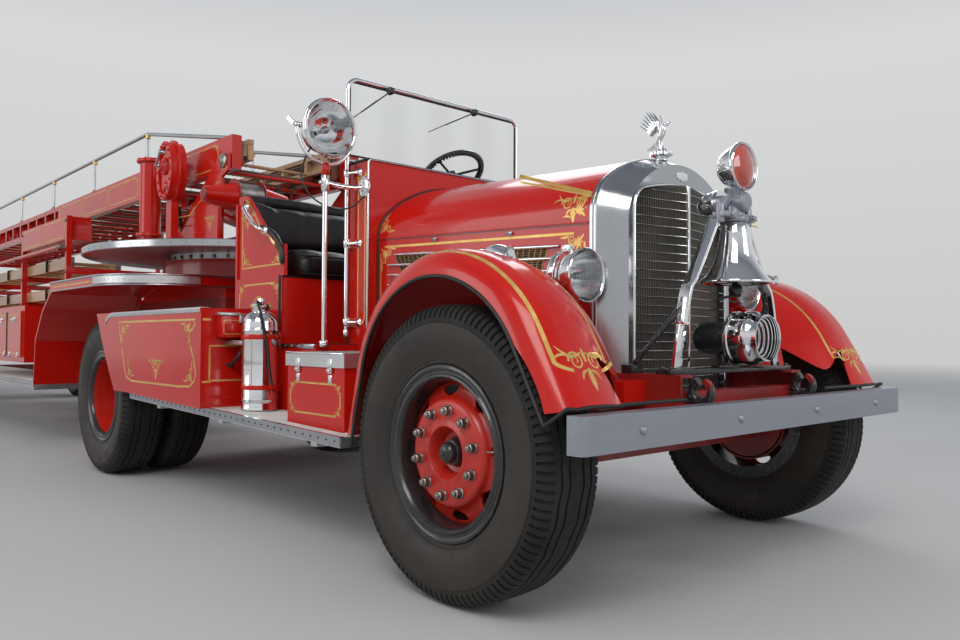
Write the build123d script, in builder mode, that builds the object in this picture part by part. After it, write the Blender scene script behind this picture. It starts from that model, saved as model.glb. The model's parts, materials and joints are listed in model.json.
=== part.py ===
from build123d import *
import os
from math import cos, radians, sin

os.makedirs("parts", exist_ok=True)

# A tractor-drawn aerial ladder fire truck with an open cab, in millimetres.
# X points forward, Y to the vehicle's left and Z up; the origin is on the ground under the middle.

# Overall stations: the front axle is the tractor's datum and the kingpin is the trailer's
length = 14600.0
bumper_reach = 640.0
wheelbase = 3470.0
kingpin_setback = 130.0
rear_overhang = 2960.0
front_axle_x = length / 2 - bumper_reach
rear_axle_x = front_axle_x - wheelbase
kingpin_x = rear_axle_x - kingpin_setback
tail_x = -length / 2
trailer_axle_x = tail_x + rear_overhang
sides = {"right": -1, "left": 1}

# Clearances
face_gap = 0.3
pin_gap = 0.7
moving_gap = 6.0

# Tyres and rims
tyre_radius = 500.0
tyre_width = 260.0
bead_radius = 250.0
bead_width = 200.0
flange_radius = 294.0
flange_thickness = 8.0
barrel_thickness = 14.0
wheel_y = 960.0
twin_spacing = 300.0
hub_radius = 72.0
drum_radius = 205.0
drum_wall = 9.0
disc_thickness = 10.0
disc_flat_radius = 172.0
axle_z = tyre_radius

# Steering knuckles and axle beams
kingpin_y = 820.0
kingpin_radius = 22.0
boss_radius = 36.0
boss_half = 60.0
fork_half = 42.0
fork_arm = 30.0
fork_plate = 12.0
backing_radius = 190.0
backing_thickness = 8.0
spindle_radius = 30.0
beam_half = 35.0
beam_height = 80.0
beam_top = 480.0
steering_arm = 150.0
steering_lock = 32.0
wheel_room_steps = 4
wheel_clearance = 12.0

# Tractor frame
rail_inner_y = 355.0
rail_outer_y = 430.0
rail_bottom = 600.0
rail_top = 760.0
rail_wall = 10.0
crossmember_top = 700.0
rail_front_x = front_axle_x + 500.0
rail_rear_x = kingpin_x - 550.0
spring_y = (rail_inner_y + rail_outer_y) / 2
spring_half_width = 30.0
plate_radius = 420.0
plate_top = 1030.0
plate_thickness = 40.0
coupling_pin = 45.0

# Bumper
bumper_x = front_axle_x + bumper_reach
bumper_half = 1100.0
bumper_bottom = 560.0
bumper_height = 110.0
bumper_depth = 60.0
bumper_wall = 8.0

# Arches are (half width, height where the curve springs, top, corner radius)
shell_rear_x = front_axle_x + 90.0
shell_band = 30.0
shell_depth = 130.0
shell_bottom = 600.0
shell_rear_arch = (420.0, 1360.0, 1620.0, 180.0)
shell_front_arch = (350.0, 1340.0, 1585.0, 150.0)
opening_arch = (315.0, 1380.0, 1500.0, 90.0)
opening_bottom = 640.0
shell_wall = 14.0
grille_thickness = 22.0
grille_rise = 75.0
cap_radius = 43.0

# Hood and engine
hood_rear_x = front_axle_x - 1190.0
hood_rear_arch = (500.0, 1360.0, 1670.0, 200.0)
hood_bottom = 860.0
hood_wall = 5.0
engine_half = 280.0
engine_top = 1350.0
engine_margin = 140.0

# Cab
panel = 20.0
cowl_half = 560.0
cowl_depth = 170.0
cowl_top = 1755.0
floor_top = 850.0
floor_thickness = 30.0
cab_half = 800.0
door_front_x = hood_rear_x - 75.0
seat_front_x = hood_rear_x - 440.0
seat_box_depth = 510.0
seat_box_half = 780.0
seat_box_top = 1200.0
seat_back_x = seat_front_x - seat_box_depth
cushion_top = 1340.0
cushion_half = 700.0
cushion_depth = 450.0
back_top = 1680.0
back_thickness = 155.0
back_panel_top = 1620.0
end_panel_low = 1360.0
end_panel_high = 1660.0

# Windscreen
screen_x = hood_rear_x - 140.0
screen_half = 590.0
screen_top = 2180.0
screen_foot = 920.0
screen_tube = 11.0
screen_corner = 60.0
glass_thickness = 6.0

# Steering column and wheel
column_y = 360.0
steer_wheel_radius = 200.0
steer_wheel_x = front_axle_x - 1650.0
steer_wheel_z = 1870.0
column_foot_z = 1450.0
column_radius = 20.0
steer_rim = 12.0
wheel_hub = 28.0

# Front fenders: from the crown's top an arc and a straight tail each way, as (radius, sweep, tail)
fender_inner_y = 500.0
fender_outer_y = 1090.0
fender_sheet = 6.0
fender_top = 1192.0
fender_bracket_half = 30.0
fender_top_x = front_axle_x - 40.0
fender_arcs = {1: (553.0, 60.9, 261.0), -1: (512.0, 76.5, 308.0)}
fender_outer_round = 100.0
fender_inner_round = 440.0

# Running boards rise a little towards the rear
board_front_x = front_axle_x - 600.0
board_rear_x = front_axle_x - 2920.0
board_inner_y = 460.0
board_outer_y = 1080.0
board_front_z = 495.0
board_rise = 60.0
board_thickness = 40.0

# Tool boxes on the running boards
tool_box_front_x = front_axle_x - 700.0
tool_box_length = 460.0
tool_box_inner_y = 620.0
tool_box_outer_y = 1000.0
tool_box_top = 760.0
tool_box_wall = 8.0
lid_height = 60.0
lid_lap = 8.0

# Rear fenders
rear_fender_front_x = front_axle_x - 1830.0
rear_fender_rear_x = front_axle_x - 3450.0
rear_fender_foot_x = front_axle_x - 3100.0
rear_fender_arc = (130.0, 830.0)
rear_fender_outer_y = 1115.0
rear_fender_top = 1030.0
rear_fender_sheet = 10.0

# Lamps
headlamp_x = front_axle_x + 190.0
headlamp_y = 560.0
headlamp_z = 1112.0
headlamp_radius = 98.0
marker_x = front_axle_x + 144.0
marker_y = 900.0
marker_length = 120.0
spot_x = front_axle_x - 1190.0
spot_y = 770.0
spot_z = 1870.0
spot_radius = 136.0
spot_depth = 180.0
spot_arm_z = 1615.0
post_x = hood_rear_x - 50.0
post_radius = 12.0

# Bell, siren and warning lamp on their stand
bell_x = front_axle_x + 455.0
bell_mouth_z = 1095.0
bell_radius = 135.0
bell_height = 235.0
bell_wall = 8.0
stand_bar = 20.0
siren_z = 890.0
siren_radius = 100.0
siren_length = 345.0
beacon_x = front_axle_x + 490.0
beacon_z = 1540.0
beacon_radius = 90.0
extinguisher_x = front_axle_x - 1620.0
extinguisher_y = 900.0
extinguisher_radius = 92.0
extinguisher_height = 555.0

# Trailer frame
trailer_rail_inner = 360.0
trailer_rail_outer = 450.0
trailer_rail_bottom = 720.0
trailer_rail_top = 900.0
trailer_spring_z = 640.0
trailer_spring_reach = 500.0
frame_tail_setback = 150.0
coupling_pin_bottom = 900.0
frame_bearers = 7
frame_bearer_front = 300.0
frame_bearer_rear = 910.0
neck_bearer_reach = 300.0
gooseneck_bottom = 1050.0
gooseneck_top = 1150.0
drop_x = kingpin_x - 1350.0
drop_depth = 100.0

# Trailer nose platform and the arches behind the tractor's wheels
nose_reach = 620.0
nose_corner = 500.0
body_half = 1130.0
platform_top = 1280.0
platform_lip = 70.0
platform_plate = 12.0
tower_radius = 600.0
tower_top = 1420.0
arch_sheet = 12.0
arch_inner_y = 460.0

# Trailer compartments, boards and wheel fenders
box_front_x = kingpin_x - 1970.0
box_length = 2030.0
box_inner_y = 500.0
box_outer_y = 1050.0
box_bottom = 660.0
box_top = 1145.0
box_wall = 15.0
door_margin = 60.0
door_lap = 15.0
door_thickness = 20.0
trailer_board_top = 520.0
trailer_board_thickness = 40.0
trailer_board_outer = 1100.0
trailer_board_gap = 490.0
board_bracket_inset = 250.0
trailer_fender_radius = 610.0
trailer_fender_sheet = 8.0
trailer_fender_inner = 550.0

# Ladder racks and ground ladders
post_count = 6
post_y = 900.0
post_size = 40.0
rack_first_x = kingpin_x - 1370.0
rack_last_x = trailer_axle_x - 970.0
rack_top = 1860.0
bearer_tops = (1200.0, 1440.0)
bearer_height = 50.0
pipe_z = 1600.0
pipe_standoff = 50.0
pipe_radius = 16.0
bracket_width = 20.0
bracket_thickness = 16.0
tray_bottom = 1670.0
tray_width = 200.0
tray_wall = 10.0
cradle_x = trailer_axle_x - 800.0
cradle_half = 30.0
cradle_bar = 50.0
ground_ladder_width = 400.0
ground_ladder_height = 90.0
ground_ladder_length = 5240.0
ground_rung_pitch = 380.0

# Turntable
deck_radius = 1125.0
deck_top = 1490.0
deck_plate = 25.0
deck_band = 45.0
ring_radius = 550.0
pivot_pin_radius = 80.0

# Aerial ladder: the sections nest inside each other, and x falls from the heel to the tip
heel_x = kingpin_x + 700.0
heel_z = 2030.0
heel_end = 50.0
heel_pin_radius = 30.0
heel_plate_y = 500.0
heel_plate = 20.0
station_length = 1060.0
station_front_x = tail_x + station_length
tip_gap = 200.0
base_tip_x = station_front_x + tip_gap
base_outer_y = 480.0
base_bottom = 1980.0
base_top = 2200.0
base_rail = 60.0
middle_outer_y = 385.0
middle_rail = 45.0
middle_bottom = 2030.0
top_outer_y = 310.0
top_rail = 40.0
top_bottom = 2080.0
section_setback = 130.0
section_height = 170.0
top_height = 140.0
tip_step = 40.0
guide_length = 300.0
rung_radius = 12.0
rung_pitch = 350.0
panel_length = 3900.0
panel_sheet = 6.0
hand_rail_z = 2500.0
hand_rail_radius = 15.0
hand_rail_reach = 1550.0
hand_rail_posts = 6

# Hoist cylinders between the deck and the base ladder
hoist_y = 200.0
hoist_base_x = heel_x - 100.0
hoist_base_z = 1620.0
hoist_eye_x = heel_x - 1300.0
hoist_eye_z = 1940.0
hoist_barrel_radius = 60.0
hoist_rod_radius = 35.0
hoist_pin_radius = 20.0
hoist_lug = 14.0

# Rear steering station
station_floor = 930.0
station_half = 480.0
tiller_wheel_x = station_front_x - 250.0
tiller_wheel_z = 1850.0
tiller_wheel_radius = 210.0
tiller_lean = 130.0
tiller_seat_top = 1450.0
tiller_back_top = 1930.0


def block(x_range, y_range, z_range, mode=Mode.ADD):
    """A box given by its limits, in the part that is open."""
    size = [high - low for low, high in (x_range, y_range, z_range)]
    middle = [(high + low) / 2 for low, high in (x_range, y_range, z_range)]
    with Locations(tuple(middle)):
        Box(*size, mode=mode)


def around(middle, half):
    """The limits of a length centred on a value."""
    return (middle - half, middle + half)


def side_range(side, inner, outer):
    """The Y limits of a piece on one side, from its inner and outer distances."""
    return tuple(sorted((side * inner, side * outer)))


def rod(start, end, radius, mode=Mode.ADD):
    """A round bar between two points."""
    start, end = Vector(*start), Vector(*end)
    with Locations(Plane(origin=(start + end) / 2, z_dir=end - start).location):
        Cylinder(radius, (end - start).length, mode=mode)


def lathe(origin, direction, points, mode=Mode.ADD):
    """A solid turned about a line; points are (radius, distance along the line)."""
    along = Vector(*direction).normalized()
    up = Vector(0, 0, 1) if abs(along.Z) < 0.9 else Vector(1, 0, 0)
    across = (up - along * up.dot(along)).normalized()
    plane = Plane(origin=origin, x_dir=across, z_dir=across.cross(along))
    with BuildSketch(plane) as profile:
        Polygon(*points, align=None)
    revolve(profile.sketch, axis=Axis(origin, tuple(along)), mode=mode)


def side_plate(points, y_range, mode=Mode.ADD):
    """A plate across y_range whose side outline is given as (x, z) points."""
    low, high = y_range
    with BuildSketch(Plane.XZ.offset(-high)) as outline:
        Polygon(*points, align=None)
    extrude(outline.sketch, amount=high - low, mode=mode)


def across_plane(x):
    """A plane across the vehicle at x, with its own x to the left and its y up."""
    return Plane(origin=(x, 0, 0), x_dir=(0, 1, 0), z_dir=(1, 0, 0))


def arch_sketch(x, arch, bottom, inset=0.0):
    """Upright sides, small corner arcs and one wide arc over the top, all tangent."""
    half, spring_z, top, corner = arch
    half, top, corner = half - inset, top - inset, corner - inset
    across, rise = half - corner, top - spring_z
    crown = (across**2 + rise**2 - corner**2) / (2 * (rise - corner))
    reach = crown / (crown - corner)
    meet_y, meet_z = across * reach, top - crown + (crown - rise) * reach
    with BuildSketch(across_plane(x)) as face:
        with BuildLine() as outline:
            Polyline((-half, spring_z), (-half, bottom), (half, bottom), (half, spring_z))
            TangentArc((half, spring_z), (meet_y, meet_z), tangent=(0, 1))
            ThreePointArc((meet_y, meet_z), (0, top), (-meet_y, meet_z))
            TangentArc((-half, spring_z), (-meet_y, meet_z), tangent=(0, 1))
        make_face(outline.edges())
    return face.sketch


def save(builder, name):
    """Labels a finished piece and writes it."""
    builder.part.label = name
    export_step(builder.part, f"parts/{name}.step")


# Wheels: points are (radius, distance outboard of the wheel's middle)

def tyre_points(middle):
    """Half of the outline is listed from the bead out to the tread."""
    half_bead, half = bead_width / 2, tyre_width / 2
    outline = ((bead_radius, half_bead), (flange_radius + 3, half_bead), (385, half), (465, half - 8),
               (tyre_radius, half - 38))
    return [(r, middle - y) for r, y in outline] + [(r, middle + y) for r, y in reversed(outline)]


def barrel_points(middle):
    """A rim's barrel with its two flanges, round the tyre's bead."""
    half = bead_width / 2
    inner, edge = bead_radius - barrel_thickness, half + flange_thickness
    outline = ((inner, edge), (flange_radius, edge), (flange_radius, half), (bead_radius - face_gap, half))
    return [(r, middle + y) for r, y in outline] + [(r, middle - y) for r, y in reversed(outline)]


barrel_inner = bead_radius - barrel_thickness
hub_start = kingpin_y + boss_radius + fork_plate + backing_thickness + 18 - wheel_y
hub_end = 92.0
cap_end = 115.0
disc_rim_y = 16.0
disc_hub_y = 72.0
steered_axles = {"front": front_axle_x, "trailer": trailer_axle_x}
for place, x in steered_axles.items():
    for name, side in sides.items():
        origin, outboard = (x, side * wheel_y, axle_z), (0, side, 0)
        with BuildPart() as tyre:
            lathe(origin, outboard, tyre_points(0))
        save(tyre, f"{place}_tyre_{name}")
        with BuildPart() as rim:
            lathe(origin, outboard, barrel_points(0))
            bore = spindle_radius + pin_gap
            lathe(origin, outboard, [(bore, hub_start), (hub_radius, hub_start), (hub_radius, hub_end),
                                     (hub_radius * 0.7, cap_end), (0, cap_end), (0, hub_end - 8),
                                     (bore, hub_end - 8)])
            lathe(origin, outboard, [
                (hub_radius - 1, disc_hub_y - disc_thickness),
                (disc_flat_radius, disc_hub_y - disc_thickness),
                (barrel_inner + 1, disc_rim_y - disc_thickness), (barrel_inner + 1, disc_rim_y),
                (disc_flat_radius, disc_hub_y), (hub_radius - 1, disc_hub_y)])
            drum_start = hub_start + 6
            lathe(origin, outboard,
                  [(drum_radius - drum_wall, drum_start), (drum_radius, drum_start), (drum_radius, 0),
                                     (hub_radius - 1, 0), (hub_radius - 1, -drum_wall),
                                     (drum_radius - drum_wall, -drum_wall)])
        save(rim, f"{place}_rim_{name}")

rear_spindle_radius = 38.0
rear_hub_radius = hub_radius + 8
rear_hub_start = 600.0 - wheel_y
rear_hub_end = -40.0
for name, side in sides.items():
    origin, outboard = (rear_axle_x, side * wheel_y, axle_z), (0, side, 0)
    with BuildPart() as tyre:
        lathe(origin, outboard, tyre_points(0))
        lathe(origin, outboard, tyre_points(-twin_spacing))
    save(tyre, f"rear_tyres_{name}")
    with BuildPart() as rim:
        lathe(origin, outboard, barrel_points(0))
        lathe(origin, outboard, barrel_points(-twin_spacing))
        bore, disc_y = rear_spindle_radius + pin_gap, -twin_spacing / 2
        lathe(origin, outboard, [
            (bore, rear_hub_start), (rear_hub_radius, rear_hub_start), (rear_hub_radius, rear_hub_end),
            (hub_radius * 0.7, rear_hub_end + 25), (0, rear_hub_end + 25), (0, rear_hub_end - 8),
            (bore, rear_hub_end - 8)])
        disc_back, disc_front = disc_y - disc_thickness / 2, disc_y + disc_thickness / 2
        lathe(origin, outboard, [(hub_radius, disc_back), (barrel_inner + 1, disc_back),
                                 (barrel_inner + 1, disc_front), (hub_radius, disc_front)])
        lathe(origin, outboard, [(barrel_inner, -twin_spacing + 90), (bead_radius - 2, -twin_spacing + 90),
                                 (bead_radius - 2, -90), (barrel_inner, -90)])
        lathe(origin, outboard, [(drum_radius - drum_wall, rear_hub_start), (drum_radius, rear_hub_start),
                                 (drum_radius, rear_hub_start + 90), (hub_radius, rear_hub_start + 90),
                                 (hub_radius, rear_hub_start + 80),
                                 (drum_radius - drum_wall, rear_hub_start + 80)])
    save(rim, f"rear_rims_{name}")

# Steering knuckles: a fork round the beam's boss, a kingpin, a backing plate, a spindle and an arm
fork_in, fork_out = kingpin_y - boss_radius, kingpin_y + boss_radius + 8
spindle_start = fork_out + fork_plate
arm_gap = boss_half + moving_gap
for place, x in steered_axles.items():
    for name, side in sides.items():
        with BuildPart() as knuckle:
            for up in (-1, 1):
                z_range = tuple(sorted((axle_z + up * arm_gap, axle_z + up * (arm_gap + fork_arm))))
                block(around(x, fork_half), side_range(side, fork_in, spindle_start), z_range)
            block(around(x, fork_half), side_range(side, fork_out, spindle_start),
                  around(axle_z, arm_gap + fork_arm))
            rod((x, side * kingpin_y, axle_z - arm_gap - 5), (x, side * kingpin_y, axle_z + arm_gap + 5),
                kingpin_radius)
            lathe((x, side * spindle_start, axle_z), (0, side, 0), [
                (0, -1), (backing_radius, -1), (backing_radius, backing_thickness),
                (spindle_radius, backing_thickness),
                (spindle_radius, wheel_y + hub_end - 12 - spindle_start),
                (0, wheel_y + hub_end - 12 - spindle_start)])
            block((x - fork_half - steering_arm, x - fork_half + 1),
                  side_range(side, fork_in + 5, kingpin_y - 5),
                  (axle_z - arm_gap - fork_arm, axle_z - arm_gap))
        save(knuckle, f"{place}_knuckle_{name}")


def leaf_springs(x, side, middle_y, seat_z, pack, eye_z, half_length):
    """A curved pack of leaves from an axle's seat up to the rail's underside at both ends."""
    leaf_end, eye = 20.0, 30.0
    with BuildSketch(Plane.XZ.offset(-side * middle_y)) as leaf:
        with BuildLine() as outline:
            ThreePointArc((x - half_length, eye_z - leaf_end), (x, seat_z),
                          (x + half_length, eye_z - leaf_end))
            Line((x + half_length, eye_z - leaf_end), (x + half_length, eye_z))
            ThreePointArc((x + half_length, eye_z), (x, seat_z + pack), (x - half_length, eye_z))
            Line((x - half_length, eye_z), (x - half_length, eye_z - leaf_end))
        make_face(outline.edges())
    extrude(leaf.sketch, amount=spring_half_width, both=True)
    for end in (-1, 1):
        block(around(x + end * half_length, eye), around(side * middle_y, spring_half_width),
              (eye_z - leaf_end - 5, eye_z))


def beam_axle(x, middle_y, eye_z):
    """A dropped beam with a kingpin boss at each end, and its two springs."""
    neck_y, low = kingpin_y - 120, beam_top - beam_height
    half_outline = [(neck_y, low), (neck_y + 50, axle_z - boss_half), (kingpin_y, axle_z - boss_half),
                    (kingpin_y, axle_z + boss_half), (neck_y + 40, axle_z + boss_half),
                    (neck_y - 20, beam_top)]
    with BuildSketch(across_plane(x - beam_half)) as beam:
        Polygon(*half_outline, *[(-y, z) for y, z in reversed(half_outline)], align=None)
    extrude(beam.sketch, amount=2 * beam_half)
    for side in sides.values():
        with Locations((x, side * kingpin_y, axle_z)):
            Cylinder(boss_radius, 2 * boss_half)
            Cylinder(kingpin_radius + pin_gap, 3 * boss_half, mode=Mode.SUBTRACT)
        leaf_springs(x, side, middle_y, beam_top - 1, 42.0, eye_z, 500.0)


with BuildPart() as axles:
    beam_axle(front_axle_x, spring_y, rail_bottom)
    tube = 60.0
    lathe((rear_axle_x, 0, axle_z), (1, 0, 0), [(0, -150), (110, -120), (185, -40), (185, 50), (90, 160),
                                                (45, 220), (0, 220)])
    for side in sides.values():
        tube_end = wheel_y + rear_hub_start - 10
        lathe((rear_axle_x, 0, axle_z), (0, side, 0), [
            (0, 100), (tube, 100), (tube, tube_end - 20), (backing_radius, tube_end - 20),
            (backing_radius, tube_end - 12),
            (rear_spindle_radius, tube_end), (rear_spindle_radius, wheel_y + rear_hub_end - 14),
            (0, wheel_y + rear_hub_end - 14)])
        leaf_springs(rear_axle_x, side, spring_y, axle_z + tube - 4, 34.0, rail_bottom, 560.0)
save(axles, "axles")

# Tractor frame: channel rails with horns and tow hooks, crossmembers and the lower coupling plate
bumper_back_x = bumper_x - bumper_depth
bumper_top = bumper_bottom + bumper_height
crossmember_xs = [front_axle_x + step for step in (450, -350, -950, -2200, -3200, -4100)]
with BuildPart() as tractor_frame:
    for side in sides.values():
        block((rail_rear_x, rail_front_x), side_range(side, rail_inner_y, rail_outer_y),
              (rail_bottom, rail_top))
        block((rail_rear_x - 1, rail_front_x + 1),
              side_range(side, rail_inner_y - 1, rail_outer_y - rail_wall),
              (rail_bottom + rail_wall, rail_top - rail_wall), mode=Mode.SUBTRACT)
        block((rail_front_x - 10, bumper_back_x), side_range(side, rail_inner_y, rail_outer_y),
              (rail_bottom, bumper_top - bumper_wall))
    for x in crossmember_xs:
        block(around(x, 40), (-rail_outer_y + 5, rail_outer_y - 5), (rail_bottom + 5, crossmember_top))
    for side in sides.values():
        block(around(kingpin_x, 250), side_range(side, 150, rail_outer_y - 15), (rail_top - 5, rail_top + 60))
    pedestal_radius, pin_hole = 260.0, coupling_pin + pin_gap
    lathe((kingpin_x, 0, 0), (0, 0, 1), [
        (pin_hole, rail_top), (pedestal_radius, rail_top), (pedestal_radius, plate_top - plate_thickness),
        (plate_radius, plate_top - plate_thickness), (plate_radius, plate_top), (pin_hole, plate_top)])
    hook_x, hook_z, hook_radius, hook_wall = rail_front_x + 45, bumper_top + 35, 45.0, 17.0
    for side in sides.values():
        with BuildSketch(Plane.XZ.offset(-side * (rail_inner_y + 15))) as hook:
            with Locations((hook_x, hook_z)):
                Circle(hook_radius)
                Circle(hook_radius - hook_wall, mode=Mode.SUBTRACT)
            Polygon((hook_x, hook_z), (hook_x + 20, hook_z + 70), (hook_x - 60, hook_z + 70), align=None,
                    mode=Mode.SUBTRACT)
        extrude(hook.sketch, amount=12, both=True)
save(tractor_frame, "tractor_frame")

engine_front_x, engine_rear_x = shell_rear_x - engine_margin - 200, hood_rear_x + engine_margin
with BuildPart() as engine:
    block((engine_rear_x, engine_front_x), (-engine_half, engine_half), (crossmember_top, engine_top))
save(engine, "engine")

with BuildPart() as front_bumper:
    block((bumper_back_x, bumper_x), (-bumper_half, bumper_half), (bumper_bottom, bumper_top))
    fillet(front_bumper.edges().filter_by(Axis.Z).group_by(Axis.X)[-1], 25)
    block((bumper_back_x - 1, bumper_x - bumper_wall),
          (-bumper_half + bumper_wall * 4, bumper_half - bumper_wall * 4),
          (bumper_bottom + bumper_wall, bumper_top - bumper_wall), mode=Mode.SUBTRACT)
    for side in sides.values():
        block((bumper_back_x, bumper_x - bumper_wall + 1), side_range(side, rail_inner_y, rail_outer_y),
              (rail_bottom, bumper_top - bumper_wall + 1))
save(front_bumper, "front_bumper")

# Radiator shell: a band, then sides and top that draw in to the front, round the arched opening
shell_front_x = shell_rear_x + shell_depth
with BuildPart() as radiator_shell:
    rear = arch_sketch(shell_rear_x, shell_rear_arch, shell_bottom)
    extrude(rear, amount=shell_band)
    loft([arch_sketch(shell_rear_x + shell_band, shell_rear_arch, shell_bottom),
          arch_sketch(shell_front_x, shell_front_arch, shell_bottom)])
    core = arch_sketch(shell_rear_x, shell_rear_arch, opening_bottom, inset=shell_wall)
    extrude(core, amount=shell_band, mode=Mode.SUBTRACT)
    opening = arch_sketch(shell_rear_x, opening_arch, opening_bottom)
    extrude(opening, amount=shell_depth + 1, mode=Mode.SUBTRACT)
    for side in sides.values():
        block((shell_rear_x - 1, shell_front_x + 1), side_range(side, rail_inner_y - 3, rail_outer_y + 10),
              (shell_bottom - 1, rail_top), mode=Mode.SUBTRACT)
    block((shell_rear_x - 1, shell_front_x + 1), (-opening_arch[0], opening_arch[0]),
          (shell_bottom - 1, crossmember_top - 60), mode=Mode.SUBTRACT)
save(radiator_shell, "radiator_shell")

grille_back_x = shell_front_x - 45
opening_half = opening_arch[0]
with BuildPart() as grille:
    with BuildSketch(Plane.XY.offset(opening_bottom)) as prow:
        Polygon((grille_back_x, -opening_half), (grille_back_x, opening_half),
                (grille_back_x + grille_thickness, opening_half), (grille_back_x + grille_rise, 0),
                (grille_back_x + grille_thickness, -opening_half), align=None)
        Polygon((grille_back_x - 1, 20 - opening_half), (grille_back_x - 1, opening_half - 20),
                (grille_back_x + grille_rise - grille_thickness, 0), align=None, mode=Mode.SUBTRACT)
    extrude(prow.sketch, amount=opening_arch[2] - opening_bottom)
    block((shell_rear_x + 5, grille_back_x + 10), (-opening_half, opening_half),
          (opening_bottom, opening_bottom + 12))
    block((shell_rear_x + 5, shell_rear_x + 25), (-opening_half, opening_half),
          (opening_bottom, opening_arch[2]))
    window = arch_sketch(shell_rear_x, opening_arch, opening_bottom, inset=face_gap)
    extrude(window, amount=shell_depth + 100, mode=Mode.INTERSECT)
save(grille, "grille")

# Filler cap and a bird with raised wings
cap_x = shell_rear_x + 30
shell_top = shell_rear_arch[2]
with BuildPart() as hood_figure:
    lathe((cap_x, 0, shell_top + face_gap), (0, 0, 1), [(0, 0), (24, 0), (24, 18), (cap_radius, 20),
                                                        (cap_radius, 36), (20, 48), (0, 48)])
    rod((cap_x, 0, shell_top + 44), (cap_x - 14, 0, shell_top + 130), 16)
    rod((cap_x - 14, 0, shell_top + 124), (cap_x + 12, 0, shell_top + 152), 11)
    for side in sides.values():
        with BuildSketch(across_plane(cap_x - 14)) as wing:
            Polygon((0, shell_top + 80), (side * 46, shell_top + 128), (side * 68, shell_top + 205),
                    (side * 26, shell_top + 150), (0, shell_top + 118), align=None)
        extrude(wing.sketch, amount=10)
save(hood_figure, "hood_figure")

with BuildPart() as hood:
    hood_front_arch = shell_rear_arch
    loft([arch_sketch(hood_rear_x, hood_rear_arch, hood_bottom),
          arch_sketch(shell_rear_x, hood_front_arch, hood_bottom)])
    loft([arch_sketch(hood_rear_x, hood_rear_arch, hood_bottom - 1, inset=hood_wall),
          arch_sketch(shell_rear_x, hood_front_arch, hood_bottom - 1, inset=hood_wall)], mode=Mode.SUBTRACT)
save(hood, "hood")


def board_z(x):
    """Height of the running board's top at x."""
    return board_front_z + board_rise * (board_front_x - x) / (board_front_x - board_rear_x)


# Cab: bulkhead, floor, seat box, end and back panels, and the steering column
cowl_rear_x = hood_rear_x - cowl_depth
floor_bottom = floor_top - floor_thickness
with BuildPart() as cab_body:
    block((hood_rear_x - panel, hood_rear_x), (-cowl_half, cowl_half), (floor_bottom, cowl_top))
    block((cowl_rear_x, hood_rear_x), (-cowl_half, cowl_half), (cowl_top - panel, cowl_top))
    block((cowl_rear_x, cowl_rear_x + 10), (-cowl_half, cowl_half), (cowl_top - 250, cowl_top))
    block((seat_back_x, hood_rear_x), (-cowl_half, cowl_half), (floor_bottom, floor_top))
    block((seat_back_x, door_front_x), (-cab_half, cab_half), (floor_bottom, floor_top))
    for side in sides.values():
        y_range = side_range(side, cowl_half - panel, cowl_half)
        side_plate([(cowl_rear_x, board_z(cowl_rear_x)), (hood_rear_x, board_z(hood_rear_x)),
                    (hood_rear_x, cowl_top),
                    (cowl_rear_x, cowl_top)], y_range)
        block((seat_back_x, hood_rear_x), side_range(side, rail_inner_y, rail_outer_y),
              (rail_top, floor_bottom + 1))
        side_plate([(rear_fender_front_x + 2, board_z(rear_fender_front_x)),
                    (door_front_x, board_z(door_front_x)),
                    (door_front_x, floor_bottom + 1), (rear_fender_front_x + 2, floor_bottom + 1)],
                   side_range(side, cab_half - panel, cab_half))
    block((seat_back_x, seat_front_x), (-seat_box_half, seat_box_half), (floor_top - 1, seat_box_top))
    block((seat_back_x + panel, seat_front_x - panel), (-seat_box_half + panel, seat_box_half - panel),
          (floor_top, seat_box_top - panel), mode=Mode.SUBTRACT)
    block((seat_back_x - panel, seat_back_x), (-seat_box_half, seat_box_half), (floor_bottom, back_panel_top))
    for side in sides.values():
        side_plate([(seat_back_x - 1, seat_box_top - 1), (seat_front_x, seat_box_top - 1),
                    (seat_front_x, end_panel_low),
                    (seat_front_x - 120, end_panel_low + 20), (seat_back_x + 90, end_panel_high),
                    (seat_back_x - 1, end_panel_high)],
                   side_range(side, seat_box_half - 30, seat_box_half - 10))
    column_run = Vector(steer_wheel_x - cowl_rear_x, 0, steer_wheel_z - column_foot_z).normalized()
    wheel_centre = Vector(steer_wheel_x, column_y, steer_wheel_z)
    rod((cowl_rear_x + 60, column_y, column_foot_z - 60),
        tuple(wheel_centre - column_run * (wheel_hub + pin_gap)),
        column_radius)
    block((cowl_rear_x - 5, hood_rear_x - panel + 1), around(column_y, 25), around(column_foot_z - 40, 20))
save(cab_body, "cab_body")

with BuildPart() as cab_seat:
    cushion_front_x = seat_front_x + 30
    block((cushion_front_x - cushion_depth, cushion_front_x), (-cushion_half, cushion_half),
          (seat_box_top + face_gap, cushion_top))
    block((seat_back_x + face_gap, seat_back_x + back_thickness), (-cushion_half, cushion_half),
          (cushion_top + face_gap, back_top))
    fillet(cab_seat.edges().filter_by(Axis.Y), 25)
save(cab_seat, "cab_seat")

with BuildPart() as windscreen_frame:
    with BuildLine() as hoop:
        FilletPolyline((screen_x, -screen_half, screen_foot), (screen_x, -screen_half, screen_top),
                       (screen_x, screen_half, screen_top), (screen_x, screen_half, screen_foot),
                       radius=screen_corner)
    with BuildSketch(Plane(origin=hoop.line @ 0, z_dir=hoop.line % 0)) as tube:
        Circle(screen_tube)
    sweep(tube.sketch, path=hoop.line)
    sill_z = cowl_top + face_gap + screen_tube
    rod((screen_x, -screen_half, sill_z), (screen_x, screen_half, sill_z), screen_tube)
    for side in sides.values():
        for z in (screen_foot + 40, column_foot_z - 100):
            block(around(screen_x, 18), side_range(side, cowl_half, screen_half - 5), around(z, 22))
save(windscreen_frame, "windscreen_frame")

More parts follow.
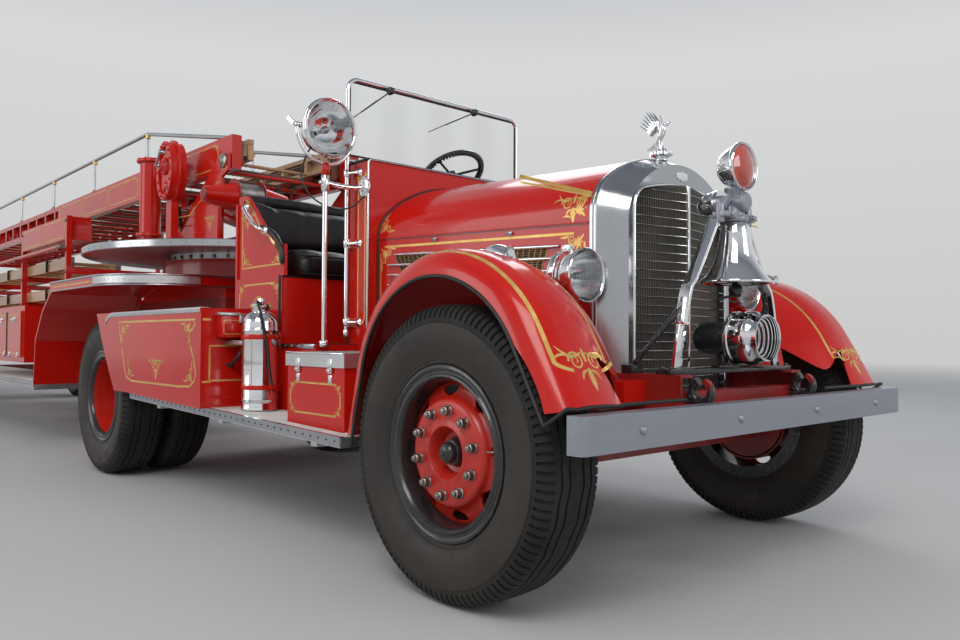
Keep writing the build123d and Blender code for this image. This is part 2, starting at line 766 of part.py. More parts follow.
with BuildPart() as windscreen_glass:
    block(around(screen_x, glass_thickness / 2), around(0, screen_half - screen_tube - 2),
          (cowl_top + 2 * (face_gap + screen_tube), screen_top - screen_tube - face_gap))
    fillet(windscreen_glass.edges().filter_by(Axis.X).group_by(Axis.Z)[-1], screen_corner - screen_tube)
save(windscreen_glass, "windscreen_glass")


def hand_wheel(centre, direction, radius, spoke_angles):
    """A steering wheel: rim, hub and spokes, turning about direction."""
    lathe(centre, direction, [
        (radius - steer_rim, -5), (radius - steer_rim / 2, -steer_rim), (radius + steer_rim / 2, -steer_rim),
        (radius + steer_rim, 0), (radius + steer_rim / 2, steer_rim), (radius - steer_rim, 5)])
    lathe(centre, direction, [(0, -wheel_hub), (32, -wheel_hub), (32, 12), (0, 24)])
    plane = Plane(origin=centre, z_dir=direction, x_dir=(0, 1, 0))
    for angle in spoke_angles:
        tip = plane.from_local_coords(Vector(cos(radians(angle)), sin(radians(angle)), 0) * (radius - 4))
        rod(centre, tuple(tip), 8)


with BuildPart() as steering_wheel:
    hand_wheel(tuple(wheel_centre), tuple(column_run), steer_wheel_radius, (90, 210, 330))
save(steering_wheel, "steering_wheel")


def crown_sketch(y, inset=0.0, longer=0.0):
    """The front fender's side outline, closed by the slanting line between its two ends."""
    with BuildSketch(Plane.XZ.offset(-y)) as face:
        with BuildLine() as outline:
            ends = []
            for way, (radius, sweep, tail) in fender_arcs.items():
                centre = (fender_top_x, fender_top - radius)
                arc = CenterArc(centre, radius - inset, 90, -way * sweep)
                fall = Vector(way * cos(radians(sweep)), -sin(radians(sweep)))
                ends.append(arc @ 1 + fall * (tail + longer))
                Line(arc @ 1, ends[-1])
            Line(*ends)
        make_face(outline.edges())
    return face.sketch


def crown_edges(builder, y):
    """The edges over the crown on one side, without the slanting bottom line."""
    face = builder.faces().filter_by(Axis.Y).filter_by(lambda f: abs(f.center().Y - y) < 1)
    return face.edges().sort_by(SortBy.LENGTH)[:-1]


# Front fenders: domed sheet over each wheel, open below and along the lip at the outer side
with BuildPart() as fender_cavity:
    extrude(crown_sketch(-fender_inner_y - fender_sheet, fender_sheet, 40),
            amount=fender_outer_y - fender_inner_y - 2 * fender_sheet)
    fillet(crown_edges(fender_cavity, -fender_outer_y + fender_sheet), fender_outer_round - fender_sheet)
    fillet(crown_edges(fender_cavity, -fender_inner_y - fender_sheet), fender_inner_round - fender_sheet)
with BuildPart() as fender_form:
    extrude(crown_sketch(-fender_inner_y), amount=fender_outer_y - fender_inner_y)
    fillet(crown_edges(fender_form, -fender_outer_y), fender_outer_round)
    fillet(crown_edges(fender_form, -fender_inner_y), fender_inner_round)
# Room for the steered wheel: its envelope at steps over the whole lock
with BuildPart() as wheel_room:
    steps = [steering_lock * step / wheel_room_steps
             for step in range(-wheel_room_steps, wheel_room_steps + 1)]
    with Locations(*[Location((front_axle_x, -kingpin_y, axle_z), (0, 0, angle)) for angle in steps]):
        with Locations(Location((0, kingpin_y - wheel_y, 0), (90, 0, 0))):
            Cylinder(tyre_radius + wheel_clearance, tyre_width + 2 * wheel_clearance)
with BuildPart() as right_fender:
    add(fender_form.part)
    block(around(front_axle_x + 330, fender_bracket_half), (-fender_inner_y - 60, -rail_outer_y),
          (rail_bottom + 60, rail_top - 20))
    block(around(front_axle_x - 460, fender_bracket_half), (-wheel_y + tyre_width / 2, -rail_inner_y - 20),
          (rail_top, rail_top + 80))
    add(fender_cavity.part, mode=Mode.SUBTRACT)
    extrude(crown_sketch(-fender_outer_y + 40, fender_outer_round, 100), amount=60, mode=Mode.SUBTRACT)
    add(wheel_room.part, mode=Mode.SUBTRACT)
# The tips that the wheel's room cuts loose are trimmed off
with BuildPart() as front_fenders:
    add(right_fender.solids().sort_by(SortBy.VOLUME)[-1])
    mirror(about=Plane.XZ)
save(front_fenders, "front_fenders")

with BuildPart() as running_boards:
    for side in sides.values():
        side_plate([(board_rear_x, board_z(board_rear_x)), (board_front_x, board_z(board_front_x)),
                    (board_front_x, board_z(board_front_x) - board_thickness),
                    (board_rear_x, board_z(board_rear_x) - board_thickness)],
                   side_range(side, board_inner_y, board_outer_y))
        for x in (board_front_x - 300, board_front_x - 1200, board_rear_x + 300):
            z = board_z(x) - board_thickness
            block(around(x, 25), side_range(side, rail_outer_y, board_outer_y - 60), (z - 35, z + 5))
            block(around(x, 25), side_range(side, rail_outer_y, rail_outer_y + 12), (z - 35, rail_top - 20))
save(running_boards, "running_boards")

tool_box_rear_x = tool_box_front_x - tool_box_length
with BuildPart() as tool_boxes:
    for side in sides.values():
        side_plate([(tool_box_rear_x, board_z(tool_box_rear_x)),
                    (tool_box_front_x, board_z(tool_box_front_x)),
                    (tool_box_front_x, tool_box_top), (tool_box_rear_x, tool_box_top)],
                   side_range(side, tool_box_inner_y, tool_box_outer_y))
        block((tool_box_rear_x + tool_box_wall, tool_box_front_x - tool_box_wall),
              side_range(side, tool_box_inner_y + tool_box_wall, tool_box_outer_y - tool_box_wall),
              (board_z(tool_box_rear_x) + tool_box_wall, tool_box_top + 1), mode=Mode.SUBTRACT)
save(tool_boxes, "tool_boxes")

for name, side in sides.items():
    with BuildPart() as lid:
        block((tool_box_rear_x - lid_lap, tool_box_front_x + lid_lap),
              side_range(side, tool_box_inner_y, tool_box_outer_y + lid_lap),
              (tool_box_top + face_gap, tool_box_top + lid_height))
    save(lid, f"tool_box_lid_{name}")


# Rear fenders: top, front and outer sheets, with an inner sheet beside the cab and over the rail
fender_step_x = seat_back_x - panel - 5
with BuildPart() as rear_fenders:
    sheet = rear_fender_sheet
    for side in sides.values():
        with BuildSketch(Plane.XZ.offset(-side * rear_fender_outer_y)) as face:
            with BuildLine() as outline:
                foot = (rear_fender_foot_x, board_z(board_rear_x))
                Polyline(foot, (board_rear_x, board_z(board_rear_x)),
                         (rear_fender_front_x, board_z(rear_fender_front_x)),
                         (rear_fender_front_x, rear_fender_top), (rear_fender_rear_x, rear_fender_top))
                ThreePointArc((rear_fender_rear_x, rear_fender_top),
                              (rear_fender_rear_x + rear_fender_arc[0], rear_fender_arc[1]), foot)
            make_face(outline.edges())
        extrude(face.sketch, amount=sheet, dir=(0, -side, 0))
        cab_y, top_range = cab_half + face_gap, (rear_fender_top - sheet, rear_fender_top)
        rail_range = (rail_top + face_gap, rear_fender_top)
        block((rear_fender_rear_x, fender_step_x),
              side_range(side, rail_outer_y - sheet, rear_fender_outer_y - 1), top_range)
        block((fender_step_x - 1, rear_fender_front_x), side_range(side, cab_y, rear_fender_outer_y - 1),
              top_range)
        block((rear_fender_front_x - sheet, rear_fender_front_x),
              side_range(side, cab_y, rear_fender_outer_y - 1),
              (board_z(rear_fender_front_x - sheet), rear_fender_top))
        side_plate([(fender_step_x, board_z(fender_step_x)),
                    (rear_fender_front_x, board_z(rear_fender_front_x)),
                    (rear_fender_front_x, rear_fender_top), (fender_step_x, rear_fender_top)],
                   side_range(side, cab_y, cab_y + sheet))
        block((fender_step_x - sheet, fender_step_x), side_range(side, rail_outer_y - sheet, cab_y + sheet),
              rail_range)
        block((rear_fender_rear_x, fender_step_x), side_range(side, rail_outer_y - sheet, rail_outer_y),
              rail_range)
save(rear_fenders, "rear_fenders")


def lamp_body(centre, direction, radius, depth, back):
    """A bowl-shaped lamp with a domed lens, facing direction."""
    lathe(centre, direction,
          [(0, radius * 0.16), (radius * 0.6, radius * 0.12), (radius, 0), (radius, -depth * 0.12),
                              (radius * 0.85, -depth * 0.4), (radius * 0.6, -depth * 0.8), (back, -depth),
                              (0, -depth)])


with BuildPart() as lamps:
    for side in sides.values():
        lamp_body((headlamp_x, side * headlamp_y, headlamp_z), (1, 0, 0), headlamp_radius, 150, 30)
        foot_x = headlamp_x - 90
        rod((foot_x, side * headlamp_y, headlamp_z - 40), (foot_x, side * headlamp_y, headlamp_z - 240), 20)
        marker_z = fender_top - 22
        lathe((marker_x - marker_length, side * marker_y, marker_z), (1, 0, 0), [
            (0, 0), (18, 30), (36, 75), (40, 100), (34, marker_length), (0, marker_length + 6)])
        form = fender_form.part if side < 0 else mirror(fender_form.part, about=Plane.XZ, mode=Mode.PRIVATE)
        add(form.moved(Location((0, 0, face_gap))), mode=Mode.SUBTRACT)
    lamp_body((spot_x, -spot_y, spot_z), (1, 0, 0), spot_radius, spot_depth, 40)
    yoke_y, yoke_low = spot_radius + 16, spot_z - spot_radius - 30
    rod((post_x, -spot_y, board_z(post_x - post_radius) + face_gap), (post_x, -spot_y, yoke_low), post_radius)
    with BuildLine() as yoke:
        FilletPolyline((post_x, -spot_y - yoke_y, spot_z + 20), (post_x, -spot_y - yoke_y, yoke_low),
                       (post_x, -spot_y + yoke_y, yoke_low), (post_x, -spot_y + yoke_y, spot_z + 20),
                       radius=70)
    with BuildSketch(Plane(origin=yoke.line @ 0, z_dir=yoke.line % 0)) as bar:
        Circle(9)
    sweep(bar.sketch, path=yoke.line)
    for way in (-1, 1):
        rod((post_x, -spot_y + way * yoke_y, spot_z), (post_x, -spot_y + way * 100, spot_z), 7)
    rod((post_x, -spot_y, spot_arm_z), (post_x, -cowl_half - face_gap, spot_arm_z), 9)
save(lamps, "lamps")

# Signal stand: base bar, A-frame, bracket, warning lamp and siren
bell_top = bell_mouth_z + bell_height
with BuildPart() as signal_stand:
    stand_foot_x = shell_front_x + 50
    block(around(bell_x - 25, 30), (-rail_outer_y, rail_outer_y), (rail_top + face_gap, rail_top + stand_bar))
    bar_points = [(360, rail_top + 5), (300, 1030), (120, bell_top + 8)]
    for side in sides.values():
        for (y1, z1), (y2, z2) in zip(bar_points, bar_points[1:]):
            rod((bell_x - 25, side * y1, z1), (bell_x - 25, side * y2, z2), 13)
        rod((bell_x - 25, side * 305, 1000), (stand_foot_x, side * spring_y, rail_top + 12), 11)
        block(around(stand_foot_x, 22), side_range(side, rail_inner_y, rail_outer_y),
              (rail_top + face_gap, rail_top + 24))
    block(around(bell_x, 40), (-130, 130), (bell_top, bell_top + 22))
    rod((bell_x, 0, bell_top + 20), (bell_x, 0, beacon_z - beacon_radius + 20), 34)
    lamp_body((beacon_x, 0, beacon_z), (1, 0, 0), beacon_radius, 100, 45)
    lathe((bell_x - 15, 0, bell_top + 75), (-1, 0, 0), [(0, 0), (52, 0), (52, 40), (30, 80), (0, 92)])
    siren_rear_x = bumper_x - 5 - siren_length
    lathe((siren_rear_x, 0, siren_z), (1, 0, 0), [(0, 0), (44, 8), (62, 40), (62, 150), (siren_radius, 165),
                                                 (siren_radius, siren_length - 30), (70, siren_length),
                                                 (0, siren_length)])
    block(around(bell_x - 25, 30), (-40, 40), (rail_top + stand_bar - 1, siren_z - 50))
save(signal_stand, "signal_stand")

with BuildPart() as bell:
    outer = [(bell_radius, 0), (bell_radius - 4, 18), (bell_radius - 38, 60), (bell_radius - 58, 130),
             (bell_radius - 66, 190), (bell_radius - 95, bell_height - 12), (0, bell_height)]
    inner = [(0, bell_height - 24), (bell_radius - 100, bell_height - 30),
             (bell_radius - 66 - bell_wall, 184),
             (bell_radius - 58 - bell_wall, 128), (bell_radius - 38 - bell_wall, 56),
             (bell_radius - bell_wall, 0)]
    lathe((bell_x, 0, bell_mouth_z), (0, 0, 1), outer + inner)
save(bell, "bell")

with BuildPart() as extinguisher:
    foot = board_z(extinguisher_x - extinguisher_radius) + face_gap
    lathe((extinguisher_x, -extinguisher_y, foot), (0, 0, 1), [
        (0, 0), (extinguisher_radius, 0), (extinguisher_radius, 460), (60, 505), (20, 515),
        (20, extinguisher_height),
        (0, extinguisher_height)])
    block(around(extinguisher_x, 10), (-cab_half - 30, -cab_half), around(foot + 220, 25))
save(extinguisher, "extinguisher")

# Trailer frame: upper coupling plate with its pin, gooseneck, drop, rails, bearers and the tow eye
with BuildPart() as trailer_frame:
    lathe((kingpin_x, 0, 0), (0, 0, 1), [(0, coupling_pin_bottom), (coupling_pin, coupling_pin_bottom),
                                        (coupling_pin, plate_top + face_gap),
                                        (plate_radius, plate_top + face_gap),
                                        (plate_radius, gooseneck_bottom + 2),
                                        (0, gooseneck_bottom + 2)])
    gooseneck_front_x = kingpin_x + nose_reach - 20
    for side in sides.values():
        y_range = side_range(side, trailer_rail_inner, trailer_rail_outer)
        block((drop_x - drop_depth, gooseneck_front_x), y_range, (gooseneck_bottom, gooseneck_top))
        block((drop_x - drop_depth, drop_x), y_range, (trailer_rail_bottom, gooseneck_top))
        block((tail_x + frame_tail_setback, drop_x), y_range, (trailer_rail_bottom, trailer_rail_top))
        for x in (kingpin_x - neck_bearer_reach, kingpin_x + neck_bearer_reach):
            block(around(x, 60), side_range(side, 150, trailer_rail_outer),
                  (gooseneck_bottom, gooseneck_top - 10))
    block((kingpin_x - 360, kingpin_x + 360), (-200, 200), (gooseneck_bottom, gooseneck_top - 10))
    bearer_start = drop_x - frame_bearer_front
    bearer_pitch = (bearer_start - tail_x - frame_bearer_rear) / (frame_bearers - 1)
    for step in range(frame_bearers):
        block(around(bearer_start - step * bearer_pitch, 30), around(0, trailer_rail_outer - 5),
              (trailer_rail_bottom + 30, trailer_rail_top - 30))
    block((tail_x + frame_tail_setback - 20, tail_x + frame_tail_setback),
          (-trailer_rail_outer, trailer_rail_outer),
          (trailer_rail_bottom, trailer_rail_top))
    for side in sides.values():
        for axle_x in (trailer_axle_x - trailer_spring_reach, trailer_axle_x + trailer_spring_reach):
            block(around(axle_x, 35), side_range(side, trailer_rail_inner + 5, trailer_rail_outer - 5),
                  (trailer_spring_z, trailer_rail_bottom + 1))
    with Locations((tail_x + 80, 0, (trailer_rail_bottom + trailer_rail_top) / 2)):
        Box(110, 90, 30)
        Cylinder(25, 40, mode=Mode.SUBTRACT)
save(trailer_frame, "trailer_frame")

with BuildPart() as trailer_axle:
    beam_axle(trailer_axle_x, (trailer_rail_inner + trailer_rail_outer) / 2, trailer_spring_z)
save(trailer_axle, "trailer_axle")


def platform_sketch(z, inset=0.0):
    """The nose platform seen from above, with rounded front corners."""
    front_x, half = kingpin_x + nose_reach - inset, body_half - inset
    rear_x = kingpin_x - 900
    with BuildSketch(Plane.XY.offset(z)) as face:
        with Locations(((front_x + rear_x) / 2, 0)):
            Rectangle(front_x - rear_x, 2 * half)
        fillet(face.vertices().group_by(Axis.X)[-1], nose_corner - inset)
    return face.sketch


# Trailer body: nose platform on joists, the ring tower, arches and side compartments
arch_points = [(-1330, 520), (-1290, 860), (-1100, 1080), (-890, 1210), (-590, platform_top)]
with BuildPart() as trailer_body:
    extrude(platform_sketch(platform_top - platform_lip), amount=platform_lip)
    extrude(platform_sketch(platform_top - platform_lip - 1, platform_plate),
            amount=platform_lip + 1 - platform_plate,
            mode=Mode.SUBTRACT)
    block((kingpin_x - 900, kingpin_x + nose_reach - 20), (-trailer_rail_outer, trailer_rail_outer),
          (gooseneck_top, platform_top - platform_plate + 1))
    block((kingpin_x - 900 - 1, kingpin_x + nose_reach - 60), (-trailer_rail_inner, trailer_rail_inner),
          (gooseneck_top - 1, platform_top - platform_plate), mode=Mode.SUBTRACT)
    tower_foot, tower_bore = platform_top - platform_plate, pivot_pin_radius + pin_gap
    lathe((kingpin_x, 0, 0), (0, 0, 1), [(tower_bore, tower_foot), (tower_radius, tower_foot),
                                        (tower_radius, tower_top), (tower_bore, tower_top)])
    for side in sides.values():
        outer = [(kingpin_x + x, z) for x, z in arch_points]
        inner = [(kingpin_x + x + arch_sheet, z - arch_sheet) for x, z in reversed(arch_points)]
        side_plate(outer + inner, side_range(side, arch_inner_y, body_half))
save(trailer_body, "trailer_body")

box_rear_x = box_front_x - box_length
rack_span = rack_first_x - rack_last_x
post_xs = [rack_first_x - rack_span * step / (post_count - 1) for step in range(post_count)]
with BuildPart() as compartments:
    for side in sides.values():
        block((box_rear_x, box_front_x), side_range(side, box_inner_y, box_outer_y), (box_bottom, box_top))
        block((box_rear_x + box_wall, box_front_x - box_wall),
              side_range(side, box_inner_y + box_wall, box_outer_y - box_wall),
              (box_bottom + box_wall, box_top - box_wall), mode=Mode.SUBTRACT)
        block((box_rear_x + door_margin, box_front_x - door_margin),
              side_range(side, box_outer_y - box_wall - 1, box_outer_y + 1),
              (box_bottom + door_margin, box_top - door_margin), mode=Mode.SUBTRACT)
        for x in (box_front_x - 300, box_rear_x + 300):
            block(around(x, 25), side_range(side, trailer_rail_outer, box_inner_y + 2),
                  (trailer_rail_bottom + 20, trailer_rail_top - 20))
save(compartments, "compartments")

for name, side in sides.items():
    with BuildPart() as door:
        block((box_rear_x + door_margin - door_lap, box_front_x - door_margin + door_lap),
              side_range(side, box_outer_y + face_gap, box_outer_y + face_gap + door_thickness),
              (box_bottom + door_margin - door_lap, box_top - door_margin + door_lap))
    save(door, f"compartment_door_{name}")

with BuildPart() as trailer_boards:
    board_front = drop_x - drop_depth
    board_rear = trailer_axle_x + trailer_fender_radius + trailer_board_gap
    for side in sides.values():
        block((board_rear, board_front),
              side_range(side, board_inner_y, trailer_board_outer),
              (trailer_board_top - trailer_board_thickness, trailer_board_top))
        for x in (board_front - board_bracket_inset, (board_front + board_rear) / 2,
                  board_rear + board_bracket_inset):
            block(around(x, 25), side_range(side, trailer_rail_outer, trailer_rail_outer + 12),
                  (trailer_board_top - 70, trailer_rail_top - 20))
            block(around(x, 25), side_range(side, trailer_rail_outer, trailer_board_outer - 60),
                  (trailer_board_top - 75, trailer_board_top - trailer_board_thickness + 5))
        with BuildSketch(Plane.XZ.offset(-side * trailer_fender_inner)) as fender:
            with Locations((trailer_axle_x, axle_z)):
                Circle(trailer_fender_radius + trailer_fender_sheet)
                Circle(trailer_fender_radius, mode=Mode.SUBTRACT)
            with Locations((trailer_axle_x, axle_z - 300)):
                Rectangle(4 * trailer_fender_radius, 800, mode=Mode.SUBTRACT)
        extrude(fender.sketch, amount=trailer_board_outer - trailer_fender_inner, dir=(0, side, 0))
        block(around(trailer_axle_x, 20),
              side_range(side, trailer_rail_outer - 60, trailer_fender_inner + 50),
              (trailer_rail_top, axle_z + trailer_fender_radius + 4))
save(trailer_boards, "trailer_boards")

# Rack frames: legs, bearers and posts at each station, with the brackets of the pipes
pipe_y = post_y + pipe_standoff
with BuildPart() as rack_frames:
    post_foot = bearer_tops[0] - bearer_height
    with Locations(*[(x, 0, z - bearer_height / 2) for x in post_xs for z in bearer_tops]):
        Box(post_size, 2 * post_y, bearer_height)
    with Locations(*[(x, side * (post_y - post_size / 2), (post_foot + rack_top) / 2)
                     for x in post_xs for side in sides.values()]):
        Box(post_size, post_size, rack_top - post_foot)
    with Locations(*[(x, side * (post_y + pipe_standoff / 2), pipe_z - pipe_radius - bracket_thickness / 2)
                     for x in post_xs for side in sides.values()]):
        Box(bracket_width, pipe_standoff + 2 * pipe_radius, bracket_thickness)
    for x in post_xs:
        foot = gooseneck_top if x > drop_x - drop_depth else trailer_rail_top
        for side in sides.values():
            block(around(x, post_size / 2),
                  side_range(side, trailer_rail_outer - post_size - 5, trailer_rail_outer - 5),
                  (foot, post_foot + 1))
save(rack_frames, "rack_frames")

# Pipes and trays along the racks, and the ladder's cradle
with BuildPart() as ladder_racks:
    tray_front_x, tray_rear_x = post_xs[0] - post_size / 2, post_xs[1] + post_size / 2
    tray_inner_y = post_y - tray_width
    for side in sides.values():
        rod((post_xs[0] + post_size / 2, side * pipe_y, pipe_z),
            (post_xs[-1] - post_size / 2, side * pipe_y, pipe_z),
            pipe_radius)
        block((tray_rear_x, tray_front_x), side_range(side, tray_inner_y, post_y), (tray_bottom, rack_top))
        block((tray_rear_x + tray_wall, tray_front_x - tray_wall),
              side_range(side, tray_inner_y + tray_wall, post_y - tray_wall),
              (tray_bottom + tray_wall, rack_top + 1), mode=Mode.SUBTRACT)
        block(around(cradle_x, cradle_half),
              side_range(side, trailer_rail_inner + 10, trailer_rail_outer - 10),
              (trailer_rail_top, base_bottom - cradle_bar))
    block(around(cradle_x, cradle_half), (-base_outer_y - 20, base_outer_y + 20),
          (base_bottom - cradle_bar - 1, base_bottom - face_gap))
save(ladder_racks, "ladder_racks")

ladder_front_x = rack_first_x - 50
ladder_outer_y = post_y - post_size - 4
rung_half = ground_ladder_width / 2 - 5
with BuildPart() as ground_ladders:
    rail_middles = (ladder_outer_y - 35 / 2, ladder_outer_y - ground_ladder_width + 35 / 2)
    with Locations(*[(ladder_front_x - ground_ladder_length / 2, side * y, z + ground_ladder_height / 2)
                     for side in sides.values() for z in bearer_tops for y in rail_middles]):
        Box(ground_ladder_length, 35, ground_ladder_height)
    rung_count = int(ground_ladder_length // ground_rung_pitch)
    with Locations(*[Location((ladder_front_x - 180 - step * ground_rung_pitch,
                               side * (ladder_outer_y - ground_ladder_width / 2), z + 50), (90, 0, 0))
                     for side in sides.values() for z in bearer_tops for step in range(rung_count)]):
        Cylinder(14, 2 * rung_half)
save(ground_ladders, "ground_ladders")

# Rear steering station, all below the ladder's sweep
seat_x = tail_x + 410
tiller_centre = Vector(tiller_wheel_x, 0, tiller_wheel_z)
tiller_run = Vector(-tiller_lean, 0, tiller_wheel_z - station_floor).normalized()
with BuildPart() as tiller_station:
    block((tail_x, station_front_x), (-station_half, station_half), (station_floor - 30, station_floor))
    for side in sides.values():
        block((tail_x, tail_x + 700), side_range(side, station_half - panel, station_half),
              (station_floor - 1, 1350))
    block((tail_x, tail_x + panel), (-station_half, station_half), (station_floor - 1, 1350))
    block(around(seat_x, 160), (-200, 200), (station_floor - 1, tiller_seat_top - 90))
    block((seat_x - 235, seat_x - 215), (-220, 220), (station_floor - 1, tiller_back_top - 20))
    rod((tiller_wheel_x + tiller_lean, 0, station_floor - 1),
        tuple(tiller_centre - tiller_run * (wheel_hub + pin_gap)), 24)
save(tiller_station, "tiller_station")

with BuildPart() as tiller_seat:
    block((seat_x - 180, seat_x + 190), (-205, 205), (tiller_seat_top - 90 + face_gap, tiller_seat_top))
    block((seat_x - 215 + face_gap, seat_x - 140), (-205, 205), (tiller_seat_top + 30, tiller_back_top))
    fillet(tiller_seat.edges().filter_by(Axis.Y), 20)
save(tiller_seat, "tiller_seat")

with BuildPart() as tiller_wheel:
    hand_wheel(tuple(tiller_centre), tuple(tiller_run), tiller_wheel_radius, (30, 150, 270))
save(tiller_wheel, "tiller_wheel")

# Turntable deck with its rim band, bearing ring and centre pin
with BuildPart() as turntable_deck:
    lathe((kingpin_x, 0, 0), (0, 0, 1), [
        (0, tower_top - 80), (pivot_pin_radius, tower_top - 80), (pivot_pin_radius, tower_top + face_gap),
        (ring_radius, tower_top + face_gap), (ring_radius, deck_top - deck_plate),
        (deck_radius - 12, deck_top - deck_plate),
        (deck_radius - 12, deck_top - deck_band), (deck_radius, deck_top - deck_band),
        (deck_radius, deck_top), (0, deck_top)])
save(turntable_deck, "turntable_deck")

# Turret: heel plates with pins, gussets, cylinder, gear case, drum and the hoist brackets
turret_foot = deck_top + face_gap
with BuildPart() as turret:
    for side in sides.values():
        plate_range = side_range(side, heel_plate_y, heel_plate_y + heel_plate)
        side_plate([(heel_x - 1050, turret_foot), (heel_x - 30, turret_foot), (heel_x - 30, heel_z - 100),
                    (heel_x + 60, heel_z - 70), (heel_x + 60, heel_z + 50), (heel_x - 60, heel_z + 50),
                    (heel_x - 400, heel_z - 180)], plate_range)
        rod((heel_x, side * (base_outer_y - base_rail - 20), heel_z),
            (heel_x, side * (heel_plate_y + heel_plate), heel_z),
            heel_pin_radius)
        for way in (-1, 1):
            block(around(hoist_base_x, 60), around(side * hoist_y + way * 60, hoist_lug / 2),
                  (turret_foot, hoist_base_z + 45))
        rod((hoist_base_x, side * (hoist_y - 62), hoist_base_z),
            (hoist_base_x, side * (hoist_y + 62), hoist_base_z),
            hoist_pin_radius)
    gear_x, gear_z = kingpin_x + 110, 2030.0
    rod((kingpin_x - 360, -600, turret_foot), (kingpin_x - 360, -600, 2190), 74)
    block(around(gear_x, 45), (-645, -595), (turret_foot, gear_z - 120))
    with BuildSketch(Plane.XZ.offset(570)) as case:
        with Locations((gear_x, gear_z)):
            Ellipse(130, 200)
    extrude(case.sketch, amount=100)
    drum_x, drum_z = kingpin_x + 800, 1780.0
    lathe((drum_x, -690, drum_z), (0, 1, 0), [(0, 0), (50, 0), (94, 200), (94, 360), (50, 560), (0, 560)])
    for y in (-600, -230):
        block(around(drum_x, 25), around(y, 12), (turret_foot, drum_z - 40))
    block((kingpin_x + 350, kingpin_x + 560), (-130, 130), (turret_foot, 1780))
save(turret, "turret")

# Hoist cylinders and rods; the rod's eye lies between the ladder's lugs
hoist_run = Vector(hoist_eye_x - hoist_base_x, 0, hoist_eye_z - hoist_base_z)
hoist_direction = hoist_run.normalized()
barrel_start, barrel_end = 60.0, hoist_run.length - 170


def along_hoist(side, distance):
    """A point on a hoist cylinder's line, at a distance from its base pin."""
    return tuple(Vector(hoist_base_x, side * hoist_y, hoist_base_z) + hoist_direction * distance)


with BuildPart() as hoist_cylinders:
    for side in sides.values():
        rod(along_hoist(side, barrel_start), along_hoist(side, barrel_end), hoist_barrel_radius - 12)
        rod(along_hoist(side, 0), along_hoist(side, barrel_start + 5), 26)
        rod((hoist_base_x, side * hoist_y - 45, hoist_base_z),
            (hoist_base_x, side * hoist_y + 45, hoist_base_z), 40)
        rod((hoist_base_x, side * hoist_y - 60, hoist_base_z),
            (hoist_base_x, side * hoist_y + 60, hoist_base_z),
            hoist_pin_radius + pin_gap, mode=Mode.SUBTRACT)
        rod(along_hoist(side, barrel_start + 30), along_hoist(side, barrel_end + 1),
            hoist_rod_radius + pin_gap,
            mode=Mode.SUBTRACT)
save(hoist_cylinders, "hoist_cylinders")

with BuildPart() as hoist_rods:
    for side in sides.values():
        rod(along_hoist(side, barrel_start + 60), along_hoist(side, hoist_run.length - 20), hoist_rod_radius)
        rod((hoist_eye_x, side * hoist_y - 30, hoist_eye_z), (hoist_eye_x, side * hoist_y + 30, hoist_eye_z),
            38)
save(hoist_rods, "hoist_rods")


def ladder_section(start_x, end_x, outer_y, rail, bottom, height, chord):
    """Two trussed rails joined by rungs."""
    count = int((start_x - end_x - 400) // rung_pitch) + 1
    rung_xs = [start_x - 250 - step * rung_pitch for step in range(count)]
    rail_middle, post_height = outer_y - rail / 2, height - 2 * chord + 2
    with Locations(*[((start_x + end_x) / 2, side * rail_middle, z) for side in sides.values()
                     for z in (bottom + chord / 2, bottom + height - chord / 2)]):
        Box(start_x - end_x, rail, chord)
    with Locations(*[(x, side * rail_middle, bottom + height / 2) for side in sides.values()
                     for x in (start_x - 25, *rung_xs, end_x + 25)]):
        Box(44, rail, post_height)
    with Locations(*[Location((x, 0, bottom + chord / 2), (90, 0, 0)) for x in rung_xs]):
        Cylinder(rung_radius, 2 * outer_y - 10)


# Aerial ladder: a base section with side panels, and two sections that slide in it
guide_lift = 25.0
with BuildPart() as base_ladder:
    ladder_section(heel_x + heel_end, base_tip_x, base_outer_y, base_rail, base_bottom,
                   base_top - base_bottom, 45)
    for side in sides.values():
        block((heel_x - panel_length, heel_x + heel_end),
              side_range(side, base_outer_y - base_rail, base_outer_y + panel_sheet), (base_bottom, base_top))
        rod((heel_x, side * 380, heel_z), (heel_x, side * 600, heel_z), heel_pin_radius + pin_gap,
            mode=Mode.SUBTRACT)
        block((base_tip_x, base_tip_x + guide_length),
              side_range(side, middle_outer_y + 0.5, base_outer_y - base_rail + 1),
              (middle_bottom + guide_lift, middle_bottom + section_height - guide_lift))
        for way in (-1, 1):
            block(around(hoist_eye_x, 50), around(side * hoist_y + way * 45, hoist_lug / 2),
                  (hoist_eye_z - 40, base_bottom + 30))
    block(around(hoist_eye_x, 45), (-base_outer_y + 20, base_outer_y - 20), (base_bottom, base_bottom + 40))
save(base_ladder, "base_ladder")

middle_heel_x = heel_x + heel_end - section_setback
middle_tip_x = base_tip_x - tip_step
with BuildPart() as middle_ladder:
    ladder_section(middle_heel_x, middle_tip_x, middle_outer_y, middle_rail, middle_bottom, section_height,
                   38)
    for side in sides.values():
        block((middle_heel_x - guide_length, middle_heel_x - 20),
              side_range(side, middle_outer_y - 1, base_outer_y - base_rail - 0.5),
              (middle_bottom + guide_lift, middle_bottom + section_height - guide_lift))
        block((middle_tip_x, middle_tip_x + guide_length),
              side_range(side, top_outer_y + 0.5, middle_outer_y - middle_rail + 1),
              (top_bottom + guide_lift, top_bottom + 100))
save(middle_ladder, "middle_ladder")

top_tip_x = middle_tip_x - tip_step
with BuildPart() as top_ladder:
    ladder_section(middle_heel_x, top_tip_x, top_outer_y, top_rail, top_bottom, top_height, 32)
    for side in sides.values():
        block((middle_heel_x - guide_length, middle_heel_x - 20),
              side_range(side, top_outer_y - 1, middle_outer_y - middle_rail - 0.5),
              (top_bottom + guide_lift, top_bottom + 100))
save(top_ladder, "top_ladder")

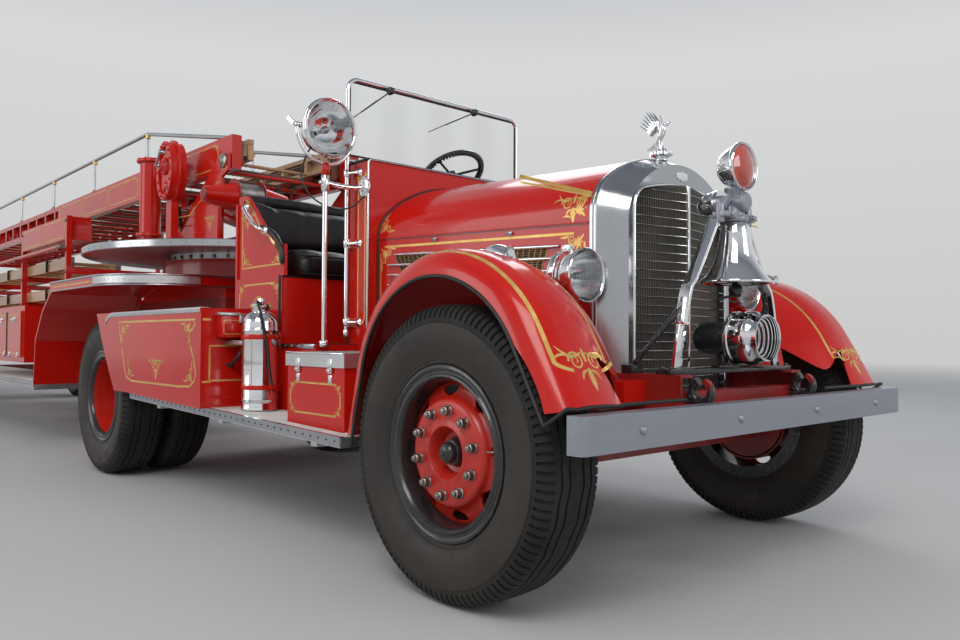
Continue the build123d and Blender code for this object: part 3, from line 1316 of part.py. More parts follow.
# Hand rails on the base ladder, sloping down to the heel
with BuildPart() as handrails:
    rail_y = base_outer_y - base_rail / 2
    corner_x, end_x = heel_x - hand_rail_reach, base_tip_x + 300
    for side in sides.values():
        with BuildLine() as run:
            FilletPolyline((heel_x - 60, side * rail_y, base_top), (corner_x, side * rail_y, hand_rail_z),
                           (end_x, side * rail_y, hand_rail_z), (end_x, side * rail_y, base_top), radius=90)
        with BuildSketch(Plane(origin=run.line @ 0, z_dir=run.line % 0)) as tube:
            Circle(hand_rail_radius)
        sweep(tube.sketch, path=run.line)
        for step in range(hand_rail_posts):
            x = corner_x - (corner_x - end_x) * step / hand_rail_posts
            rod((x, side * rail_y, base_top + face_gap), (x, side * rail_y, hand_rail_z),
                hand_rail_radius - 3)
    block((base_tip_x - 10, heel_x + 100), (-base_outer_y - 10, base_outer_y + 10),
          (base_top - 100, base_top + face_gap),
          mode=Mode.SUBTRACT)
save(handrails, "handrails")
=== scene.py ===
import json
import random
from math import copysign, cos, hypot, pi as PI, radians, sin, sqrt

import bmesh
import bpy
from mathutils import Matrix, Vector
from mathutils.bvhtree import BVHTree


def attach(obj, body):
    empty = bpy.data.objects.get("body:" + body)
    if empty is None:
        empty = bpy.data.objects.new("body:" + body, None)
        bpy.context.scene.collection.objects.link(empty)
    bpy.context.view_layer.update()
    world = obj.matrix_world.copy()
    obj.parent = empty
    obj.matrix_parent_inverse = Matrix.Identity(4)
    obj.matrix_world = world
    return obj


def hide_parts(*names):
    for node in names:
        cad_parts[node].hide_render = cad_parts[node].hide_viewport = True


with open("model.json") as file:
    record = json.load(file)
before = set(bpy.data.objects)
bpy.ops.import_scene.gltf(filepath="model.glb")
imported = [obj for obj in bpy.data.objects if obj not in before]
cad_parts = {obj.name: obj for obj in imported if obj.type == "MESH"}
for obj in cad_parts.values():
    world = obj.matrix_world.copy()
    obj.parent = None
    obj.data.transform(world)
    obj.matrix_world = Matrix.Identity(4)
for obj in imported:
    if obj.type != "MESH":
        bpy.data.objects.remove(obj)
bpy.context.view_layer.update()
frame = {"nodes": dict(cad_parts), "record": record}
nodes = frame["nodes"]
random.seed(7)
X, Y, Z = Vector((1, 0, 0)), Vector((0, 1, 0)), Vector((0, 0, 1))

# Stations in metres, as in the CAD model; most lengths below are measured from the front axle
FRONT, REAR, KING, TRAILER, TAIL = 6.66, 3.19, 3.06, -4.34, -7.3
WHEEL_Y, INNER_WHEEL_Y, AXLE_Z = 0.96, 0.66, 0.5
SIDES = {"right": -1, "left": 1}


def F(x, y, z):
    """A point measured from the front axle's station."""
    return Vector((FRONT + x, y, z))


def link(name, data):
    """Puts a new object in the scene."""
    made = bpy.data.objects.new(name, data)
    bpy.context.scene.collection.objects.link(made)
    return made


# Camera: solved from the photograph's vanishing points
PHOTO_WIDTH, FOCAL_PIXELS, SENSOR = 960, 806.9166, 36.0
camera_data = bpy.data.cameras.new("camera")
camera = link("camera", camera_data)
bpy.context.scene.camera = camera
camera_data.sensor_width = SENSOR
camera_data.lens = FOCAL_PIXELS / PHOTO_WIDTH * SENSOR
camera_data.clip_end = 200
forward = Vector((-0.740355, 0.67181717, 0.02315548))
right = Vector((0.67207177, 0.74047053, 0.00478864))
up = Vector((0.01392886, -0.01910744, 0.99972041))
turn = Matrix((right, up, -forward)).transposed()
camera.matrix_world = Matrix.Translation(F(2.07734556, -2.78465849, 0.88210787)) @ turn.to_4x4()


# Materials

def tree_of(name):
    material = bpy.data.materials.new(name)
    material.use_nodes = True
    tree = material.node_tree
    shader = tree.nodes["Principled BSDF"]
    return material, tree, shader


def node(tree, kind, inputs=None, **settings):
    made = tree.nodes.new("ShaderNode" + kind)
    for key, value in settings.items():
        setattr(made, key, value)
    for key, value in (inputs or {}).items():
        socket = made.inputs[key]
        if isinstance(value, bpy.types.NodeSocket):
            tree.links.new(value, socket)
        else:
            socket.default_value = value
    return made


def ramp(tree, value, stops):
    made = node(tree, "ValToRGB", {"Fac": value})
    elements = made.color_ramp.elements
    while len(elements) < len(stops):
        elements.new(0.5)
    for element, (place, colour) in zip(elements, stops):
        element.position = place
        element.color = (*colour, 1) if len(colour) == 3 else colour
    return made.outputs["Color"]


def noise(tree, place, scale, detail, roughness=0.5):
    return node(tree, "TexNoise", {"Vector": place, "Scale": scale, "Detail": detail,
                                   "Roughness": roughness}).outputs["Fac"]


def spread(tree, value, low, high, to_low=0.0, to_high=1.0):
    """Maps a value's range onto another."""
    return node(tree, "MapRange", {"Value": value, "From Min": low, "From Max": high, "To Min": to_low,
                                   "To Max": to_high}).outputs["Result"]


def over(tree, mask, under, colour):
    return node(tree, "MixRGB", {"Fac": mask, "Color1": under, "Color2": (*colour, 1)}).outputs["Color"]


def maths(tree, what, a, b):
    return node(tree, "Math", {0: a, 1: b}, operation=what).outputs["Value"]


def emboss(tree, shader, height, strength, distance):
    bumped = node(tree, "Bump", {"Height": height, "Strength": strength, "Distance": distance})
    tree.links.new(bumped.outputs["Normal"], shader.inputs["Normal"])


def plain_rays(tree):
    """1 where the camera, a reflection or glass looks, 0 for light on the object."""
    rays = node(tree, "LightPath")
    plain = rays.outputs["Is Camera Ray"]
    for kind in ("Is Glossy Ray", "Is Transmission Ray"):
        plain = maths(tree, "MAXIMUM", plain, rays.outputs[kind])
    return plain


def surface(name, colours, rough, metallic=0.0, coat=0.0, scale=6.0, bump=(60.0, 0.0), chips=None,
            stretch=None,
            streak=0.0, low_tint=None, specular=0.5, sheen=0.0):
    """A surface whose colour, roughness and relief vary: colours and rough are (low, high); bump is (scale, strength);
    chips is a colour that shows at worn edges; stretch squeezes the pattern along the axes; the low tint is (colour,
    height), a colour that comes in, in patches, below that height and fully at the bottom."""
    material, tree, shader = tree_of(name)
    place = node(tree, "TexCoord").outputs["Object"]
    if stretch:
        place = node(tree, "Mapping", {"Vector": place, "Scale": stretch}).outputs["Vector"]
    broad = noise(tree, place, scale, 6.0, 0.6)
    fine = noise(tree, place, scale * 7, 5.0, 0.7)
    colour = ramp(tree, broad, [(0.3, colours[0]), (0.7, colours[1])])
    if streak:
        run = node(tree, "Mapping", {"Vector": place, "Scale": (3.0, 3.0, 0.25)}).outputs["Vector"]
        mask = spread(tree, noise(tree, run, 14.0, 4.0), 0.5, 0.75, 0.0, streak)
        colour = over(tree, mask, colour, [c * 0.5 for c in colours[0]])
    if low_tint:
        low_colour, height = low_tint
        z = node(tree, "SeparateXYZ", {"Vector": node(tree, "TexCoord").outputs["Object"]}).outputs["Z"]
        colour = over(tree, maths(tree, "MULTIPLY", spread(tree, z, height, 0.0), fine), colour, low_colour)
    if chips:
        edge = spread(tree, node(tree, "NewGeometry").outputs["Pointiness"], 0.52, 0.60)
        colour = over(tree, maths(tree, "MULTIPLY", edge, spread(tree, fine, 0.54, 0.66)), colour, chips)
    tree.links.new(colour, shader.inputs["Base Color"])
    tree.links.new(spread(tree, fine, 0.3, 0.7, *rough), shader.inputs["Roughness"])
    for socket, value in (("Metallic", metallic), ("Coat Weight", coat), ("Coat Roughness", 0.06),
                          ("Specular IOR Level", specular), ("Sheen Weight", sheen)):
        shader.inputs[socket].default_value = value
    if bump[1]:
        emboss(tree, shader, noise(tree, place, bump[0], 3.0), bump[1], 0.002)
    return material


# The red enamel darkens towards the bottom: below 0.55 m it turns, in patches, to a dark red-brown, fully so at the
# ground.
RED = surface("red_enamel", ((0.50, 0.007, 0.003), (0.57, 0.011, 0.005)), (0.16, 0.24), coat=0.35, scale=1.6,
              bump=(320.0, 0.02), low_tint=((0.10, 0.03, 0.02), 0.55), specular=0.3)
WORN_RED = surface("red_enamel_worn", ((0.46, 0.012, 0.005), (0.54, 0.020, 0.008)), (0.25, 0.42), coat=0.2,
                   scale=9.0,
                   bump=(90.0, 0.12), streak=0.3)
FRAME_RED = surface("frame_red_paint", ((0.20, 0.008, 0.006), (0.33, 0.014, 0.010)), (0.35, 0.6), coat=0.15,
                    scale=5.0,
                    bump=(120.0, 0.15), low_tint=((0.14, 0.11, 0.09), 0.6))
GREY = surface("grey_steel_paint", ((0.27, 0.285, 0.33), (0.33, 0.345, 0.39)), (0.26, 0.40), metallic=0.5,
               coat=0.2, scale=3.0,
               bump=(180.0, 0.06), stretch=(1.0, 0.25, 1.0))
BLACK = surface("black_enamel", ((0.010, 0.010, 0.011), (0.022, 0.022, 0.024)), (0.22, 0.42), coat=0.4,
                scale=8.0,
                bump=(140.0, 0.08), chips=(0.10, 0.09, 0.08))
IRON = surface("dark_iron", ((0.022, 0.020, 0.019), (0.065, 0.058, 0.052)), (0.45, 0.75), metallic=0.6,
               scale=12.0,
               bump=(160.0, 0.3))
CHROME = surface("chrome", ((0.80, 0.81, 0.83), (0.90, 0.90, 0.91)), (0.03, 0.09), metallic=1.0, scale=4.0,
                 bump=(60.0, 0.02))
NICKEL = surface("polished_nickel", ((0.42, 0.44, 0.47), (0.52, 0.54, 0.57)), (0.12, 0.22), metallic=1.0,
                 scale=2.5,
                 bump=(220.0, 0.05), stretch=(1.0, 1.0, 0.4))
STEEL = surface("bare_steel", ((0.20, 0.19, 0.18), (0.38, 0.37, 0.35)), (0.25, 0.45), metallic=1.0,
                scale=14.0,
                bump=(200.0, 0.15), chips=(0.16, 0.10, 0.06))
ALUMINIUM = surface("brushed_aluminium", ((0.52, 0.53, 0.54), (0.70, 0.71, 0.72)), (0.28, 0.46), metallic=0.9,
                    scale=5.0,
                    bump=(260.0, 0.12), stretch=(0.15, 1.0, 1.0))
RUBBER = surface("tyre_rubber", ((0.009, 0.009, 0.009), (0.022, 0.020, 0.018)), (0.55, 0.82), scale=5.0,
                 bump=(240.0, 0.2), low_tint=((0.045, 0.038, 0.030), 0.30), specular=0.3)
BROWN_RUBBER = surface("tyre_sidewall", ((0.014, 0.012, 0.010), (0.036, 0.028, 0.022)), (0.38, 0.6),
                       scale=3.5,
                       bump=(200.0, 0.12), specular=0.4)
GOLD = surface("gold_leaf", ((0.62, 0.36, 0.07), (0.83, 0.58, 0.20)), (0.28, 0.45), metallic=0.55, scale=22.0,
               bump=(160.0, 0.08))
BEAD = surface("black_beading", ((0.008, 0.008, 0.008), (0.02, 0.019, 0.018)), (0.4, 0.6), scale=30.0,
               bump=(300.0, 0.3))
LEATHER = surface("black_leather", ((0.007, 0.007, 0.008), (0.020, 0.020, 0.022)), (0.30, 0.46), scale=7.0,
                  bump=(420.0, 0.35), specular=0.5)
DARK_WOOD = surface("varnished_dark_wood", ((0.070, 0.026, 0.012), (0.165, 0.066, 0.030)), (0.28, 0.45),
                    coat=0.4, scale=9.0,
                    bump=(120.0, 0.1), stretch=(0.08, 1.0, 1.0))
PALE_WOOD = surface("varnished_ash", ((0.32, 0.17, 0.075), (0.52, 0.31, 0.15)), (0.28, 0.45), coat=0.4,
                    scale=9.0,
                    bump=(120.0, 0.1), stretch=(0.08, 1.0, 1.0))
CANVAS = surface("grey_hose_jacket", ((0.16, 0.155, 0.145), (0.27, 0.26, 0.245)), (0.75, 0.95), scale=30.0,
                 bump=(500.0, 0.5), sheen=0.2)
BRASS = surface("brass", ((0.60, 0.40, 0.13), (0.76, 0.54, 0.22)), (0.2, 0.36), metallic=1.0, scale=10.0,
                bump=(120.0, 0.06))
# The vent screen's dark colour is partly the black mesh of the hood vents and partly painted shade, standing for the
# shaded inside of the hood behind the mesh.
VENT_MESH_AND_SHADE = surface("vent_mesh_and_shade", ((0.016, 0.015, 0.013), (0.040, 0.036, 0.030)), (0.5, 0.7), metallic=0.4,
                     scale=40.0,
                     bump=(600.0, 0.4))
RED_GLASS = surface("red_lens", ((0.32, 0.010, 0.004), (0.60, 0.045, 0.012)), (0.04, 0.10), coat=1.0,
                    scale=12.0,
                    bump=(70.0, 0.12), specular=0.8)
GRILLE_BAR = surface("grille_bars", ((0.17, 0.155, 0.135), (0.30, 0.275, 0.24)), (0.35, 0.6), metallic=0.85,
                     scale=5.0,
                     bump=(200.0, 0.1))
TREAD_LOOK = surface("pale_tread", ((0.50, 0.49, 0.46), (0.66, 0.65, 0.62)), (0.45, 0.65), metallic=0.25,
                     scale=14.0, bump=(500.0, 0.3))


def glass(name, colour, rough, ior, relief):
    material, tree, shader = tree_of(name)
    place = node(tree, "TexCoord").outputs["Object"]
    wave = node(tree, "TexWave", {"Vector": place, "Scale": relief[0], "Distortion": 0.6}, wave_type="BANDS",
                bands_direction="Y").outputs["Fac"]
    tint = ramp(tree, wave, [(0.0, [c * 0.93 for c in colour]), (1.0, colour)])
    tree.links.new(tint, shader.inputs["Base Color"])
    shader.inputs["Transmission Weight"].default_value = 1.0
    shader.inputs["IOR"].default_value = ior
    smudge = noise(tree, place, 9.0, 2.0)
    tree.links.new(spread(tree, smudge, 0.0, 1.0, rough * 0.3, rough), shader.inputs["Roughness"])
    emboss(tree, shader, wave, relief[1], 0.003)
    return material


LENS = glass("ribbed_lens", (0.96, 0.97, 0.97), 0.12, 1.22, (30.0, 0.35))
CLEAR = glass("clear_lens", (0.97, 0.98, 0.98), 0.02, 1.15, (4.0, 0.05))
PANE = glass("window_glass", (0.985, 0.995, 0.99), 0.0, 1.0, (1.0, 0.0))

SLOT_LOOKS = {
    "fire_red": RED, "frame_red": FRAME_RED, "grey_paint": GREY, "black_paint": BLACK, "engine_iron": IRON,
    "nickel": NICKEL, "chrome": CHROME, "aluminium": ALUMINIUM, "rubber": RUBBER, "black_leather": LEATHER,
    "clear_glass": PANE, "dark_wood": DARK_WOOD, "pale_wood": PALE_WOOD,
}
SLOT_OF = {look.name: slot for slot, look in SLOT_LOOKS.items()}
for slot, looks in {"fire_red": (WORN_RED, GOLD), "black_paint": (BEAD, CANVAS, VENT_MESH_AND_SHADE),
                    "nickel": (STEEL, BRASS, GRILLE_BAR), "aluminium": (TREAD_LOOK,),
                    "clear_glass": (LENS, CLEAR, RED_GLASS), "rubber": (BROWN_RUBBER,)}.items():
    SLOT_OF.update({look.name: slot for look in looks})
node_slots = {part["node"]: part["material_slot"] for part in frame["record"]["subparts"]}


def dress(name, material):
    """Gives a CAD node its own material."""
    data = nodes[name].data
    if not data.materials:
        data.materials.append(material)
    for index in range(len(data.materials)):
        data.materials[index] = material


for node_name, slot_name in node_slots.items():
    dress(node_name, SLOT_LOOKS[slot_name])


# Shapes

class Kit:
    """Gathers faces, then makes one piece of them."""

    def __init__(self):
        self.verts, self.faces = [], []

    def add(self, verts, faces):
        start = len(self.verts)
        self.verts += [tuple(v) for v in verts]
        self.faces += [tuple(start + i for i in face) for face in faces]
        return self

    def grid(self, rows, wrap_rows=False, wrap_columns=False, cap=False):
        """Quads between rows of points."""
        count, width = len(rows), len(rows[0])
        verts = [p for row in rows for p in row]
        faces = []
        for i in range(count if wrap_rows else count - 1):
            for j in range(width if wrap_columns else width - 1):
                a, b, c, d = (i, j), (i, (j + 1) % width), ((i + 1) % count,
                                                            (j + 1) % width), ((i + 1) % count, j)
                faces.append(tuple(r * width + s for r, s in (a, b, c, d)))
        if cap:
            faces += [tuple(reversed(range(width))), tuple((count - 1) * width + j for j in range(width))]
        return self.add(verts, faces)

    def box(self, low, high):
        (x0, y0, z0), (x1, y1, z1) = [tuple(map(min, zip(low, high))), tuple(map(max, zip(low, high)))]
        verts = [(x, y, z) for x in (x0, x1) for y in (y0, y1) for z in (z0, z1)]
        return self.add(verts,
                        [(0, 1, 3, 2), (4, 6, 7, 5), (0, 4, 5, 1), (2, 3, 7, 6), (0, 2, 6, 4), (1, 5, 7, 3)])

    def bar(self, start, end, width, height, up=Z):
        """A straight bar of rectangular section."""
        start, end = Vector(start), Vector(end)
        along = (end - start).normalized()
        side = along.cross(up).normalized() * (width / 2)
        rise = side.cross(along).normalized() * (height / 2)
        return self.grid([[p + side * s + rise * t for s, t in ((-1, -1), (1, -1), (1, 1), (-1, 1))]
                          for p in (start, end)], wrap_columns=True, cap=True)

    def lathe(self, origin, axis, profile, n=48):
        """Turns a profile of (radius, distance) about the axis."""
        origin, axis = Vector(origin), Vector(axis).normalized()
        side = (Z if abs(axis.z) < 0.9 else X).cross(axis).normalized()
        other = axis.cross(side)
        rows = []
        for i in range(n):
            angle = radians(360 * i / n)
            out = side * cos(angle) + other * sin(angle)
            rows.append([origin + out * r + axis * d for r, d in profile])
        return self.grid(rows, wrap_rows=True, wrap_columns=True)

    def rod(self, start, end, radius, n=16, end_radius=None, edge=0.0):
        """A round bar with closed ends; edge rounds them off a little."""
        start, end = Vector(start), Vector(end)
        length = (end - start).length
        last = radius if end_radius is None else end_radius
        profile = [(0, 0), (radius - edge, 0), (radius, edge), (last, length - edge), (last - edge, length),
                   (0, length)]
        if not edge:
            profile = [(0, 0), (radius, 0), (last, length), (0, length)]
        return self.lathe(start, end - start, profile, n)

    def tube(self, path, radius, n=12, closed=False, section=None):
        """A tube along points; section may give its own outline as (across, up) instead of a circle."""
        path = [Vector(p) for p in path]
        count = len(path)
        outline = section or [(cos(2 * PI * k / n), sin(2 * PI * k / n)) for k in range(n)]
        rows, across = [], None
        for i, point in enumerate(path):
            before = path[i - 1] if (i or closed) else point
            after = path[(i + 1) % count] if (i < count - 1 or closed) else point
            along = (after - before).normalized()
            if across is None:
                across = (along.cross(Z) if abs(along.z) < 0.95 else along.cross(X)).normalized()
            across = (across - along * across.dot(along)).normalized()
            rise = across.cross(along)
            size = radius(i / (count - 1)) if callable(radius) else radius
            rows.append([point + across * (a * size) + rise * (b * size) for a, b in outline])
        return self.grid(rows, wrap_rows=closed, wrap_columns=True, cap=not closed)

    def prism(self, outline, origin, u, v, depth):
        """A flat outline of (along u, along v), thickened by depth along u x v."""
        origin, u, v = Vector(origin), Vector(u).normalized(), Vector(v).normalized()
        normal = u.cross(v)
        near = [origin + u * a + v * b for a, b in outline]
        return self.grid([near, [p + normal * depth for p in near]], wrap_columns=True, cap=True)

    def bolt(self, place, axis, size, height=None, dome=False):
        """A hexagon head or nut, or a dome head, standing on a surface."""
        height = height or size * 0.55
        if dome:
            ring = [(size / 2 * cos(a * PI / 6), height * sin(a * PI / 6)) for a in range(4)]
            return self.lathe(place, axis, [(0, -0.001), (size / 2, -0.001), *ring], 8)
        self.lathe(place, axis,
                   [(0, -0.001), (size * 0.68, -0.001), (size * 0.68, height * 0.18), (0, height * 0.18)], 14)
        return self.lathe(place, axis, [(0, 0), (size * 0.56, 0), (size * 0.56, height * 0.82),
                                        (size * 0.46, height), (0, height)], 6)

    def mesh(self, name):
        data = bpy.data.meshes.new(name)
        data.from_pydata(self.verts, [], self.faces)
        work = bmesh.new()
        work.from_mesh(data)
        bmesh.ops.remove_doubles(work, verts=work.verts, dist=1e-5)
        bmesh.ops.dissolve_degenerate(work, edges=work.edges, dist=1e-6)
        bmesh.ops.recalc_face_normals(work, faces=work.faces)
        work.to_mesh(data)
        work.free()
        return data

    def make(self, name, material, body="tractor", slot=None, smooth=35, bevel=0.0, segments=2, replaces=()):
        """Makes the piece; unless a slot is given, its material's slot is looked up, but no slot is kept."""
        made = link(name, self.mesh(name))
        if bevel:
            rounder = made.modifiers.new("edges", "BEVEL")
            rounder.width, rounder.segments, rounder.limit_method = bevel, segments, "ANGLE"
            rounder.angle_limit = radians(38)
            apply(made)
        shade(made, smooth)
        made.data.materials.append(material)
        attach(made, body)
        slot or SLOT_OF[material.name]
        if replaces:
            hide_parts(*replaces)
        return made


def shade(piece, angle):
    """Smooth shading up to an angle in degrees."""
    for polygon in piece.data.polygons:
        polygon.use_smooth = True
    piece.data.set_sharp_from_angle(angle=radians(angle))


def apply(piece):
    """Bakes a piece's modifiers into its mesh."""
    graph = bpy.context.evaluated_depsgraph_get()
    done = bpy.data.meshes.new_from_object(piece.evaluated_get(graph))
    piece.modifiers.clear()
    piece.data = done


def cut(piece, cutter):
    """Takes the cutter's shape out of a piece."""
    tool = link("cutter", cutter.mesh("cutter"))
    step = piece.modifiers.new("cut", "BOOLEAN")
    step.operation, step.object, step.solver = "DIFFERENCE", tool, "EXACT"
    apply(piece)
    bpy.data.objects.remove(tool)
    shade(piece, 40)


def turns(count, start=0.0):
    """Angles round a full turn, in radians."""
    return [2 * PI * (i + start) / count for i in range(count)]


def under(tree, start, way, reach):
    """The point of a surface that a ray meets, or None."""
    return tree.ray_cast(start, way, reach)[0]


def arc(centre, radius, start, end, n):
    """Points round part of a circle; angles in degrees, from x towards z."""
    angles = [radians(start + (end - start) * i / n) for i in range(n + 1)]
    return [centre + X * (radius * cos(a)) + Z * (radius * sin(a)) for a in angles]


def soft_line(points, n=8):
    """A smooth line through points (Catmull-Rom)."""
    points = [Vector(p) for p in points]
    padded = [points[0] * 2 - points[1], *points, points[-1] * 2 - points[-2]]
    line = []
    for a, b, c, d in zip(padded, padded[1:], padded[2:], padded[3:]):
        for i in range(n):
            t = i / n
            line.append(0.5 * ((2 * b) + (c - a) * t + (2 * a - 5 * b + 4 * c - d) * t * t
                               + (3 * b - a - 3 * c + d) * t ** 3))
    return line + [points[-1]]


trees = {}


def surface_of(piece):
    """A lookup tree for a piece's faces at rest."""
    if piece.name not in trees:
        verts = [piece.matrix_world @ v.co for v in piece.data.vertices]
        trees[piece.name] = BVHTree.FromPolygons(verts, [tuple(p.vertices) for p in piece.data.polygons])
    return trees[piece.name]


def spiral(centre, start, turns, radius, width, flip=1, n=26):
    """A tapering volute, as a stroke."""
    stroke = []
    for i in range(n + 1):
        t = i / n
        r = radius * (1 - t) ** 0.8 + radius * 0.10
        angle = radians(start) + flip * turns * 2 * PI * t
        stroke.append((centre[0] + r * cos(angle), centre[1] + r * sin(angle), width * (1.0 - 0.55 * t)))
    return stroke, False


def leaf(start, end, width, bend=0.0):
    """A pointed leaf, as a stroke."""
    (a0, b0), (a1, b1) = start, end
    stroke, steps = [], 8
    for i in range(steps + 1):
        t = i / steps
        bow = bend * sin(PI * t)
        stroke.append((a0 + (a1 - a0) * t - (b1 - b0) * bow, b0 + (b1 - b0) * t + (a1 - a0) * bow,
                       max(width * sin(PI * min(t * 0.85 + 0.12, 1)), 0.0004)))
    return stroke, False


def line(points, width, closed=False):
    return [(a, b, width) for a, b in points], closed


def placed(strokes, size, a, b, flip_a=1, flip_b=1, turn_deg=0.0):
    """Scales, turns, mirrors and moves strokes."""
    c, q = cos(radians(turn_deg)), sin(radians(turn_deg))
    return [([(a + flip_a * (size * (x * c - y * q)), b + flip_b * (size * (x * q + y * c)), size * w)
              for x, y, w in stroke], closed) for stroke, closed in strokes]


def finial(size, a, b, turn_deg=0.0):
    """A small symmetrical scroll ornament: two volutes, leaves and a drop."""
    strokes = []
    for way in (-1, 1):
        strokes.append(spiral((way * 0.25, 0.04), 90 - way * 90, 1.7, 0.17, 0.046, flip=way, n=22))
        strokes.append(leaf((way * 0.06, 0.20), (way * 0.62, 0.36), 0.070, bend=-way * 0.26))
        strokes.append(leaf((way * 0.44, 0.16), (way * 0.74, 0.10), 0.050, bend=way * 0.15))
        strokes.append(leaf((way * 0.05, -0.14), (way * 0.24, -0.32), 0.060, bend=way * 0.2))
    strokes += [leaf((0, -0.10), (0, -0.54), 0.13), leaf((0, 0.02), (0, 0.30), 0.085)]
    return placed(strokes, size, a, b, turn_deg=turn_deg)


def corner_scroll(size, a, b, flip_a, flip_b):
    """An ornament that fills the corner of a border: volutes along both edges and leaves inward."""
    strokes = [spiral((0.50, 0.15), 190, 1.6, 0.14, 0.045, flip=-1, n=21),
               spiral((0.15, 0.50), -100, 1.6, 0.14, 0.045, flip=1, n=21),
               leaf((0.02, 0.02), (0.42, 0.40), 0.10), leaf((0.22, 0.06), (0.62, 0.30), 0.08, bend=0.2),
               leaf((0.06, 0.22), (0.30, 0.62), 0.08, bend=-0.2),
               leaf((0.60, 0.02), (0.96, 0.06), 0.07, bend=0.1),
               leaf((0.02, 0.60), (0.06, 0.96), 0.07, bend=-0.1)]
    return placed(strokes, size, a, b, flip_a, flip_b)


# Floor, world and lamps
HORIZON, WORLD_STRENGTH = (0.70, 0.70, 0.69), 0.85

def pale(name, colour):
    """A pale ground that the camera, reflections and glass see as plain, and that keeps the object's shadow."""
    material, tree, shader = tree_of(name)
    place = node(tree, "TexCoord").outputs["Object"]
    grain = noise(tree, place, 0.6, 3.0)
    tree.links.new(ramp(tree, grain, [(0.3, [c * 0.97 for c in colour]), (0.7, colour)]),
                   shader.inputs["Base Color"])
    shader.inputs["Roughness"].default_value = 0.9
    shader.inputs["Specular IOR Level"].default_value = 0.1
    away = node(tree, "VectorMath", {0: node(tree, "NewGeometry").outputs["Position"]}, operation="LENGTH")
    far = node(tree, "MapRange", {"Value": away.outputs["Value"], "From Min": 9.0, "From Max": 34.0},
               interpolation_type="SMOOTHSTEP").outputs["Result"]
    amount = maths(tree, "MULTIPLY", plain_rays(tree), far)
    glow = node(tree, "Emission", {"Color": (*HORIZON, 1), "Strength": WORLD_STRENGTH})
    mixed = node(tree, "MixShader", {0: amount, 1: shader.outputs["BSDF"], 2: glow.outputs["Emission"]})
    tree.links.new(mixed.outputs["Shader"], tree.nodes["Material Output"].inputs["Surface"])
    return material


floor_data = bpy.data.meshes.new("floor")
FLOOR_HALF, FLOOR_Z = 400, -0.001
floor_data.from_pydata([(x * FLOOR_HALF, y * FLOOR_HALF, FLOOR_Z) for x,
                        y in ((-1, -1), (1, -1), (1, 1), (-1, 1))], [],
                       [(0, 1, 2, 3)])
floor = link("floor", floor_data)
floor_data.materials.append(pale("pale_floor", (0.50, 0.49, 0.47)))

world = bpy.data.worlds.new("studio")
bpy.context.scene.world = world
world.use_nodes = True
world_tree = world.node_tree
background = world_tree.nodes["Background"]
sky_dir = node(world_tree, "TexCoord").outputs["Generated"]
height = node(world_tree, "SeparateXYZ", {"Vector": sky_dir}).outputs["Z"]
up_down = spread(world_tree, height, -1.0, 1.0)
sky = ramp(world_tree, up_down, [(0.45, (0.40, 0.38, 0.36)), (0.55, (0.56, 0.57, 0.60)),
                                 (0.70, (0.46, 0.52, 0.62)), (1.0, (0.80, 0.84, 0.92))])
wall = ramp(world_tree, up_down, [(0.5, HORIZON), (0.66, (0.80, 0.81, 0.82)), (0.72, (0.62, 0.64, 0.67)),
                                  (0.86, (0.20, 0.21, 0.24)),
                                  (1.0, (0.30, 0.32, 0.36))])
seen = node(world_tree, "MixRGB", {"Fac": plain_rays(world_tree), "Color1": sky, "Color2": wall})
world_tree.links.new(seen.outputs["Color"], background.inputs["Color"])
background.inputs["Strength"].default_value = WORLD_STRENGTH


def lamp(name, place, aim, power, size, colour=(1, 1, 1)):
    data = bpy.data.lights.new(name, "AREA")
    data.energy, data.size, data.color, data.shape = power, size, colour, "SQUARE"
    made = link(name, data)
    made.visible_camera = made.visible_transmission = False
    made.matrix_world = Matrix.Translation(place) @ (Vector(aim) - Vector(place)).to_track_quat("-Z",
                                                                                                "Y").to_matrix().to_4x4()


lamp("key", F(4.0, -7.0, 8.5), F(-1.0, 0, 1.0), 480, 5.0, (1.0, 0.97, 0.92))
lamp("front_fill", F(8.5, 2.0, 4.5), F(0, 0, 1.0), 150, 4.0, (0.94, 0.97, 1.0))
lamp("side_fill", F(-6.0, -9.0, 4.0), F(-4.0, 0, 1.5), 170, 5.0)
lamp("back_rim", F(-7.0, 7.0, 7.0), F(-2.0, 0, 1.5), 220, 5.0, (0.96, 0.98, 1.0))

view = bpy.context.scene.view_settings
view.view_transform = "Standard"


# Wheels

def lug_angles(lugs):
    """Column angles round a tyre with how deep each is in a shoulder slot."""
    if not lugs:
        return [(2 * PI * i / 96, 0.0) for i in range(96)]
    pitch = 2 * PI / lugs
    return [(pitch * (i + step), depth) for i in range(lugs)
            for step, depth in ((0.0, 0.0), (0.60, 0.0), (0.66, 1.0), (0.94, 1.0))]


SIDEWALL = [(0.252, 0.0985), (0.290, 0.1000), (0.298, 0.1035), (0.304, 0.1085), (0.3105, 0.1090),
            (0.3125, 0.1115),
            (0.3155, 0.1118), (0.330, 0.1175), (0.352, 0.1240), (0.378, 0.1285), (0.402, 0.1300),
            (0.424, 0.1298),
            (0.4345, 0.1290), (0.4365, 0.1303), (0.4395, 0.1300), (0.4415, 0.1282)]
SHOULDER = [(0.4520, 0.1265), (0.4560, 0.1262), (0.4680, 0.1220), (0.4800, 0.1150), (0.4890, 0.1060),
            (0.4945, 0.0960)]
TREAD = [(0.0870, 0), (0.0690, 0), (0.0672, 1), (0.0622, 1), (0.0604, 0), (0.0345, 0), (0.0327, 1),
         (0.0277, 1), (0.0259, 0)]


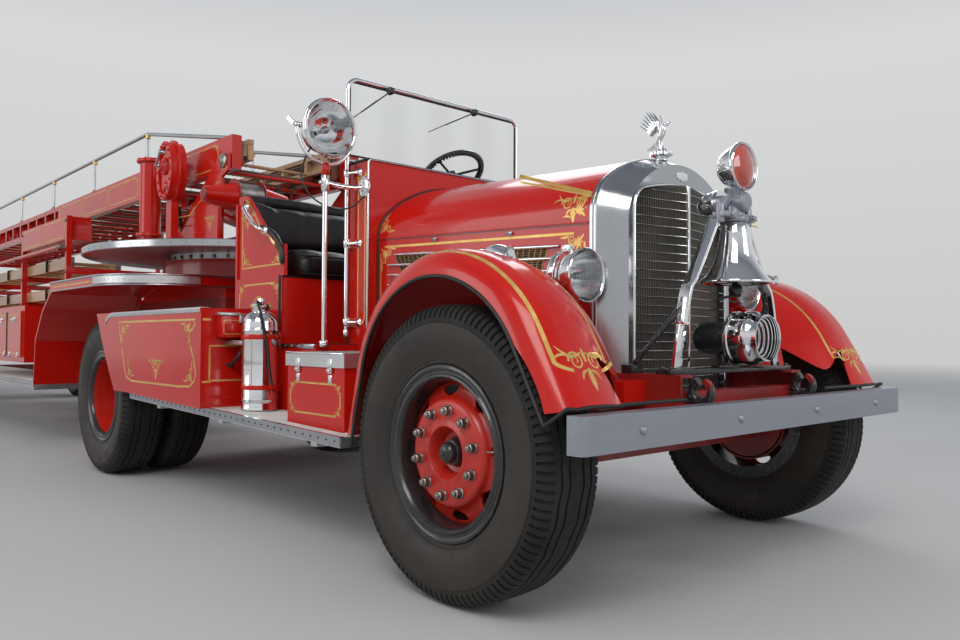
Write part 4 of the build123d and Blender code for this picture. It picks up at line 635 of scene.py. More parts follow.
def tyre(name, x, y, side, body, lugs=128, replaces=()):
    """A ribbed truck tyre: zigzag grooves round the tread and slots across its shoulders."""
    half = [(r, w, 0, 0) for r, w in SIDEWALL]
    half += [(r, w, 1 if 0 < i else 0, 0) for i, (r, w) in enumerate(SHOULDER)]
    half += [(0.4990 - 0.0030 * (w / 0.087) ** 2 - 0.0095 * groove, w, 0, 1) for w, groove in TREAD]
    inner = half[:len(SIDEWALL):3] + half[len(SIDEWALL):]
    section = half + [(r, -w, slot, zigzag) for r, w, slot, zigzag in reversed(inner)]
    rows = []
    for i, (angle, depth) in enumerate(lug_angles(lugs)):
        c, s = cos(angle), sin(angle)
        wave = 0.0032 * (abs((i % 16) / 8 - 1) * 2 - 1)
        row = []
        for r, w, slot, zigzag in section:
            if slot:
                lean = 0.0075 * depth
                r, w = r - lean * 0.55, w - copysign(lean * 0.8, w)
            elif zigzag and abs(w) < 0.085:
                w += wave
            row.append((x + r * c, y + side * w, AXLE_Z + r * s))
        rows.append(row)
    kit = Kit().grid(rows, wrap_rows=True, wrap_columns=True)
    return kit.make(name, RUBBER, body, smooth=28, replaces=replaces)


def paint_sidewall(piece, x, y):
    """Gives a tyre's sides the browner rubber."""
    piece.data.materials.append(BROWN_RUBBER)
    for polygon in piece.data.polygons:
        centre = polygon.center
        radius = hypot(centre.x - x, centre.z - AXLE_Z)
        if radius < 0.434 and abs(centre.y - y) > 0.095:
            polygon.material_index = 1


RIM_RING = [(0.238, -0.108), (0.294, -0.108), (0.294, -0.100), (0.2495, -0.098), (0.2495, 0.094),
            (0.272, 0.0975),
            (0.290, 0.0985), (0.2955, 0.103), (0.294, 0.109), (0.286, 0.1115), (0.279, 0.108),
            (0.274, 0.1035),
            (0.268, 0.104), (0.263, 0.109), (0.256, 0.110), (0.249, 0.104), (0.243, 0.090), (0.240, 0.060)]
FRONT_DISC = [(0.240, 0.034), (0.232, 0.041), (0.212, 0.050), (0.194, 0.058), (0.187, 0.068), (0.182, 0.079),
              (0.174, 0.0865),
              (0.164, 0.0895), (0.120, 0.0900), (0.101, 0.0915), (0.094, 0.0950), (0.089, 0.0945),
              (0.0855, 0.0890),
              (0.080, 0.072), (0.067, 0.046), (0.050, 0.041), (0.0335, 0.041)]
STUD_RING, HOLE_RING, DISC_THICK = 0.143, 0.2135, 0.008


def wheel_point(x, y, side, radius, angle, out):
    return Vector((x + radius * cos(angle), y + side * out, AXLE_Z + radius * sin(angle)))


def studs(name, x, y, side, body, face):
    kit, axis, size = Kit(), Y * side, 0.031
    for angle in turns(10, 0.35):
        place = wheel_point(x, y, side, STUD_RING, angle, face)
        kit.lathe(place, axis, [(0, -0.002), (size * 0.62, -0.002), (size * 0.62, 0.003),
                                (size * 0.52, 0.006), (0, 0.006)], 16)
        kit.lathe(place + axis * 0.005, axis,
                  [(0, 0), (size * 0.56, 0), (size * 0.56, 0.017), (size * 0.44, 0.021), (0, 0.021)], 6)
        kit.lathe(place + axis * 0.02, axis,
                  [(0, 0), (0.0105, 0), (0.0105, 0.011), (0.008, 0.0135), (0, 0.0135)], 12)
    return kit.make(name, STEEL, body, bevel=0.0012, segments=1)


def hand_holes(disc, x, y, side, ring, start, depth, length, half, tall, swell):
    """Cuts eight oval holes through a wheel's disc."""
    holes = Kit()
    for angle in turns(8, start):
        middle = wheel_point(x, y, side, ring, angle, depth)
        u = Vector((-sin(angle), 0, cos(angle)))
        v = u.cross(Y * side)
        oval = [(half * cos(t), tall * sin(t) + swell * cos(2 * t)) for t in turns(24)]
        holes.grid([[middle + u * a + v * b + Y * side * d for a, b in oval] for d in (0, length)],
                   wrap_columns=True, cap=True)
    cut(disc, holes)


def steered_wheel(place, name, x, side):
    body, y, axis = f"{place}_wheel_{name}", side * WHEEL_Y, Y * side
    origin = (x, y, AXLE_Z)
    rubber = tyre(f"{place}_tyre_mesh_{name}", x, y, side, body, 108 if place == "front" else 68,
                  (f"{place}_tyre_{name}",))
    paint_sidewall(rubber, x, y)
    Kit().lathe(origin, axis, RIM_RING, 96).make(f"{place}_rim_ring_{name}", BLACK, body, smooth=30)
    back = [(r, w - DISC_THICK) for r, w in reversed(FRONT_DISC)]
    disc = Kit().lathe(origin, axis, FRONT_DISC + back, 96).make(
        f"{place}_wheel_disc_{name}", WORN_RED, body, smooth=40, replaces=(f"{place}_rim_{name}",))
    hand_holes(disc, x, y, side, HOLE_RING, 0.14, -0.02, 0.12, 0.040, 0.0175, 0.004)
    Kit().lathe(origin, axis, [(0.072, -0.010), (0.198, -0.010), (0.198, -0.083), (0.205, -0.083),
                               (0.205, 0.012), (0.190, 0.018), (0.072, 0.024)],
                64).make(f"{place}_brake_drum_{name}", FRAME_RED, body)
    hub = Kit().lathe(origin, axis, [(0, -0.020), (0.052, -0.020), (0.052, 0.042), (0.047, 0.050),
                                     (0.043, 0.066), (0, 0.066)], 40)
    hub.make(f"{place}_hub_{name}", BLACK, body)
    dome = [(0.036 * cos(t * PI / 16), 0.083 + 0.024 * sin(t * PI / 16)) for t in range(9)]
    cap = Kit().lathe(origin, axis, [(0, 0.060), (0.040, 0.060), (0.040, 0.070), (0.036, 0.072), *dome], 40)
    cap.lathe(Vector(origin) + axis * 0.106, axis, [(0, 0), (0.012, 0), (0.010, 0.006), (0, 0.008)], 6)
    cap.make(f"{place}_hub_cap_{name}", BLACK, body)
    studs(f"{place}_wheel_nuts_{name}", x, y, side, body, 0.0895)
    valve = Kit().tube(soft_line([wheel_point(x, y, side, 0.225, 0.11, 0.03),
                                  wheel_point(x, y, side, 0.222, 0.11, 0.075),
                                  wheel_point(x, y, side, 0.200, 0.12, 0.088)], 5), 0.0035, 8)
    valve.make(f"{place}_valve_{name}", STEEL, body)


def twin_wheels(name, side):
    body, y, axis = f"rear_wheels_{name}", side * WHEEL_Y, Y * side
    origin = (REAR, y, AXLE_Z)
    rubber = tyre(f"rear_tyre_mesh_{name}", REAR, y, side, body, 84, (f"rear_tyres_{name}",))
    paint_sidewall(rubber, REAR, y)
    tyre(f"rear_inner_tyre_mesh_{name}", REAR, side * INNER_WHEEL_Y, side, body, 0)
    for shift, kind in ((0.0, "outer"), (-0.30, "inner")):
        flip = 1 if kind == "outer" else -1
        ring = [(r, shift + flip * w) for r, w in RIM_RING]
        Kit().lathe(origin, axis, ring, 80).make(f"rear_{kind}_rim_ring_{name}", BLACK, body, smooth=30)
    barrel = [(0.2395, -0.40), (0.2395, 0.085), (0.234, 0.088), (0.231, 0.070), (0.228, 0.0), (0.222, -0.10),
              (0.205, -0.128),
              (0.186, -0.136), (0.120, -0.138), (0.070, -0.138), (0.070, -0.150), (0.205, -0.150),
              (0.228, -0.175), (0.232, -0.40)]
    dish = Kit().lathe(origin, axis, barrel, 80).make(f"rear_wheel_disc_{name}", WORN_RED, body, smooth=40,
                                                      replaces=(f"rear_rims_{name}",))
    hand_holes(dish, REAR, y, side, 0.192, 0.3, -0.17, 0.06, 0.030, 0.015, 0.0)
    hub = [(0, -0.35), (0.105, -0.35), (0.105, -0.16), (0.085, -0.135), (0.080, -0.075), (0.074, -0.060),
           (0.066, -0.056),
           (0.060, -0.030), (0.045, -0.020), (0, -0.018)]
    Kit().lathe(origin, axis, hub, 48).make(f"rear_hub_{name}", WORN_RED, body)
    bolts = Kit()
    for angle in turns(8):
        bolts.bolt(wheel_point(REAR, y, side, 0.072, angle, -0.0575), axis, 0.013)
    bolts.make(f"rear_hub_bolts_{name}", STEEL, body)
    Kit().lathe(origin, axis, [(0.196, -0.355), (0.205, -0.355), (0.205, -0.27), (0.06, -0.27), (0.06, -0.28),
                               (0.196, -0.28)],
                48).make(f"rear_brake_drum_{name}", FRAME_RED, body)
    studs(f"rear_wheel_nuts_{name}", REAR, y, side, body, -0.137)


for hand, s in SIDES.items():
    steered_wheel("front", hand, FRONT, s)
    steered_wheel("trailer", hand, TRAILER, s)
    twin_wheels(hand, s)


# Front bumper: bolts in its face

BUMPER_X, BUMPER_Z = 0.6405, 0.615
with_bolts = Kit()
for y in (-0.83, -0.28, 0.28, 0.83):
    with_bolts.bolt(F(BUMPER_X, y, BUMPER_Z), X, 0.030, 0.010, dome=True)
with_bolts.make("bumper_bolts", GREY)
dress("front_bumper", GREY)


# Front fenders

def crown_line(inset=0.0, n=22):
    """The fender's crown from its rear end to its front end, as (x, z, outward x, outward z), from the front axle."""
    line_points = []
    for radius, sweep, tail, way in ((0.512, 76.5, 0.308, -1), (0.553, 60.9, 0.261, 1)):
        part = []
        for i in range(n + 1):
            angle = radians(sweep * i / n)
            nx, nz = way * sin(angle), cos(angle)
            part.append((-0.04 + (radius - inset) * nx, 1.192 - radius + (radius - inset) * nz, nx, nz))
        x, z, nx, nz = part[-1]
        for i in range(1, 9):
            part.append((x + way * nz * tail * i / 8, z - way * nx * tail * i / 8, nx, nz))
        line_points.append(part)
    return list(reversed(line_points[0]))[:-1] + line_points[1]


CROWN = crown_line()


def fender_lay(side):
    """Lays (distance along the crown from its rear end, distance from the middle line) on the fender's outside."""
    tree = surface_of(nodes["front_fenders"])
    runs = [0.0]
    for (x0, z0, _, _), (x1, z1, _, _) in zip(CROWN, CROWN[1:]):
        runs.append(runs[-1] + hypot(x1 - x0, z1 - z0))

    def lay(s, y):
        for i in range(len(runs) - 1):
            if s <= runs[i + 1] or i == len(runs) - 2:
                t = (s - runs[i]) / (runs[i + 1] - runs[i])
                x, z, nx, nz = [a + (b - a) * t for a, b in zip(CROWN[i], CROWN[i + 1])]
                break
        out = Vector((nx, 0, nz)).normalized()
        flat = F(x, side * y, z)
        hit, normal, _, _ = tree.ray_cast(flat + out * 0.2, -out, 0.7)
        if not hit:
            return flat, out
        return hit, normal if normal.dot(out) > 0 else -normal
    return lay, runs[-1]


def ribbon(kit, strokes, lay, lift=0.0007):
    """Thin raised strokes on a surface; lay turns (a, b) into a point and its normal."""
    for stroke, closed in strokes:
        rows, count = [], len(stroke)
        for i, (a, b, width) in enumerate(stroke):
            a0, b0, _ = stroke[i - 1] if (i or closed) else stroke[i]
            a1, b1, _ = stroke[(i + 1) % count] if (i < count - 1 or closed) else stroke[i]
            run = hypot(a1 - a0, b1 - b0) or 1.0
            na, nb = -(b1 - b0) / run * width / 2, (a1 - a0) / run * width / 2
            (p, out), (q, out_q) = lay(a + na, b + nb), lay(a - na, b - nb)
            rows.append([p - out * 0.0006, p + out * lift, q + out_q * lift, q - out_q * 0.0006])
        kit.grid(rows, wrap_rows=closed, wrap_columns=True, cap=not closed)
    return kit


def bead_of_fender(name, side):
    """Black beading round the fender's open lip and along its front end."""
    lay, total = fender_lay(side)
    lip = [F(x, side * 1.0895, z) for x, z, _, _ in crown_line(inset=0.100, n=30)]
    kit = Kit().tube(lip, 0.0065, 10)
    end = [lay(total - 0.006, 1.085 - 0.585 * i / 24)[0] for i in range(25)]
    kit.tube([lip[-1], *end], 0.0062, 8)
    kit.make(f"fender_beading_{name}", BEAD, smooth=60)


for hand, s in SIDES.items():
    bead_of_fender(hand, s)


# Radiator: shell trim, dark core, fine bars in a V, centre bar and plain badge

def opening_top(y):
    """Height of the arched opening's edge at a distance from its middle."""
    half, spring, top, corner = 0.315, 1.38, 1.50, 0.09
    across, rise = half - corner, top - spring
    crown = (across ** 2 + rise ** 2 - corner ** 2) / (2 * (rise - corner))
    y = min(abs(y), half - 1e-6)
    if y < across * crown / (crown - corner):
        return top - crown + sqrt(crown ** 2 - y ** 2)
    return spring + sqrt(max(corner ** 2 - (y - across) ** 2, 0))


def prow(y):
    """How far forward the grille's bars stand at y."""
    return 0.246 - 0.056 * abs(y) / 0.315


bars, wires = Kit(), Kit()
BARS = 34
for i in range(-BARS, BARS + 1):
    y = i * 0.3105 / BARS
    if i:
        bars.box(F(prow(y) - 0.008, y - 0.0013, 0.642), F(prow(y), y + 0.0013, opening_top(y) - 0.002))
z = 0.665
while z < 1.485:
    reach = 0.312
    while opening_top(reach) - 0.003 < z:
        reach -= 0.004
    wires.tube([F(prow(reach) + 0.0022, -reach, z), F(prow(0) + 0.0022, 0, z),
                F(prow(reach) + 0.0022, reach, z)], 0.0019, 6)
    z += 0.0348
bars.make("grille_bars", GRILLE_BAR, replaces=("grille",))
wires.make("grille_wires", NICKEL)
core = Kit().box(F(0.098, -0.314, 0.642), F(0.120, 0.314, 1.46))
core.make("radiator_core", IRON)
middle = Kit().box(F(0.235, -0.0075, 0.641), F(0.2545, 0.0075, 1.498))
middle.make("grille_centre_bar", CHROME, bevel=0.003)
edge = [F(0.2195, -0.3155, 0.642),
        *[F(0.2195, y, opening_top(y)) for y in [-0.3145 + 0.629 * i / 60 for i in range(61)]],
        F(0.2195, 0.3155, 0.642)]
Kit().tube(edge, 0.0058, 10).make("opening_bead", CHROME, smooth=60)
shell_tree = surface_of(nodes["radiator_shell"])
seam = []
for i in range(61):
    angle = PI * i / 60
    ray = Vector((0, cos(angle), sin(angle)))
    hit = under(shell_tree, F(0.105, 0, 1.2) + ray * 0.9, -ray, 0.9)
    if hit:
        seam.append(hit)
seam = [F(0.105, seam[0].y, 0.80), *seam, F(0.105, seam[-1].y, 0.80)]
for shift, radius, label in ((0.0, 0.0035, "rear"), (0.016, 0.0028, "front")):
    Kit().tube([p + X * shift for p in seam], radius, 8).make(f"shell_bead_{label}", NICKEL, smooth=60)
plate = [(-0.036, 0.010), (-0.026, 0.017), (-0.012, 0.0155), (0, 0.024), (0.012, 0.0155), (0.026, 0.017),
         (0.036, 0.010),
         (0.036, -0.010), (0.026, -0.017), (0.012, -0.0155), (0, -0.024), (-0.012, -0.0155), (-0.026, -0.017),
         (-0.036, -0.010)]
hit, normal, _, _ = shell_tree.ray_cast(F(0.6, 0, 1.541), -X, 1.0)
tilt = normal.cross(Y).normalized()
Kit().prism(plate, hit - normal * 0.001, Y, -tilt if tilt.z < 0 else tilt, 0.0035).make(
    "plain_badge", CHROME, bevel=0.0008)


# Filler cap with a bird

cap_place = F(0.12, 0, 1.6203)
figure = Kit().lathe(cap_place, Z,
                     [(0, 0), (0.026, 0), (0.0255, 0.010), (0.030, 0.014), (0.043, 0.019), (0.0455, 0.024),
                                    (0.0455, 0.030), (0.042, 0.035), (0.028, 0.038), (0.023, 0.046),
                                    (0.013, 0.050),
                                    (0.0105, 0.062), (0, 0.064)], 40)
for i in range(20):
    angle = 2 * PI * i / 20
    figure.box(cap_place + Vector((0.0445 * cos(angle) - 0.0022, 0.0445 * sin(angle) - 0.0022, 0.0205)),
               cap_place + Vector((0.0445 * cos(angle) + 0.0022, 0.0445 * sin(angle) + 0.0022, 0.0335)))
spine = soft_line([F(0.088, 0, 1.672), F(0.100, 0, 1.697), F(0.116, 0, 1.722), F(0.126, 0, 1.745),
                   F(0.133, 0, 1.762),
                   F(0.142, 0, 1.772)], 5)
girth = [0.004, 0.008, 0.0145, 0.0165, 0.0115, 0.0085]
figure.tube(spine,
            lambda t: girth[min(int(t * 5), 4)] + (girth[min(int(t * 5), 4) + 1] - girth[min(int(t * 5), 4)])
            * (t * 5 - min(int(t * 5), 4)), 14)
figure.lathe(F(0.136, 0, 1.768), (1, 0, 0.25),
             [(0, 0), (0.0085, 0.002), (0.0105, 0.009), (0.0085, 0.016), (0.004, 0.021),
                                               (0.0028, 0.029), (0, 0.033)], 16)
for s in (-1, 1):
    for k in range(7):
        angle = radians(84 - 7.5 * k)
        span = 0.094 - 0.006 * abs(k - 2)
        root = F(0.112 - 0.004 * k, s * (0.010 + 0.001 * k), 1.742 - 0.0035 * k)
        tip_dir = Vector((-0.22 - 0.03 * k, s * cos(angle) * 0.80, sin(angle))).normalized()
        wide = tip_dir.cross(X * 0.9 + Y * 0.2 * s).normalized()
        outline = []
        for i in range(9):
            t = i / 8
            bow = Vector((0.012 * sin(PI * t), s * 0.010 * t * t, 0))
            outline.append((root + tip_dir * span * t + bow,
                            0.0085 * (1 - 0.72 * t ** 3) * (0.75 + 0.4 * sin(PI * t))))
        thick = tip_dir.cross(wide).normalized() * 0.0016
        figure.grid([[p + wide * w, p + thick, p - wide * w, p - thick] for p, w in outline],
                    wrap_columns=True, cap=True)
    for k in range(3):
        root = F(0.098, s * 0.003 * k, 1.698)
        tip = F(0.072 - 0.004 * k, s * (0.004 + 0.008 * k), 1.668)
        figure.tube([root, (root + tip) / 2, tip], lambda t: 0.0045 * (1 - 0.4 * t), 8)
    figure.tube([F(0.114, s * 0.006, 1.706), F(0.118, s * 0.009, 1.686), F(0.122, s * 0.010, 1.668)], 0.004,
                8)
figure.make("hood_bird", CHROME, smooth=55, replaces=("hood_figure",))


# Lamps

def bowl_lamp(name, centre, axis, radius, depth, body, lens_look, parts_of=()):
    """A bowl lamp: shell with a rolled ring, a reflector, a bulb and a domed lens."""
    axis, centre = Vector(axis).normalized(), Vector(centre)
    k = radius
    shell = [(0, -depth), (0.22 * k, -depth * 0.985), (0.50 * k, -depth * 0.90), (0.74 * k, -depth * 0.70),
             (0.90 * k, -depth * 0.42),
             (0.97 * k, -depth * 0.18), (0.985 * k, -0.012), (1.045 * k, -0.010), (1.075 * k, -0.003),
             (1.07 * k, 0.005),
             (1.03 * k, 0.010), (0.985 * k, 0.008), (0.955 * k, 0.002), (0.94 * k, -0.006),
             (0.93 * k, -0.010),
             (0.88 * k, -depth * 0.28), (0.72 * k, -depth * 0.52), (0.45 * k, -depth * 0.70),
             (0.15 * k, -depth * 0.76), (0, -depth * 0.76)]
    Kit().lathe(centre, axis, shell, 64).make(f"{name}_shell", CHROME, body, smooth=50, replaces=parts_of)
    lens = [(0, 0.26 * k), (0.25 * k, 0.245 * k), (0.5 * k, 0.20 * k), (0.72 * k, 0.13 * k),
            (0.88 * k, 0.055 * k),
            (0.95 * k, 0.004), (0.945 * k, -0.002), (0.86 * k, 0.03 * k), (0.70 * k, 0.10 * k),
            (0.5 * k, 0.165 * k),
            (0.25 * k, 0.21 * k), (0, 0.225 * k)]
    Kit().lathe(centre, axis, lens, 64).make(f"{name}_lens", lens_look, body, slot="clear_glass", smooth=60)
    bulb = [(0, -depth * 0.72), (0.08 * k, -depth * 0.72), (0.08 * k, -depth * 0.52),
            (0.14 * k, -depth * 0.42),
            (0.15 * k, -depth * 0.30), (0.10 * k, -depth * 0.20), (0, -depth * 0.17)]
    Kit().lathe(centre, axis, bulb, 20).make(f"{name}_bulb", NICKEL, body, slot="chrome", smooth=60)


LAMP_X, LAMP_Y, LAMP_Z = 0.19, 0.56, 1.112
SPOT_Y, SPOT_Z = -0.77, 1.87
MARKER_Y = 0.90
bowl_lamp("headlamp_right", F(LAMP_X, -LAMP_Y, LAMP_Z), X, 0.094, 0.150, "tractor", LENS, ("lamps",))
bowl_lamp("headlamp_left", F(LAMP_X, LAMP_Y, LAMP_Z), X, 0.094, 0.150, "tractor", LENS)
bowl_lamp("spot_lamp", F(-1.19, SPOT_Y, SPOT_Z), X, 0.130, 0.170, "tractor", CLEAR)
fender_tree = surface_of(nodes["front_fenders"])
for hand, s in SIDES.items():
    y = s * LAMP_Y
    mount = Kit()
    ring = [F(LAMP_X - 0.088, y + 0.0955 * cos(a * PI / 24), LAMP_Z + 0.0955 * sin(a * PI / 24))
            for a in range(-2, 27)]
    mount.tube(ring, 0.012, section=[(-0.25, -1.2), (0.25, -1.2), (0.25, 1.2), (-0.25, 1.2)])
    mount.box(F(0.085, y - 0.016, 1.200), F(0.121, y + 0.016, 1.226))
    mount.bolt(F(0.103, y - 0.016, 1.214), -Y, 0.014)
    mount.bolt(F(0.103, y + 0.016, 1.214), Y, 0.014)
    mount.make(f"headlamp_strap_{hand}", CHROME, bevel=0.002)
    hit = under(fender_tree, F(0.10, y, 1.05), -Z, 0.5)
    foot_z = hit.z if hit else 0.95
    foot = Kit().lathe((FRONT + 0.10, y, foot_z - 0.012), Z,
                       [(0, 0), (0.045, 0), (0.043, 0.020), (0.026, 0.034), (0.021, 0.055),
                                                             (0.024, 1.030 - foot_z), (0.034, 1.045 - foot_z),
                                                             (0, 1.045 - foot_z)], 24)
    foot.make(f"headlamp_foot_{hand}", RED, smooth=45)
    hit = under(fender_tree, F(0.085, s * MARKER_Y, 1.4), -Z, 0.6)
    z = hit.z - 0.004
    marker, rows = Kit(), []
    for i in range(13):
        t = i / 12
        x = 0.024 + 0.126 * t
        hit = under(fender_tree, F(x, s * MARKER_Y, 1.4), -Z, 0.6)
        size = 0.030 * sin(PI * (0.08 + 0.60 * t)) ** 0.8
        base = hit.z - 0.006
        rows.append([F(x, s * MARKER_Y + size * cos(a * PI / 8), base + 1.25 * size * max(sin(a * PI / 8), 0))
                     for a in range(9)])
    marker.grid(rows, wrap_columns=True, cap=True)
    marker.make(f"marker_lamp_{hand}", CHROME, smooth=60)
    hit = under(fender_tree, F(0.152, s * MARKER_Y, 1.4), -Z, 0.6)
    lens = Kit().lathe((FRONT + 0.149, s * MARKER_Y, hit.z + 0.018), X,
                       [(0, 0.012), (0.012, 0.010), (0.0195, 0.003), (0.022, -0.004), (0.020, -0.006),
                        (0, -0.006)], 28)
    lens.make(f"marker_lens_{hand}", LENS, smooth=60)


# Bell, its A-frame, the warning lamp and the siren

BX = 0.455
bell_outer = [(0.0, 1.3295), (0.036, 1.3295), (0.047, 1.325), (0.0535, 1.312), (0.058, 1.283), (0.065, 1.245),
              (0.073, 1.210),
              (0.083, 1.178), (0.100, 1.147), (0.121, 1.1175), (0.1335, 1.105), (0.1355, 1.099),
              (0.133, 1.0955), (0.126, 1.0955)]
bell_inner = [(0.112, 1.116), (0.092, 1.146), (0.075, 1.178), (0.065, 1.210), (0.057, 1.245), (0.050, 1.283),
              (0.043, 1.308), (0, 1.312)]
Kit().lathe(F(BX, 0, 0), Z, bell_outer + bell_inner, 72).make("bell_mesh", CHROME, smooth=60,
                                                              replaces=("bell",))
clapper = Kit().rod(F(BX, 0, 1.312), F(BX, 0.004, 1.105), 0.006, 10)
clapper.lathe(F(BX, 0.004, 1.048), Z, [(0, 0), (0.014, 0.002), (0.024, 0.012), (0.027, 0.026), (0.022, 0.041),
                                       (0.010, 0.052), (0, 0.060)], 24)
clapper.tube([F(BX - 0.060, -0.030, 1.035), F(BX - 0.03, -0.012, 1.046), F(BX, 0.004, 1.050),
              F(BX + 0.02, 0.01, 1.052)], 0.005, 8)
clapper.make("bell_clapper", BLACK, smooth=50)
stand, braces = Kit(), Kit()
SX = BX - 0.025
for s in (-1, 1):
    foot, knee, top = F(SX, s * 0.352, 0.778), F(SX, s * 0.300, 1.030), F(SX, s * 0.098, 1.345)
    part = foot.lerp(knee, 0.62)
    stand.bar(foot, part, 0.046, 0.014, up=X)
    bend = soft_line([part, foot.lerp(knee, 0.93), knee + Vector((0, -s * 0.018, 0.045)),
                      knee.lerp(top, 0.30), top], 7)
    stand.tube(bend, 0.0232, section=[(-0.3, -1), (0.3, -1), (0.3, 1), (-0.3, 1)])
    stand.bolt(top + Vector((0.010, 0, -0.03)), X, 0.016)
    rail_foot = F(0.268, s * 0.3925, 0.786)
    for lift in (0.0, 0.034):
        braces.rod(F(SX - 0.006, s * (0.305 - lift * 0.4), 1.000 + lift),
                   rail_foot + Vector((lift * 0.6, 0, lift * 0.3)), 0.0085, 10)
stand.make("bell_stand_upper", CHROME, bevel=0.0025, smooth=45, replaces=("signal_stand",))
braces.make("bell_stand_braces", BLACK, bevel=0.002)
base = Kit().box(F(SX - 0.030, -0.430, 0.7602), F(SX + 0.030, 0.430, 0.778))
base.box(F(SX - 0.02, -0.055, 0.777), F(SX + 0.045, 0.055, 0.796))
for s in (-1, 1):
    base.box(F(0.246, s * 0.358, 0.7602), F(0.292, s * 0.428, 0.790))
    for x in (SX - 0.018, SX + 0.018):
        base.bolt(F(x, s * 0.41, 0.778), Z, 0.016)
base.make("signal_base", BLACK, bevel=0.002)
yoke = Kit()
yoke.lathe(F(BX, 0, 0), Z, [(0, 1.3298), (0.046, 1.3298), (0.050, 1.336), (0.050, 1.346), (0.038, 1.352),
                            (0.034, 1.372), (0.033, 1.44),
                            (0.040, 1.452), (0.040, 1.462), (0, 1.462)], 28)
yoke.bar(F(BX, -0.112, 1.352), F(BX, 0.112, 1.352), 0.060, 0.020, up=Z)
for s in (-1, 1):
    yoke.rod(F(BX - 0.005, s * 0.098, 1.322), F(BX - 0.005, s * 0.098, 1.394), 0.0175, 18, edge=0.003)
    yoke.bar(F(BX, s * 0.085, 1.385), F(BX, s * 0.020, 1.440), 0.030, 0.016, up=X)
    yoke.bolt(F(BX + 0.03, s * 0.075, 1.352), X, 0.018)
yoke.rod(F(BX - 0.095, 0, 1.405), F(BX + 0.055, 0, 1.405), 0.036, 24, edge=0.006)
yoke.make("bell_yoke", GREY, bevel=0.003, smooth=45)
dome = [(0, 0.094), (0.018, 0.091), (0.036, 0.080), (0.048, 0.062), (0.054, 0.038), (0.055, 0.014),
        (0.058, 0.010), (0.058, 0.0), (0, 0)]
Kit().lathe(F(BX - 0.062, 0, 1.405), (-1, 0, 0), dome, 40).make("rear_dome", CHROME, smooth=60)
bowl_lamp("warning_lamp", F(0.49, 0, 1.54), X, 0.0865, 0.100, "tractor", RED_GLASS)
Kit().rod(F(0.462, 0, 1.458), F(0.470, 0, 1.484), 0.015, 16).make("warning_lamp_stem", CHROME)

siren = Kit()
SZ, S0 = 0.89, 0.290
siren.lathe(F(S0, 0, SZ), X, [(0, 0), (0.030, 0.001), (0.046, 0.008), (0.058, 0.022), (0.0625, 0.045),
                              (0.0625, 0.150), (0.066, 0.152),
                              (0.066, 0.160), (0, 0.160)], 48)
siren.make("siren_motor", BLACK, smooth=50)
drum = Kit().lathe(F(S0, 0, SZ), X, [(0, 0.158), (0.070, 0.158), (0.096, 0.164), (0.1005, 0.172),
                                     (0.1005, 0.182), (0.0955, 0.186),
                                     (0.0955, 0.218), (0.1005, 0.222), (0.1005, 0.246), (0.097, 0.262),
                                     (0.0885, 0.274), (0.0885, 0.284),
                                     (0.0865, 0.296), (0.0815, 0.296), (0.0815, 0.268), (0, 0.268)], 72)
drum.make("siren_drum", CHROME, smooth=45)
# Painted shade: thin dark plates on the drum stand for the shaded insides of its slots.
slot_shades = Kit()
for i in range(16):
    angle = 2 * PI * (i + 0.5) / 16
    place = F(S0 + 0.202, 0.0955 * cos(angle), SZ + 0.0955 * sin(angle))
    u = Vector((0, -sin(angle), cos(angle)))
    slot_shades.prism([(-0.0105, -0.011), (0.0105, -0.011), (0.0105, 0.011), (-0.0105, 0.011)], place, u, X, 0.0012)
slot_shades.make("siren_slot_shades", IRON, bevel=0.001)
# Painted shade: a dark disc over the drum's front face, behind the fins, stands for the shaded inside of its mouth.
face = Kit()
face.lathe(F(S0, 0, SZ), X, [(0, 0.266), (0.080, 0.266), (0.080, 0.270), (0, 0.270)], 48)
face.make("siren_throat_shade", IRON)
fins = Kit()
for i in range(-5, 6):
    y = i * 0.0142
    tall = sqrt(max(0.0815 ** 2 - y ** 2, 0)) - 0.001
    fins.tube([F(S0 + 0.290 + 0.040 * (1 - (y / 0.083) ** 2) * cos(a * PI / 16) , y,
                 SZ + tall * sin(a * PI / 16))
               for a in range(-8, 9)], 0.0042,
               section=[(-0.55, -1.3), (0.55, -1.3), (0.55, 1.3), (-0.55, 1.3)])
fins.make("siren_fins", CHROME, smooth=50)
foot = Kit().box(F(S0 + 0.10, -0.038, 0.7785), F(S0 + 0.30, 0.038, 0.786))
foot.lathe(F(S0 + 0.115, 0, 0.785), Z, [(0, 0), (0.022, 0), (0.018, 0.045), (0, 0.045)], 20)
foot.bar(F(S0 + 0.150, -0.115, 0.783), F(S0 + 0.245, 0.115, 0.783), 0.05, 0.008)
foot.make("siren_foot", BLACK, bevel=0.002)
hooks = Kit()
for s in (-1, 1):
    ring = arc(F(0.545, s * 0.370, 0.705), 0.0365, 108, 394, 26)
    hooks.tube(ring, lambda t: 0.0155 - 0.004 * max(t - 0.85, 0) / 0.15, 12)
    hooks.rod(F(0.47, s * 0.370, 0.665), F(0.545, s * 0.370, 0.672), 0.017, 12)
    hooks.bolt(F(0.505, s * 0.370, 0.683), Z, 0.030)
hooks.make("tow_hooks", BLACK, smooth=50)


# Gold striping and trim on the fenders, hood and cab

def layer(target, origin, u, v, reach=0.5):
    """Turns (along u, along v) into the point of a CAD node that lies under it, and its normal."""
    origin, u, v = Vector(origin), Vector(u).normalized(), Vector(v).normalized()
    normal = u.cross(v).normalized()
    tree = surface_of(nodes[target])

    def lay(a, b):
        flat = origin + u * a + v * b
        hit, out, _, _ = tree.ray_cast(flat + normal * reach, -normal, 2 * reach)
        if not hit:
            return flat, normal
        return hit, out if out.dot(normal) > 0 else -out
    return lay


def side_layer(target, side, y=0.8, reach=0.5):
    """Lays (distance ahead of the front axle, height) on a node's outer side."""
    lay = layer(target, F(0, side * y, 0), X * -side, Z, reach)
    return lambda a, b: lay(-side * a, b)


